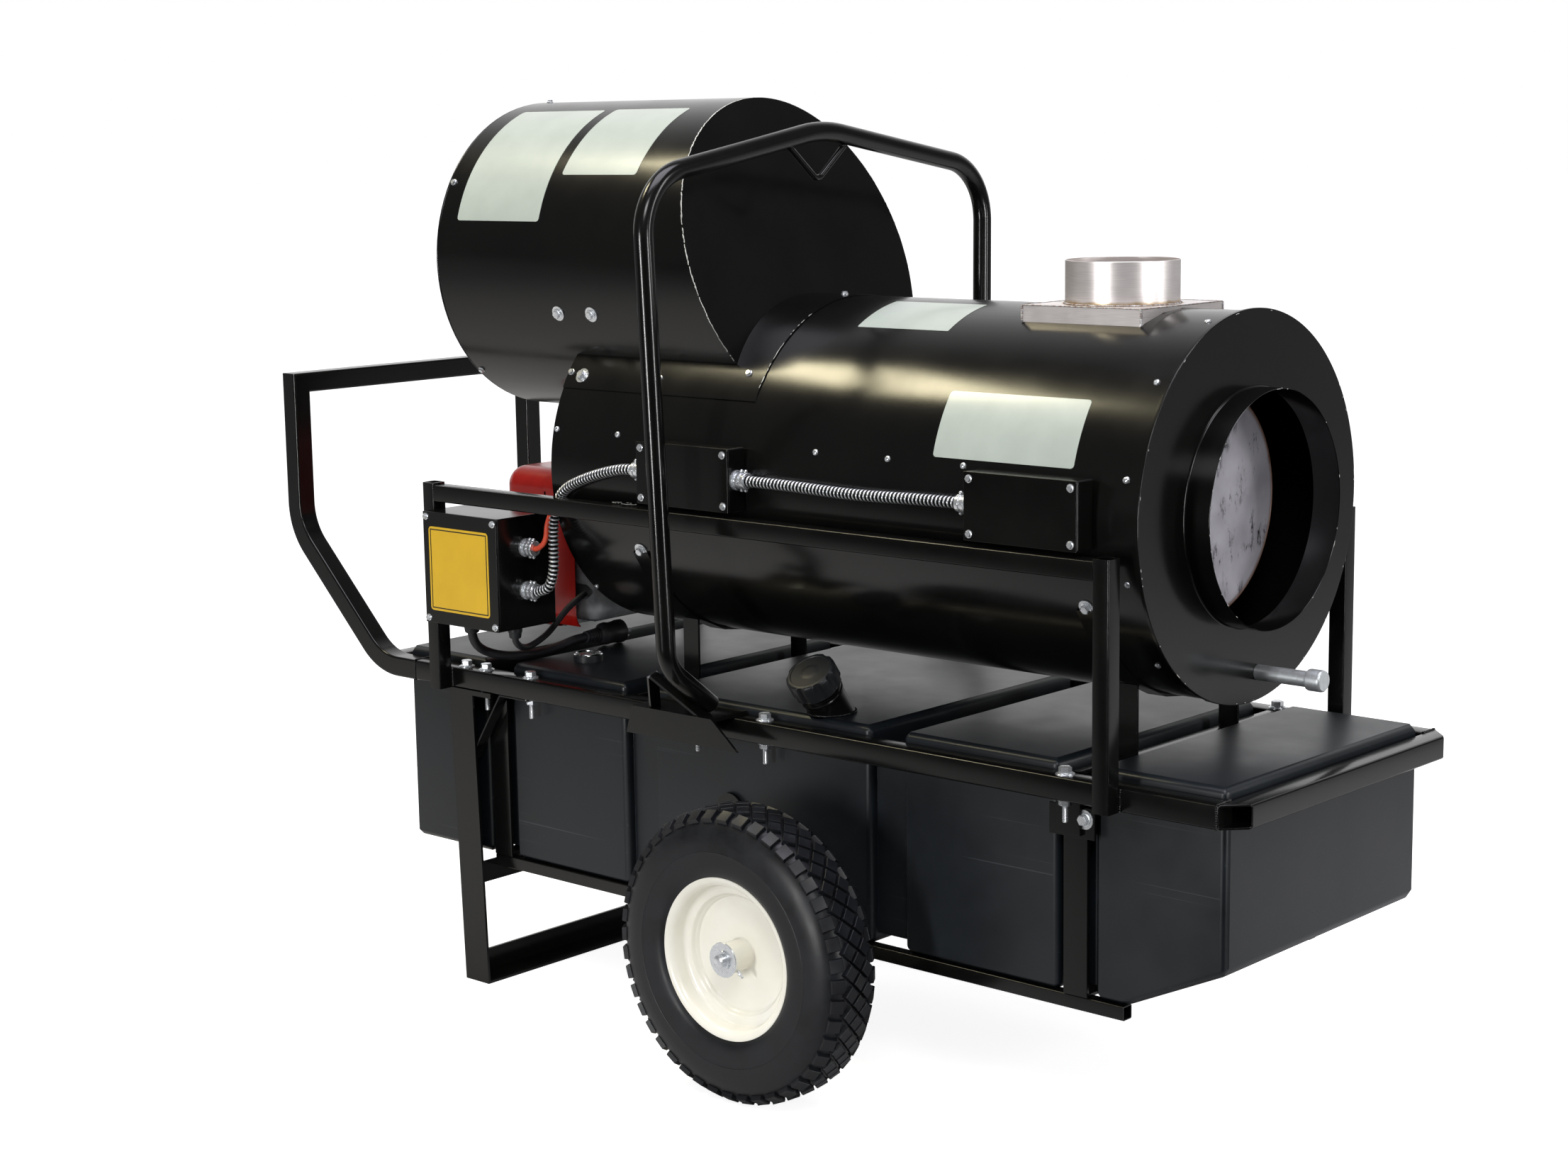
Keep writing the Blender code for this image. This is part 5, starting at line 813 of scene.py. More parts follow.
def plug_blades():
    """Two flat blades with rounded corners, and the round earth pin."""
    total = PLUG_RELIEF + PLUG_LENGTH
    side = PLUG_ALONG.cross(UP).normalized()
    face = PLUG_START + PLUG_ALONG * total
    start, end = 0.01, 0.01 + 6.4 * MM
    section = rounded([(start, -0.75 * MM), (end, -0.75 * MM), (end, 0.75 * MM), (start, 0.75 * MM)],
                      0.5 * MM)
    flats = []
    for sign in (-1, 1):
        middle = face + side * sign * 6.35 * MM
        flats.append(sweep([middle - PLUG_ALONG * MM, middle + PLUG_ALONG * BLADE_LENGTH], section,
                           0.01 + 3.2 * MM, up=side))
    pin = lathe([(0, -MM), (2.4 * MM, -MM), (2.4 * MM, BLADE_LENGTH - 2 * MM), (1.2 * MM, BLADE_LENGTH),
                 (0, BLADE_LENGTH)], face - UP * 10.2 * MM, PLUG_ALONG, 24, closed=False)
    return together(*flats, pin)


cord = cord_piece()
plug = shaped("power_plug_body", lathe(plug_profile(), PLUG_START, PLUG_ALONG, 48, closed=False), CABLE,
              stands_for=["power_plug"])
blades = shaped("power_plug_blades", plug_blades(), ZINC)
print(f"power cord {path_length(cord_line):.3f} m")

# %% [markdown]
# ## Bent, folded and cast solids
# These solids have their true shape already, apart from edges that are too sharp for the real
# thing. Each is copied, its flat faces are joined, and its edges get the small radius that a
# press, a saw or a mould leaves. Weighted normals keep the flats flat in reflections.

# %% Softened copies of the solids
def plain_copy(node):
    """A solid's mesh with its corners merged and its flat faces joined."""
    bm = bmesh.new()
    bm.from_mesh(NODES[node].data)
    bmesh.ops.remove_doubles(bm, verts=bm.verts, dist=0.01 * MM)
    bmesh.ops.dissolve_limit(bm, angle_limit=math.radians(0.5), verts=bm.verts, edges=bm.edges)
    return bm


def soften(node, width, material, segments=2, body="heater"):
    data = as_data(node + "_finished", plain_copy(node), material)
    data.set_sharp_from_angle(angle=math.pi)
    obj = temporary(data)
    edge = obj.modifiers.new("edge", "BEVEL")
    edge.limit_method, edge.angle_limit = "ANGLE", math.radians(50)
    edge.width, edge.segments, edge.use_clamp_overlap = width, segments, True
    return piece(node + "_finished", settled(obj), body, stands_for=[node])


TUBE_EDGE, SHEET_EDGE = 0.8 * MM, 0.5 * MM
for node in ("base_rail_near", "base_rail_far", "bumper_tube", "rear_cross_tube", "side_frame_near",
             "side_frame_far", "lower_rail_near", "lower_rail_far", "shell_cradle_rear",
             "shell_cradle_front", "stand_frame", "stand_brace_near", "stand_brace_far",
             "tank_strap_rear", "tank_strap_front", "hoop_foot_near", "hoop_foot_far", "motor_mount"):
    soften(node, TUBE_EDGE, COAT)
soften("fuel_tank", 1.5 * MM, TANK, segments=3)
soften("burner_casting", 1.2 * MM, CAST)
soften("flue_box", SHEET_EDGE, STAINLESS)
soften("fan", SHEET_EDGE, CAST, body="blower_fan")

# %% [markdown]
# ## Push handle
# One length of square tube is bent cold round a 100 mm former on both sides, and its top
# corners are mitred and welded. It is drawn along its centre line with a rounded section.

# %% Push handle
HANDLE_X, HANDLE_FOOT_X, HANDLE_WELD_X = -0.9105, -0.693, -0.606
HANDLE_TOP, HANDLE_BEND = 0.9375, 0.100
TUBE_ROUND = 3.2 * MM


def handle_path():
    x, top, rail_z = HANDLE_X + TUBE / 2, HANDLE_TOP - TUBE / 2, RAIL_TOP - TUBE / 2
    knee = rail_z + (HANDLE_FOOT_X - x)

    def half(sign):
        corners = [(a, sign * RAIL_Y, z) for a, z in
                   ((HANDLE_WELD_X, rail_z), (HANDLE_FOOT_X, rail_z), (x, knee), (x, top))]
        bends = (arc(*corners[i:i + 3], HANDLE_BEND, 12) for i in (0, 1))
        return [corners[0], *[point for bend in bends for point in bend], corners[3]]

    return half(-1) + half(1)[::-1]


section, shift = square_section(TUBE, TUBE_ROUND)
shaped("push_handle_tube", sweep(handle_path(), section, shift), COAT, stands_for=["push_handle"])

# %% [markdown]
# ## Drum, hood and shell
# Rolled sheet, finer than in the solids so that the long highlights run true. The drum is cut
# off by a slanted plate welded inside its edge, and the hood closes the gap down to the shell.

# %% Rolled sheet
FLUE_X, FLUE_R, FLUE_TOP = 0.550, 0.0762, 1.139
PLATE_R = SHELL_R - SHEET - GAP
FACE = SHEET + 4 * MM
PAST = 0.02             # how far a cutter reaches past what it cuts
LIP, AIR_START = 0.014, SHELL_BACK + 0.036     # the opening where the air goes down from the drum


def round_solid(start, end, radius, z):
    return lathe([(0, 0), (radius, 0), (radius, end - start), (0, end - start)], (start, 0, z), (1, 0, 0),
                 closed=False)


def drum_solid(radius, back, beyond=0.0):
    """The drum as a solid, cut off along its slant; `beyond` moves the cut outwards."""
    bm = round_solid(back, DRUM_FRONT + DRUM_SLOPE * 2 * DRUM_R + 0.06, radius, DRUM_Z)
    normal = Vector((1, 0, DRUM_SLOPE)).normalized()
    bmesh.ops.bisect_plane(bm, geom=bm.verts[:] + bm.edges[:] + bm.faces[:], plane_no=normal,
                           plane_co=Vector((DRUM_FRONT, 0, DRUM_Z + DRUM_R)) + normal * beyond,
                           clear_outer=True)
    bmesh.ops.holes_fill(bm, edges=[e for e in bm.edges if e.is_boundary], sides=0)
    return bm


def tube_solid(start, end, outer, inner, z):
    rows = [(inner, 0), (outer, 0), (outer, end - start), (inner, end - start)]
    return lathe(rows, (start, 0, z), (1, 0, 0))


def flue_solid(radius, low, high):
    return lathe([(0, 0), (radius, 0), (radius, high - low), (0, high - low)], (FLUE_X, 0, low), UP, 96,
                 closed=False)


def slab(low, high):
    bm = bmesh.new()
    bmesh.ops.create_cube(bm, size=1)
    bmesh.ops.scale(bm, vec=Vector(high) - Vector(low), verts=bm.verts)
    bmesh.ops.translate(bm, vec=(Vector(low) + Vector(high)) / 2, verts=bm.verts)
    return bm


drum = carve(as_data("blower_drum_sheet", drum_solid(DRUM_R, DRUM_BACK), COAT),
             drum_solid(DRUM_R - SHEET, DRUM_BACK - PAST, -SHEET),
             round_solid(AIR_START, DRUM_FRONT, SHELL_R - LIP, SHELL_Z))
piece("blower_drum_sheet", drum, stands_for=["blower_drum"])

HOOD_R = SHELL_R + GAP + SHEET
hood = as_data("duct_hood_sheet", tube_solid(SHELL_BACK, HOOD_FRONT, HOOD_R, SHELL_R + GAP, SHELL_Z), COAT)
hood = carve(hood, slab((-1, -1, 0), (1, 1, HOOD_LOW)), drum_solid(DRUM_R + GAP, DRUM_BACK - PAST, GAP))
piece("duct_hood_sheet", hood, stands_for=["duct_hood"])

shell = as_data("heater_shell_sheet", tube_solid(SHELL_BACK, SHELL_FRONT, SHELL_R, SHELL_R - SHEET, SHELL_Z),
                COAT)
shell = carve(shell, round_solid(AIR_START, DRUM_FRONT + LIP, DRUM_R - LIP, DRUM_Z),
              flue_solid(FLUE_R + 6 * MM, SHELL_Z + 0.15, SHELL_Z + SHELL_R + PAST))
piece("heater_shell_sheet", shell, stands_for=["heater_shell"])

# %% [markdown]
# ## End plates
# Both are spun discs with a skirt inside the shell. The outlet's has a thin folded rim and a duct
# collar turned out of it; the exchanger's round end stands inside the collar.

# %% End plates and the exchanger's end
COLLAR_R, COLLAR_LENGTH, EXCHANGER_FRONT = 0.157, 0.043, 0.692
BLAST_Z, BLAST_R, BLAST_WALL, BLAST_LENGTH = 0.740, 0.050, 2 * MM, 0.23
SKIRT = 22 * MM             # how far both plates reach inside the shell


def outlet_profile():
    """From the skirt over the thin rim, across the flat face and out along the collar."""
    rim, fold, edge = SHELL_R + 4 * MM, 2.5 * MM, 1.0 * MM
    lip, inner, back = COLLAR_R - SHEET, PLATE_R - SHEET, FACE - SHEET - MM
    rows = [(PLATE_R, -SKIRT), (PLATE_R, GAP), (rim - 0.5 * MM, GAP), (rim, GAP + 0.5 * MM),
            (rim, FACE - edge)]
    rows += [(rim - edge * (1 - math.cos(a)), FACE - edge * (1 - math.sin(a)))
             for a in (math.pi / 2 * i / 4 for i in range(1, 5))]
    rows += [(COLLAR_R + fold * (1 - math.sin(a)), FACE + fold * (1 - math.cos(a)))
             for a in (math.pi / 2 * i / 6 for i in range(7))]
    rows += [(COLLAR_R, COLLAR_LENGTH - MM), (COLLAR_R - 0.75 * MM, COLLAR_LENGTH), (lip, COLLAR_LENGTH - MM)]
    return rows + [(lip, back), (inner, back), (inner, -SKIRT)]


shaped("outlet_plate_spun", lathe(outlet_profile(), (SHELL_FRONT, 0, SHELL_Z), (1, 0, 0)), COAT,
       stands_for=["outlet_plate"])

rows = [(0, 0), (PLATE_R - 3 * MM, 0), (PLATE_R - 0.8 * MM, 0.8 * MM), (PLATE_R, 3 * MM), (PLATE_R, SKIRT),
        (PLATE_R - SHEET, SKIRT), (PLATE_R - SHEET, 3 * MM), (PLATE_R - 4 * MM, SHEET), (0, SHEET)]
rear = as_data("rear_plate_spun", lathe(rows, (SHELL_BACK, 0, SHELL_Z), (1, 0, 0), closed=False), COAT)
rear = carve(rear, round_solid(SHELL_BACK - PAST, SHELL_BACK + PAST, BLAST_R + GAP, BLAST_Z))
piece("rear_plate_spun", rear, stands_for=["rear_plate"])

depth = EXCHANGER_FRONT - SHELL_BACK - SHEET - GAP
rows = [(0, depth)]
rows += [(EXCHANGER_R - inwards * MM, depth - drop * MM) for inwards, drop in
         ((5, 0), (3.4, 0.9), (2.6, 0.2), (1.0, 0.6), (0, 2.5))]
rows += [(EXCHANGER_R, 0), (EXCHANGER_R - SHEET, 0), (EXCHANGER_R - SHEET, depth - 6 * MM),
         (0, depth - 6 * MM)]
shaped("heat_exchanger_drum", lathe(rows, (SHELL_BACK + SHEET + GAP, 0, SHELL_Z), (1, 0, 0), closed=False),
       MILL_STEEL, stands_for=["heat_exchanger"])

rows = [(BLAST_R - BLAST_WALL, 0), (BLAST_R, 0), (BLAST_R, BLAST_LENGTH),
        (BLAST_R - BLAST_WALL, BLAST_LENGTH)]
shaped("blast_tube_steel", lathe(rows, (SHELL_BACK, 0, BLAST_Z), (1, 0, 0), 64), STAINLESS,
       stands_for=["blast_tube"])

STUB_FOOT, STUB_WALL = 0.9553, 1.2 * MM
rows = [(FLUE_R - STUB_WALL, 0), (FLUE_R, 0), (FLUE_R, FLUE_TOP - STUB_FOOT - 0.5 * MM),
        (FLUE_R - STUB_WALL / 2, FLUE_TOP - STUB_FOOT), (FLUE_R - STUB_WALL, FLUE_TOP - STUB_FOOT - 0.5 * MM)]
stub = as_data("flue_stub_steel", lathe(rows, (FLUE_X, 0, STUB_FOOT), UP, 96), STAINLESS)
stub = carve(stub, round_solid(FLUE_X - 0.1, FLUE_X + 0.1, EXCHANGER_R + GAP, SHELL_Z))
piece("flue_stub_steel", stub, stands_for=["flue_stub"])

PIPE_AT = (0.7548, 0.019, 0.603)
rows = mm((0, 100), (12.5, 100), (14.0, 98.6), (14.5, 96), (14.5, 80), (14.0, 78), (11.6, 78), (11.6, 76),
          (10.5, 75), (10.5, 0), (8.0, 0), (8.0, 95), (0, 95))
GALVANISED = zinc("galvanised_pipe", "#d2d6d6", 0.42)
shaped("clean_out_pipe_steel", lathe(rows, PIPE_AT, (1, 0, 0), 48, closed=False), GALVANISED,
       stands_for=["clean_out_pipe"])

# %% [markdown]
# ## Lifting hoop
# Round tube bent in one plane that leans back, with a rod bent to a V welded under its top.

# %% Lifting hoop
HOOP_R, HOOP_TOP = 0.014, 1.3145
LOW_X, HIGH_X = 0.0367, 0.0243          # the hoop leans back between its feet and its top
HOOP_FOOT, HOOP_KNEE, HOOP_SHOULDER = (0.270, 0.5145), (0.3545, 0.580), (0.3745, 1.250)
KNEE_BEND, SHOULDER_BEND, TOP_BEND = 0.060, 0.090, 0.240
FOOT_PLANE = RAIL_TOP + 4 * MM + 2 * GAP
EYE_Y, EYE_HALF, EYE_DEEP, EYE_BEND, ROD_R = -0.012, 0.059, 0.048, 0.0135, 0.0045


def hoop_at(y, z):
    """A spot in the hoop's own leaning plane."""
    lean = (LOW_X - HIGH_X) / (HOOP_TOP - RAIL_TOP)
    return Vector((LOW_X - lean * (z - RAIL_TOP), y, z))


def hoop_path():
    def half(sign):
        foot, knee, shoulder = (hoop_at(sign * y, z) for y, z in (HOOP_FOOT, HOOP_KNEE, HOOP_SHOULDER))
        apex = hoop_at(0, HOOP_TOP)
        return [foot, *arc(foot, knee, shoulder, KNEE_BEND, 10),
                *arc(knee, shoulder, apex, SHOULDER_BEND, 16)]

    near, far = half(-1), half(1)
    return near + arc(near[-1], hoop_at(0, HOOP_TOP), far[-1], TOP_BEND, 8) + far[::-1]


hoop = as_data("lifting_hoop_tube", sweep(hoop_path(), circle(HOOP_R)), COAT)
hoop = carve(hoop, slab((-1, -1, 0.3), (1, 1, FOOT_PLANE)))
piece("lifting_hoop_tube", hoop, stands_for=["lifting_hoop"])
top_slope = (HOOP_TOP - 1.236) / HOOP_SHOULDER[0]
eye_top = HOOP_TOP - HOOP_R - EYE_HALF * top_slope + 1.25 * MM
eye = [Vector((HIGH_X, EYE_Y + y, eye_top - drop)) for y, drop in
       ((-EYE_HALF, 0), (0, EYE_DEEP), (EYE_HALF, 0))]
eye = [eye[0], *arc(*eye, EYE_BEND, 10), eye[2]]
shaped("lifting_eye_rod", sweep(eye, circle(ROD_R, 20), up=(1, 0, 0)), COAT)

# %% [markdown]
# ## Inlet guard and motor
# The guard is welded wire: rings on six spokes. The motor is a plain round frame on its shelf.

# %% Guard and motor
GUARD_AT = Vector((DRUM_BACK - 3.5 * MM, 0, DRUM_Z))
GUARD_RINGS, GUARD_SPOKES, FIRST_RING, LAST_RING = 10, 6, 0.030, DRUM_R - 2.5 * MM
MOTOR_X, SHAFT_HOLE = -0.460, 8.2 * MM


def guard_wires():
    parts = []
    for i in range(GUARD_RINGS):
        radius = FIRST_RING + (LAST_RING - FIRST_RING) * i / (GUARD_RINGS - 1)
        parts.append(lathe([(radius + u, v) for u, v in circle(2.0 * MM, 10)], GUARD_AT, (1, 0, 0), 96))
    for i in range(GUARD_SPOKES):
        out = beside_x(math.tau * (i / GUARD_SPOKES + 1 / 48))
        parts.append(sweep([GUARD_AT + out * 0.028, GUARD_AT + out * LAST_RING], circle(2.2 * MM, 12),
                           up=(1, 0, 0)))
    return together(*parts)


guard = guard_wires()
mesh = bpy.data.meshes.new("fan_guard_wires")
guard.to_mesh(mesh)
guard.free()
mesh.materials.append(COAT)
mesh.shade_smooth()
piece("fan_guard_wires", mesh, stands_for=["fan_guard"])
rows = mm((0, 0), (40, 0), (62, 4), (68, 9), (70, 14), (70, 136), (68, 141), (62, 146), (40, 150), (0, 150))
motor = as_data("fan_motor_frame", lathe(rows, (MOTOR_X, 0, DRUM_Z), (1, 0, 0), 64, closed=False), COAT)
motor = carve(motor, round_solid(MOTOR_X - 0.01, MOTOR_X + 0.06, SHAFT_HOLE, DRUM_Z))
piece("fan_motor_frame", motor, stands_for=["fan_motor"])

# %% [markdown]
# ## Burner
# A die-pressed red hood with generous corners sits on the cast fan housing.

# %% Burner cover
BURNER_LOW, BURNER_HIGH, BURNER_ROUND = (-0.555, -0.120, 0.545), (-0.4583, 0.120, 0.797), 0.030
LAP_END, LAP_LOW = -0.3925, 0.5535


def rounded_along_x(bm, *edges):
    """Rounds a box's edges that run along X, and any others that are given."""
    along = [e for e in bm.edges if abs(e.verts[0].co.x - e.verts[1].co.x) > 0.05]
    bmesh.ops.bevel(bm, geom=[*edges, *along], offset=BURNER_ROUND, segments=10, affect="EDGES", profile=0.5)


def burner_hood():
    bm = slab(BURNER_LOW, BURNER_HIGH)
    rounded_along_x(bm, *[e for e in bm.edges if all(v.co.x < BURNER_LOW[0] + MM for v in e.verts)])
    mouth = [f for f in bm.faces if f.calc_center_median().x > BURNER_HIGH[0] - 0.1 * MM]
    bmesh.ops.delete(bm, geom=mouth, context="FACES")
    return bm


def burner_lap():
    """The cover's front lap, open below for the cord, over the casting's sides and top."""
    bm = slab((BURNER_HIGH[0] + GAP, *BURNER_LOW[1:]), (LAP_END, *BURNER_HIGH[1:]))
    rounded_along_x(bm)
    bmesh.ops.delete(bm, geom=[f for f in bm.faces if abs(f.normal.x) > 0.9], context="FACES")
    bmesh.ops.bisect_plane(bm, geom=bm.verts[:] + bm.edges[:] + bm.faces[:], plane_co=(0, 0, LAP_LOW),
                           plane_no=(0, 0, -1), clear_outer=True)
    return bm


for name, bm, nodes in (("burner_cover_pressing", burner_hood(), ["burner_cover"]),
                        ("burner_cover_lap", burner_lap(), [])):
    obj = temporary(as_data(name, bm, RED))
    wall = obj.modifiers.new("wall", "SOLIDIFY")
    wall.thickness, wall.offset = 1.5 * MM, -1.0
    piece(name, settled(obj), stands_for=nodes)

# %% [markdown]
# ## Boxes, fittings and covers
# Folded steel boxes hold the switchgear, each with a flat lid on four screws. Hoses enter them
# through zinc fittings: a locknut, a barrel and a clamp with two screws.

# %% Boxes
def rounded_box(low, high, radius, segments=3):
    bm = slab(low, high)
    bmesh.ops.bevel(bm, geom=bm.edges[:], offset=radius, segments=segments, affect="EDGES", profile=0.5)
    return bm


CONTROL_X, CONTROL_Y, CONTROL_Z = (-0.5167, -0.3522), (-0.3152, -0.199), (0.579, 0.750)
JUNCTION_X, JUNCTION_LONG = (-0.0809, 0.5082), 0.177
JUNCTION_Y, JUNCTION_Z = (-0.2882, -0.2543), (0.794, 0.883)
COVER_Y, LID_Y = -0.317, -0.290         # the outer faces of the covers
BOX_ROUND, LID_ROUND = 2.2 * MM, 0.6 * MM


def folded_box(name, x, y, z, radius):
    shaped(name + "_folded", rounded_box(*zip(x, y, z), radius), COAT, stands_for=[name])


folded_box("control_box", CONTROL_X, CONTROL_Y, CONTROL_Z, BOX_ROUND)
folded_box("control_box_cover", CONTROL_X, (COVER_Y, COVER_Y + SHEET), CONTROL_Z, LID_ROUND)
for number, start in enumerate(JUNCTION_X, 1):
    span = (start, start + JUNCTION_LONG)
    folded_box(f"junction_box_{number}", span, JUNCTION_Y, JUNCTION_Z, BOX_ROUND)
    folded_box(f"junction_box_{number}_cover", span, (LID_Y, LID_Y + SHEET), JUNCTION_Z, LID_ROUND)

FITTINGS = {"control_low": ((-0.3522, -0.2586, 0.6364), (1, 0, 0)),
            "control_high": ((-0.3522, -0.2586, 0.7014), (1, 0, 0)),
            "box_1_back": ((-0.0809, -0.272, 0.8385), (-1, 0, 0)),
            "box_1_front": ((0.0961, -0.272, 0.8385), (1, 0, 0)),
            "box_2_back": ((0.5082, -0.272, 0.8385), (-1, 0, 0))}


def fitting_profile(bore):
    rows = mm((bore, 0), (14.2, 0), (14.2, 4), (10.2, 4.2), (10.2, 6.6), (11.8, 7.0), (11.8, 12.6),
              (10.4, 13.2), (10.4, 15.2), (11.8, 15.8), (11.8, 21), (10.8, 22), (bore, 22))
    return rounded(rows, 0.6 * MM, 2)


for name, (at, along) in FITTINGS.items():
    bore = 4.4 if name == "control_high" else 7.6
    shaped(name + "_fitting", lathe(fitting_profile(bore), at, along, 36), ZINC)

rows = rounded(mm((7.2, 0), (13.4, 0), (13.4, 6), (12, 7), (11, 14), (9, 16), (7.2, 16)), 0.8 * MM, 2)
shaped("cord_gland_nut", lathe(rows, (-0.4547, -0.280, 0.579), -UP, 36), PLASTIC, stands_for=["cord_gland"])
rows = [(5.2 * MM if r < 8 * MM else r * 0.82, h) for r, h in rows]
shaped("lead_gland_nut", lathe(rows, (-0.366, -0.272, 0.579), -UP, 36), PLASTIC)

# %% [markdown]
# ## Hoses and leads
# The hoses are wound from zinc strip. The real ribs are 4.7 mm apart; they are drawn 6.4 mm apart,
# because the finer ones run together at the size of the picture. The orange and black leads are
# plain PVC. All follow the routes of the solids.

# %% Hoses and leads
def fitting_points(name, *steps):
    at, along = (Vector(v) for v in FITTINGS[name])
    return [at + along * step for step in steps]


BURNER_ROUTE = mm((-321.8, -259.0, 638.5), (-301.0, -259.5, 648.0), (-289.8, -260.0, 676.0),
                  (-288.0, -260.2, 720.9), (-285.2, -260.2, 749.8), (-274.5, -260.2, 780.3),
                  (-253.0, -263.5, 799.0), (-219.0, -267.0, 813.5), (-172.0, -270.5, 827.8),
                  (-130.0, -271.8, 836.8))
SHELL_ROUTE = mm((200, -272.2, 837.8), (310, -273.0, 835.5), (420, -272.2, 837.8))
FAN_ROUTE = mm((-323.5, -258.6, 703), (-312, -258.4, 711), (-306, -258.0, 723), (-303, -256, 745),
               (-302, -230, 790), (-306, -195, 835), (-312, -160, 870))
SUPPLY_ROUTE = mm((-366, -272, 576), (-366, -272, 566), (-366.4, -270.5, 557), (-371, -255, 546.5),
                  (-378, -230, 544), (-381.2, -190, 558), (-382.8, -148, 588), (-382.8, -108.6, 608))
HOSE_R, RIB_PITCH, RIB_DEPTH = 8 * MM, 6.4 * MM, 2.3 * MM
IN_FITTING = (6 * MM, 14 * MM, 22 * MM)


def hose(name, start, route, end, stands_for):
    whole = fitting_points(start, *IN_FITTING) + route + fitting_points(end, *IN_FITTING[::-1])
    mesh = grown(name, SWELLING, line_mesh(name, smooth_path(whole, 4 * MM)), Radius=HOSE_R, Pitch=RIB_PITCH,
                 Depth=RIB_DEPTH, Unevenness=0.0, Step=RIB_PITCH / 8, Seed=1.0, Finish=HOSE)
    piece(name, mesh, stands_for=stands_for)


def plain_lead(name, route, radius, material, stands_for):
    shaped(name, sweep(smooth_path(route, 4 * MM), circle(radius, 20)), material, stands_for=stands_for)


hose("burner_hose", "control_low", BURNER_ROUTE, "box_1_back", ["conduit_1"])
hose("shell_hose", "box_1_front", SHELL_ROUTE, "box_2_back", ["conduit_2"])
plain_lead("fan_lead", fitting_points("control_high", 4 * MM, 12 * MM, 22 * MM) + FAN_ROUTE, 4 * MM, ORANGE,
           ["fan_cable"])
plain_lead("burner_supply_lead", SUPPLY_ROUTE, 5 * MM, CABLE, ["burner_lead"])

# %% [markdown]
# ## Wheels
# The tyre is a moulded casing with three rows of diamond blocks and square shoulder blocks.
# The rim is pressed in steps down to a flat disc, with a hub barrel welded through it.

# %% Tyres
BLOCKS = 44             # in each row round the tyre
CROWN_R = 0.2012
CASING = mm((104.0, 34), (108.5, 38.4), (114.2, 41.8), (117, 45.2), (123, 47.6), (131, 49.0), (143, 49.8),
            (149.0, 49.9), (149.8, 50.5), (150.6, 49.9), (160, 49.5), (171, 47.9), (181, 44.6), (189, 40.0),
            (195, 34.2), (198.8, 27), (200.7, 17))
# Each row of blocks: radius, place across, lean and turn in degrees, and shift in parts of a block.
DIAMONDS = [(CROWN_R - 0.4 * MM, 0, 0, 0, 45), (CROWN_R - 0.9 * MM, 15.2 * MM, 3, 0.5, 45),
            (CROWN_R - 0.9 * MM, -15.2 * MM, -3, 0.5, 45)]
SHOULDERS = [(0.1952, 33.6 * MM, 34, 0, 0), (0.1952, -33.6 * MM, -34, 0, 0)]
WHEELS = [(side, sign, "wheel_" + side, Vector((WHEEL_X, sign * WHEEL_Y, TYRE_R)))
          for side, sign in (("near", -1), ("far", 1))]


def block_shape(name, side, top, height):
    """A block with drafted sides, a small chamfer and a dimpled face."""
    bm = bmesh.new()
    rows = ((side, -1.5 * MM), (top + 0.6 * MM, height - 0.7 * MM), (top - 0.6 * MM, height))
    rings = [[bm.verts.new((sx * w / 2, sy * w / 2, z)) for sx, sy in ((-1, -1), (1, -1), (1, 1), (-1, 1))]
             for w, z in rows]
    for low, high in zip(rings, rings[1:]):
        for i in range(4):
            bm.faces.new((low[i], low[(i + 1) % 4], high[(i + 1) % 4], high[i]))
    crown = bm.faces.new(rings[-1])
    bm.faces.new(rings[0][::-1])
    centre = bmesh.ops.poke(bm, faces=[crown])["verts"][0]
    centre.co.z -= 0.9 * MM
    return as_data(name, bm, TYRE)


def tread_spots(middle, rows):
    """Places round the tyre, with the way that each block faces and lies."""
    spots = []
    for radius, across, lean, shift, turn in rows:
        for i in range(BLOCKS):
            around = math.tau * (i + shift) / BLOCKS
            out = Vector((math.sin(around), 0, math.cos(around)))
            ahead = Vector((math.cos(around), 0, -math.sin(around)))
            leaned = math.radians(lean)
            facing = out * math.cos(leaned) + Vector((0, math.sin(leaned), 0))
            along = Matrix.Rotation(math.radians(turn), 3, facing) @ ahead
            spots.append((middle + out * radius + Vector((0, across, 0)), facing, along))
    return spots


for side, sign, body, middle in WHEELS:
    section = [(r, -h) for r, h in CASING] + [(CROWN_R, 0)] + CASING[::-1]
    shaped("tyre_casing_" + side, lathe(section, middle, (0, 1, 0)), TYRE, body, stands_for=["tyre_" + side])
    set_out("tread_diamonds_" + side, block_shape("diamond", 18.6 * MM, 16.6 * MM, 6.2 * MM),
            tread_spots(middle, DIAMONDS), TYRE, body)
    set_out("tread_shoulders_" + side, block_shape("shoulder", 19.5 * MM, 17.5 * MM, 5.2 * MM),
            tread_spots(middle, SHOULDERS), TYRE, body)

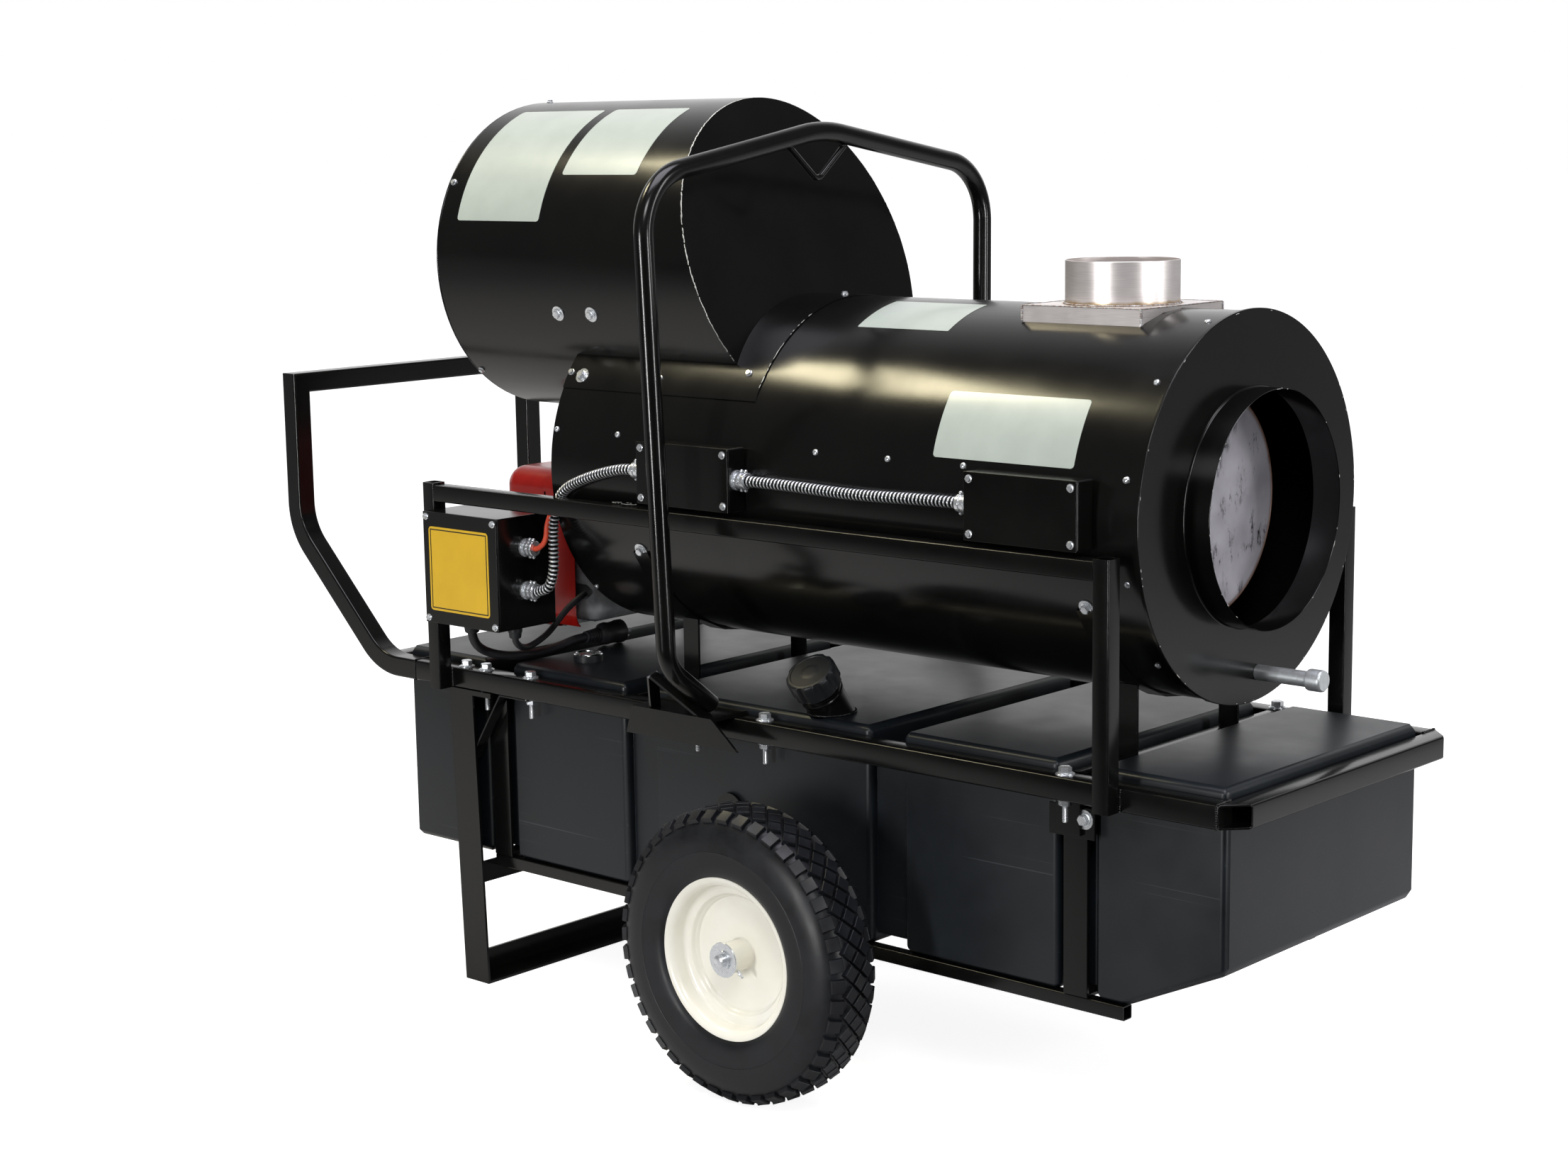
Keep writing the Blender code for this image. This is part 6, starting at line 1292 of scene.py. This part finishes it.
# %% Rims, hubs and stub axles
RIM = mm((13.2, 42.5), (20.5, 42.5), (21.5, 41.5), (21.5, 9), (23, 6.8), (27, 6), (74, 6), (80.5, 7),
         (83, 10), (84, 14.5), (86.5, 17), (92, 17.6), (96, 19), (98.5, 22), (100, 33), (102.5, 38.0),
         (106.5, 41.2), (111.0, 42.4), (113.4, 42.0), (113.7, 40.8), (108, 38.4), (104.0, 35), (103.5, 32),
         (103.5, -32), (104.0, -35), (108, -38.4), (113.7, -40.8), (113.4, -42.0), (111, -42.4),
         (106.5, -41.2), (102.5, -38), (100, -33), (99, -10), (96, 10), (92, 13.5), (86, 14), (81, 10),
         (79, 4.5), (75, 3), (21.5, 3), (21.5, -42.5), (13.2, -42.5))
AXLE_END = mm((0, 56), (6, 56), (8.4, 54.6), (8.8, 52), (8.8, 46.5), (12.6, 46.5), (12.6, 45.4), (24, 45.4),
              (24.6, 44.8), (24.6, 43.2), (12.7, 43), (12.7, -40), (0, -40))
NIPPLE = mm((0, 13), (1.6, 13), (2.3, 11.6), (1.6, 9.6), (1.7, 8.6), (3.2, 8), (3.2, 4.4), (2.4, 4),
            (2.4, -2), (0, -2))
HANGER_Y, HANGER_HIGH, HANGER_ROUND = 0.2358, Vector((0.042, 0, 0.355)), 0.025
CLIP_OUT, CLIP_R, NIPPLE_OUT, NIPPLE_R = 46.2 * MM, 12.4 * MM, 33 * MM, 21.5 * MM


def hanger_bar(sign):
    """The flat bar with round ends that carries the stub axle, cut from 6 mm plate."""
    y = Vector((0, sign * HANGER_Y, 0))
    low, high = Vector((WHEEL_X, 0, TYRE_R)), HANGER_HIGH
    turn = math.atan2(high.z - low.z, high.x - low.x)
    outline = [end + beside_y(turn + math.pi * (i / 16 - 0.5)) * size + y
               for end, size in ((high, HANGER_ROUND), (low, -HANGER_ROUND)) for i in range(17)]
    sleeve = lathe(mm((0, 0), (19, 0), (19, 101.5), (12.7, 101.5), (0, 101.5)), low + y, (0, sign, 0), 40,
                   closed=False)
    return together(extruded(outline, (0, sign * 6 * MM, 0)), sleeve)


def small_box(name, long, wide, high, radius, material):
    """A small box with its foot on the origin, to be set out."""
    low, top = (-long * MM / 2, -wide * MM / 2, 0), (long * MM / 2, wide * MM / 2, high * MM)
    return as_data(name, rounded_box(low, top, radius * MM, 1), material)


for side, sign, body, middle in WHEELS:
    out = Vector((0, sign, 0))
    shaped("rim_pressing_" + side, lathe(RIM, middle, out), CREAM, body, stands_for=["wheel_rim_" + side])
    shaped("hanger_bar_" + side, hanger_bar(sign), COAT, stands_for=["stub_axle_" + side])
    shaped("axle_end_" + side, lathe(AXLE_END, middle, out, 48, closed=False), ZINC)
    ways = [beside_y(math.radians(d)) for d in (75, 175, 325)]
    set_out("clip_tabs_" + side, small_box("tab", 3.2, 6.4, 2.2, 0.5, ZINC),
            [(middle + out * CLIP_OUT + way * CLIP_R, out, way) for way in ways], ZINC)
    down = beside_y(math.radians(-42))
    shaped("grease_nipple_" + side,
           lathe(NIPPLE, middle + out * NIPPLE_OUT + down * NIPPLE_R, down, 16, closed=False), ZINC, body)

# %% [markdown]
# ## Filler and gauge on the tank
# The filler neck leans out over the tank's side under a moulded fluted cap. The gauge is a
# float gauge: a black body, a chrome bezel, a black dial, a red needle and a clear lens.

# %% Filler
FILLER_AT = Vector((0.202, -0.197, TANK_TOP))
FILLER_TILT = math.radians(36)
FILLER_ALONG = Vector((0, -math.sin(FILLER_TILT), math.cos(FILLER_TILT)))


def fluted(profile, flutes, depth, at, along, sides=ROUND_SIDES):
    """A closed turned form whose marked rows are pressed in between flutes."""
    bm = bmesh.new()
    rings = []
    for radius, height, share in profile:
        ring = []
        for i in range(sides):
            a = math.tau * i / sides
            wave = max(0.0, math.cos(a * flutes)) ** 0.6
            r = radius - depth * share * wave
            ring.append(bm.verts.new((r * math.cos(a), r * math.sin(a), height)))
        rings.append(ring)
    for low, high in zip(rings, rings[1:]):
        for i in range(sides):
            j = (i + 1) % sides
            bm.faces.new((low[i], low[j], high[j], high[i]))
    bm.faces.new(rings[0][::-1])
    bm.faces.new(rings[-1])
    turn = along.to_track_quat("Z", "Y").to_matrix().to_4x4()
    bmesh.ops.transform(bm, matrix=Matrix.Translation(at) @ turn, verts=bm.verts)
    return bm


NECK_TOP, NECK_BORE = 70, 28.6
CAP_LIFT, CAP_ROOF, FLUTES, FLUTE_DEPTH = 1.2 * MM, 32.1 * MM, 9, 3.6 * MM
rows = mm((NECK_BORE, -30), (30.2, -30), (30.2, 34), (31.0, 35), (31.9, 36.4), (31.9, 39.6), (30.6, 40.6),
          (30.6, 42.6), (31.9, 43.8), (31.9, 47.2), (30.4, 48.4), (30.4, 52), (31.6, 53.4), (30.4, 54.8),
          (30.4, 57), (31.6, 58.4), (30.4, 59.8), (30.4, 62), (31.6, 63.4), (30.4, 64.8),
          (30.4, NECK_TOP - 1), (29.8, NECK_TOP), (NECK_BORE, NECK_TOP))
neck = as_data("filler_neck_spun", lathe(rows, FILLER_AT, FILLER_ALONG, 96), COAT)
neck = carve(neck, slab((-1, -1, 0.3), (1, 1, TANK_TOP + GAP)))
piece("filler_neck_spun", neck, stands_for=["filler_neck"])
cap_start = FILLER_AT + FILLER_ALONG * CAP_LIFT
# The third value of each row is its share of the flutes' depth.
rows = [(34.0, 50, 0), (35.6, 50.5, 0.5), (36.4, 52, 1), (36.4, 70, 1), (36.3, 75, 1), (35.6, 78.2, 0.8),
        (33.8, 79.8, 0.3), (31.0, 80.2, 0), (29.4, 80.2, 0), (28.6, 79.2, 0), (14, 79.0, 0), (12.5, 80.0, 0),
        (6, 80.2, 0)]
cap = fluted([(r * MM, h * MM, share) for r, h, share in rows], FLUTES, FLUTE_DEPTH, cap_start,
             FILLER_ALONG)
hollow = lathe(mm((0, 0), (32.2, 0), (32.2, 40), (0, 40)), cap_start + FILLER_ALONG * CAP_ROOF,
               FILLER_ALONG, 64, closed=False)
piece("filler_cap_moulding", carve(as_data("filler_cap_moulding", cap, PLASTIC), hollow), "filler_cap",
      stands_for=["filler_cap"])

# %% Gauge
CHROME = finish("chrome_plated_bezel", "bright_zinc", "#eceef0", 0.08, 1.0)[0]
GAUGE_AT = Vector((-0.337, -0.149, TANK_TOP + GAP))
TICK_R, TICK_HIGH = 15.4 * MM, 7.35 * MM


def gauge_ring(name, material, *rows, closed=False, **options):
    shaped(name, lathe(mm(*rows), GAUGE_AT, UP, 64, closed=closed), material, **options)


gauge_ring("gauge_housing", PLASTIC, (0, 0), (22.5, 0), (22.5, 9.6), (21.6, 10.4), (19.0, 10.4), (19.0, 7.0),
           (0, 7.0), stands_for=["gauge_body"])
gauge_ring("gauge_bezel", CHROME, (18.9, 8.4), (21.9, 10.4), (22.3, 11.2), (21.8, 12.4), (21.0, 12.9),
           (20.0, 12.7), (18.9, 10.8), closed=True)
gauge_ring("gauge_dial", DIAL, (0, 7.0), (18.9, 7.0), (18.9, 7.4), (0, 7.4))
gauge_ring("gauge_window", GLASS, (0, 12.0), (10, 11.6), (18.8, 10.0), (18.8, 10.8), (16, 11.8), (10, 12.7),
           (0, 13.1), stands_for=["gauge_lens"])
gauge_ring("gauge_pivot", ZINC, (0, 7.4), (2.4, 7.4), (2.4, 10.4), (1.6, 11.0), (0, 11.1))


def needle_shape():
    """A tapered pointer with a boss; it reaches out towards -X as the solid does."""
    boss = [beside_z(math.radians(130 - 260 * i / 20)) * 4.7 for i in range(21)]
    outline = [(-16.2, 1.2), (-4.6, 3.4), (-3.0, 3.6), *[(p.x, p.y) for p in boss], (-3.0, -3.6),
               (-4.6, -3.4), (-16.2, -1.2)]
    bm = extruded([(x * MM, y * MM, 8.6 * MM) for x, y in outline], (0, 0, 1.2 * MM))
    bmesh.ops.translate(bm, vec=GAUGE_AT, verts=bm.verts)
    return bm


shaped("gauge_pointer", needle_shape(), NEEDLE, "gauge_needle", stands_for=["gauge_needle"])
ways = [beside_z(math.radians(-60 + 26 * i)) for i in range(11)]
set_out("gauge_ticks", small_box("tick", 3.6, 0.7, 0.25, 0.08, CREAM),
        [(GAUGE_AT + way * TICK_R + UP * TICK_HIGH, UP, way) for way in ways], CREAM)

# %% [markdown]
# ## Screws and bolts
# Sheet goes together with pan-head screws, the frame with flanged hex bolts. Each kind is one
# small mesh, set out at its places by the same tree.

# %% Screw shapes
def turned(rows, sides):
    """A small turned form that stands on the origin."""
    return lathe(rows, (0, 0, 0), UP, sides, closed=False)


def pan_head(radius=4.4 * MM, height=2.9 * MM):
    head = as_data("pan_head", turned([(0, 0), (radius, 0), (radius, 0.35 * height),
                                       (0.82 * radius, 0.75 * height), (0.4 * radius, height),
                                       (0, height)], 16), ZINC)
    arm, half, deep = 0.62 * radius, 0.13 * radius, 0.5 * height
    return carve(head, slab((-arm, -half, deep), (arm, half, 2 * height)),
                 slab((-half, -arm, deep), (half, arm, 2 * height)))


def hex_head(across, height, washer=0.0):
    """A hex with a chamfered top on a flange, and a plain washer where one is asked for."""
    r = across / 2 / math.cos(math.pi / 6)
    parts = [turned([(0, 0), (r * 1.22, 0), (r * 1.22, 1.0 * MM), (r * 1.05, 1.5 * MM), (0, 1.5 * MM)], 24),
             turned([(0, 1.4 * MM), (r, 1.4 * MM), (r, height - 0.8 * MM), (r * 0.86, height),
                     (0, height)], 6)]
    if washer:
        parts.append(turned([(0, -1.6 * MM), (washer, -1.6 * MM), (washer, -0.3 * MM),
                             (washer - 0.3 * MM, 0), (0, 0)], 28))
    return as_data("hex_head", together(*parts), ZINC)


def stud_nut():
    """A nut with the long end of its bolt through it."""
    r, shank = 8.6 * MM, 4.0 * MM
    nut = turned([(0, 0), (12 * MM, 0), (12 * MM, 1.5 * MM), (r, 1.5 * MM), (r, 8.4 * MM), (r * 0.86, 9 * MM),
                  (0, 9 * MM)], 6)
    thread = [(shank - (k % 2) * 0.45 * MM, (9.6 + 0.9 * k) * MM) for k in range(23)]
    end = turned([(0, 9 * MM), (shank, 9 * MM), *thread, (3.2 * MM, 31 * MM), (0, 31 * MM)], 14)
    return as_data("stud_nut", together(nut, end), ZINC)


def on_round(axis_z, radius, *spots):
    """Spots on a round sheet, each with the way out of it."""
    found = []
    for x, y, z in spots:
        out = Vector((0, y, z - axis_z)).normalized()
        found.append((Vector((x, 0, axis_z)) + out * radius, out))
    return found


# %% Set out the screws
BOTH, WASHER, CLEAR = (-1, 1), 1.6 * MM, 15 * MM
SEAM_X, SEAM_Y, SEAM_Z = [-0.2874 + 0.127 * i for i in range(9)], 0.2466, 0.883
RIM_ROW_X = 0.730
shown_x = [x for x in SEAM_X if all(abs(x - start - JUNCTION_LONG / 2) > JUNCTION_LONG / 2 + CLEAR
                                    for start in JUNCTION_X)]
seam = [(x, -SEAM_Y, SEAM_Z) for x in shown_x] + [(x, SEAM_Y, SEAM_Z) for x in SEAM_X]
rim = [(RIM_ROW_X, -math.sin(a), SHELL_Z + math.cos(a))
       for a in (math.radians(16.2 + 30 * i) for i in range(12))]
set_out("shell_screws", pan_head(), on_round(SHELL_Z, SHELL_R, *seam, *rim), ZINC)
drum = [(-0.545, y, z) for y, z in
        ((-0.2054, 1.2421), (-0.162, 0.9526), (0.0001, 1.3615), (0.2054, 1.2421), (0.162, 0.9526))]
hood = [(x, s * y, z) for s in BOTH for x, y, z in
        ((-0.2881, 0.2113, 0.9636), (-0.1056, 0.2115, 0.9634), (0.0601, 0.2012, 0.9777))]
set_out("sheet_screws", hex_head(7.5 * MM, 4.2 * MM),
        on_round(DRUM_Z, DRUM_R, *drum) + on_round(SHELL_Z, HOOD_R, *hood, (0.0698, -0.007, 1.0767)), ZINC)
covers = [(x, COVER_Y, z) for x in (-0.5095, -0.3594) for z in (0.5865, 0.7425)]
covers += [(start + beyond, LID_Y, z) for start in JUNCTION_X for beyond in (0.009, 0.168)
           for z in (0.803, 0.874)]
set_out("cover_screws", hex_head(7.6 * MM, 4.0 * MM), [(Vector(c), Vector((0, -1, 0))) for c in covers], ZINC)
on_drum = [(x, s * y, z) for s in BOTH for x, y, z in ((-0.3007, 0.225, 1.0518), (-0.2305, 0.225, 1.0527))]
on_shell = [(x, s * 0.229, 0.714) for s in BOTH for x in (-0.135, 0.658)]
set_out("washered_bolts", hex_head(11 * MM, 6 * MM, washer=11.5 * MM),
        [*on_round(DRUM_Z, DRUM_R + WASHER, *on_drum), *on_round(SHELL_Z, SHELL_R + WASHER, *on_shell),
         *on_round(SHELL_Z, HOOD_R + WASHER, (-0.2629, -0.2138, 0.9598))], ZINC)
RAIL_BOLTS = (-0.5005, -0.4556, -0.3559, -0.006, 0.1248, 0.6420)
set_out("rail_bolts", hex_head(15 * MM, 9 * MM, washer=12.5 * MM),
        [(Vector((x, s * RAIL_Y, RAIL_TOP + WASHER)), UP) for x in RAIL_BOLTS for s in BOTH], ZINC)
set_out("rail_nuts", stud_nut(),
        [(Vector((x, s * RAIL_Y, RAIL_TOP - TUBE)), -UP) for x in RAIL_BOLTS[1:] for s in BOTH], ZINC)
clamps = [(Vector(at) + Vector(along) * step * MM + UP * s * 12.4 * MM, UP * s)
          for at, along in FITTINGS.values() for s in BOTH for step in (10.5, 18.0)]
set_out("clamp_screws", pan_head(2.9 * MM, 3.2 * MM), clamps, ZINC)

# %% [markdown]
# ## Bare plates
# Thin vinyl plates follow the sheet that they are on. They carry nothing here.

# %% Plates
def wrapped_plate(name, x_range, angles, radius, axis_z, corner=5 * MM, steps=28):
    """A plate on a round sheet between two angles from the top, towards -Y."""
    bm = bmesh.new()
    low, high = (math.radians(a) for a in angles)
    length = (high - low) * radius
    rows = []
    for i in range(steps + 1):
        run = length * (0.5 - 0.5 * math.cos(math.pi * i / steps))
        near = min(run, length - run)
        inset = corner - math.sqrt(max(0.0, corner ** 2 - (corner - min(near, corner)) ** 2))
        out = beside_x(low + run / radius, -1)
        rows.append([bm.verts.new(Vector((x, 0, axis_z)) + out * (radius + lift))
                     for lift in (0.05 * MM, 0.45 * MM) for x in (x_range[0] + inset, x_range[1] - inset)])
    for a, b in zip(rows, rows[1:]):
        for i, j in ((0, 1), (1, 3), (3, 2), (2, 0)):
            bm.faces.new((a[i], a[j], b[j], b[i]))
    for end in (rows[0], rows[-1]):
        bm.faces.new((end[0], end[1], end[3], end[2]))
    shaped(name, bm, PLATE)


wrapped_plate("drum_tall_plate", (-0.5144, -0.3346), (20.5, 75.1), DRUM_R, DRUM_Z)
wrapped_plate("drum_wide_plate", (-0.3130, -0.1590), (20.0, 57.1), DRUM_R, DRUM_Z)


def shell_angle(z):
    return math.degrees(math.acos((z - SHELL_Z) / SHELL_R))


wrapped_plate("shell_top_plate", (0.194, 0.354), (shell_angle(1.074), shell_angle(1.044)), SHELL_R, SHELL_Z,
              corner=2 * MM)
wrapped_plate("shell_side_plate", (0.4225, 0.648), (shell_angle(0.974), shell_angle(0.891)), SHELL_R, SHELL_Z)

# The control box's plate, laid out from 10 mm beside its left edge, with a printed line round it.
FROM_X, LEFT, RIGHT, LOW, HIGH = -0.514, 0.010, 0.010 + 0.1335, 0.599, 0.728
INSET, LINE = 3.5 * MM, 1.6 * MM
outline = rounded([(LEFT, LOW), (RIGHT, LOW), (RIGHT, HIGH), (LEFT, HIGH)], 6 * MM, 5)
shaped("control_plate", extruded([(FROM_X + x, -0.31705, z) for x, z in outline], (0, -0.35 * MM, 0)), YELLOW)
left, right, low, high = FROM_X + LEFT + INSET, FROM_X + RIGHT - INSET, LOW + INSET, HIGH - INSET
strips = [slab((start, -0.31765, foot), (end, -0.3174, top)) for start, foot, end, top in
          ((left, low, right, low + LINE), (left, high - LINE, right, high),
           (left, low + LINE, left + LINE, high - LINE), (right - LINE, low + LINE, right, high - LINE))]
shaped("control_plate_border", together(*strips), PLASTIC)

# %% [markdown]
# ## Welds, chipped paint and the last small parts
# The frame is MIG welded, so each joint has a bead of small overlapping ripples under the paint.
# Where the slanted plate meets the drum, the weld was ground and the paint on it has broken away to bare
# steel, which shows as a thin broken white line.
# Flakes of the same pale colour on the outlet's rim and the collar's lip are painted highlights for the thin
# bright lines of light on those edges.

# %% Weld beads
def bead(route, radius=2.4 * MM, material=COAT, seed=1.0, pitch=3.0 * MM):
    return grown("bead", SWELLING, line_mesh("bead_line", route), Radius=radius, Pitch=pitch,
                 Depth=radius * 0.35, Unevenness=radius * 0.3, Step=pitch / 3, Seed=seed, Finish=material)


def joined(name, meshes):
    """Several small meshes of one finish as one piece."""
    bm = bmesh.new()
    for mesh in meshes:
        bm.from_mesh(mesh)
    shaped(name, bm, meshes[0].materials[0])


def round_line(radius, at, steps=72):
    """Points of a closed ring round an upright axis."""
    return [Vector(at) + beside_z(math.radians(360 * i / steps)) * radius for i in range(steps + 1)]


POST_SIDES = (-0.5432, -0.5162, 0.7108, 0.7378)
POST_FOOT, BUMPER_WELD_X = (0.470, 0.4985), 0.8786
RAIL_FACE, HALF = 0.2686, TUBE / 2
beads = []
for sign in (-1, 1):
    for i, x in enumerate(POST_SIDES):
        beads.append(bead([(x, sign * (RAIL_FACE + 0.4 * MM), z) for z in POST_FOOT], seed=i + 1.0))
    for x in (HANDLE_WELD_X, BUMPER_WELD_X):
        across = [(x, sign * y, RAIL_TOP) for y in (RAIL_Y - HALF, RAIL_Y + HALF)]
        upright = [(x, sign * RAIL_FACE, z) for z in (RAIL_TOP - TUBE, RAIL_TOP)]
        beads += [bead(across, 1.8 * MM, seed=3.0), bead(upright, 1.8 * MM, seed=4.0)]
    end = Vector((eye[0].x, EYE_Y + sign * 0.058, eye_top))
    beads.append(bead([end - Vector((0, 0.006, 0)), end + Vector((0, 0.006, 0))], 3.4 * MM, seed=6.0))
joined("frame_weld_beads", beads)

BOX_X, BOX_Y, (BOX_FOOT, BOX_TOP) = (0.455, 0.645), (-0.095, 0.095), (1.0582, 1.081)
beads = [bead([(x, y, BOX_FOOT + 3 * MM), (x, y, BOX_TOP - 0.5 * MM)], 2.0 * MM, WELD, pitch=2.2 * MM)
         for x in BOX_X for y in BOX_Y]
beads += [bead([(x, y, BOX_TOP) for x in BOX_X], 1.0 * MM, WELD, 5.0) for y in BOX_Y]
beads += [bead([(x, y, BOX_TOP) for y in BOX_Y], 1.0 * MM, WELD, 7.0) for x in BOX_X]
ring = round_line(FLUE_R + 0.6 * MM, (FLUE_X, 0, BOX_TOP + 0.6 * MM))
joined("flue_weld_beads", [*beads, bead(ring, 1.7 * MM, WELD, pitch=2.6 * MM)])

ring, ahead = [], Vector((1, 0, 0))
up_slope = FILLER_ALONG.cross(ahead)
for i in range(73):
    a = math.tau * i / 72
    spot = FILLER_AT + (ahead * math.cos(a) + up_slope * math.sin(a)) * 30.6 * MM
    ring.append(spot + FILLER_ALONG * ((TANK_TOP + 1.4 * MM - spot.z) / FILLER_ALONG.z))
joined("filler_weld_bead", [bead(ring, 1.7 * MM, COAT, 2.0)])

# %% Paint chips and painted edge highlights
def fleck_shape(name, length, width):
    """A thin flake with a ragged outline."""
    outline = [(-0.5, 0.1), (-0.3, 0.5), (0.05, 0.35), (0.3, 0.5), (0.5, 0.0), (0.25, -0.45), (-0.1, -0.3),
               (-0.35, -0.5)]
    bm = bmesh.new()
    low, high = ([bm.verts.new((x * length, y * width, z)) for x, y in outline]
                 for z in (-0.1 * MM, 0.12 * MM))
    bm.faces.new(low[::-1])
    bm.faces.new(high)
    for i in range(len(outline)):
        j = (i + 1) % len(outline)
        bm.faces.new((low[i], low[j], high[j], high[i]))
    return as_data(name, bm, CHIP_AND_EDGE_HIGHLIGHT)


def hashed(i, seed):
    """An even spread from 0 to 1 that is the same on each run."""
    value = math.sin(i * 12.9898 + seed * 78.233) * 43758.5453
    return value - math.floor(value)


def chips_and_edge_highlights(name, line, share, seed, width=1.5 * MM):
    """Flakes along a line of (spot, facing, along) rows; `share` of the rows get one."""
    kinds = [("speck", 2.2 * MM, width), ("flake", 4.4 * MM, width), ("streak", 9.0 * MM, width * 0.8)]
    for k, (kind, length, wide) in enumerate(kinds):
        spots = []
        for i, (spot, facing, along) in enumerate(line):
            if hashed(i, seed + k * 3.1) < share * (1.0, 0.7, 0.45)[k]:
                drift = facing.cross(along).normalized() * (hashed(i, seed + 9) - 0.5) * 1.4 * MM
                spots.append((spot + drift, facing, along))
        if spots:
            set_out(f"{name}_{kind}s", fleck_shape(kind, length, wide), spots, CHIP_AND_EDGE_HIGHLIGHT)


def slant_line(sign, steps=230):
    """The drum's slanted edge, from its top down to the hood."""
    edge = []
    for i in range(steps):
        a = math.radians(2 + 140 * i / steps)
        out = beside_x(a, sign)
        z = DRUM_Z + DRUM_R * math.cos(a)
        x = DRUM_FRONT - DRUM_SLOPE * (z - DRUM_Z - DRUM_R)
        spot = Vector((x, 0, DRUM_Z)) + out * (DRUM_R + 0.1 * MM)
        if math.hypot(spot.y, spot.z - SHELL_Z) > SHELL_R + 5 * MM:
            edge.append((spot - Vector((1.0 * MM, 0, 0)), out))
    return [(spot, out, after - spot) for (spot, out), (after, _) in zip(edge, edge[1:])]


def end_edge(x, radius, steps):
    """A round edge on the shell's axis that faces the outlet."""
    ways = [beside_x(math.tau * i / steps, -1) for i in range(steps)]
    return [(Vector((x, 0, SHELL_Z)) + out * radius, ahead, out.cross(ahead)) for out in ways]


for side, sign in (("near", -1), ("far", 1)):
    chips_and_edge_highlights("slant_chips_" + side, slant_line(sign), share=0.62, seed=1.0 + sign)
ways = [beside_x(math.radians(24 + 34 * i / 60), sign) for i in range(60) for sign in BOTH]
middle = Vector((HOOD_FRONT - 0.6 * MM, 0, SHELL_Z))
hood_edge = [(middle + out * HOOD_R, out, out.cross(ahead)) for out in ways]
chips_and_edge_highlights("hood_chips", hood_edge, share=0.2, seed=5.0, width=0.9 * MM)
# Painted highlight: pale flakes along the outlet's rim stand for the thin bright line of light on its edge.
rim_edge = end_edge(SHELL_FRONT + FACE, SHELL_R + 2.2 * MM, 160)
chips_and_edge_highlights("rim_chips", rim_edge, share=0.05, seed=7.0, width=0.8 * MM)
# Painted highlight: pale flakes along the collar's lip stand for the thin bright line of light on its edge.
lip_edge = end_edge(SHELL_FRONT + COLLAR_LENGTH, COLLAR_R - 0.75 * MM, 140)
chips_and_edge_highlights("collar_chips", lip_edge, share=0.06, seed=13.0, width=0.8 * MM)

# %% Lugs and brackets under the rails
lugs = []
for side, sign in (("near", -1), ("far", 1)):
    bm = rounded_box((0.6125, -1.5 * MM, 0.418), (0.6840, 1.5 * MM, 0.4590), 0.6 * MM, 2)
    bmesh.ops.translate(bm, vec=(0, sign * 0.2455, 0), verts=bm.verts)
    shaped("strap_lug_" + side, bm, COAT)
    lugs.append((Vector((0.6690, sign * 0.2486, 0.4440)), Vector((0, sign, 0))))
set_out("lug_bolts", hex_head(13 * MM, 7 * MM, washer=13 * MM), lugs, ZINC)


def scuff(x, y, z, length, width, steps=40):
    """A worn oval on top of the side frame's rail: a broken ring of small flakes."""
    ring = []
    for a in (math.tau * i / steps for i in range(steps)):
        spot = Vector((x + length / 2 * math.cos(a), y + width / 2 * math.sin(a), z + 0.1 * MM))
        ring.append((spot, UP, Vector((-length * math.sin(a), width * math.cos(a), 0))))
    return ring


worn_oval = scuff(-0.115, -0.2816, 0.790, length=0.044, width=0.012)
chips_and_edge_highlights("rail_scuff", worn_oval, share=0.35, seed=11.0, width=0.6 * MM)
set_out("low_shell_screws", pan_head(3.4 * MM, 2.4 * MM),
        on_round(SHELL_Z, SHELL_R, *[(-0.2886, s * 0.1732, 0.6372) for s in BOTH]), ZINC)
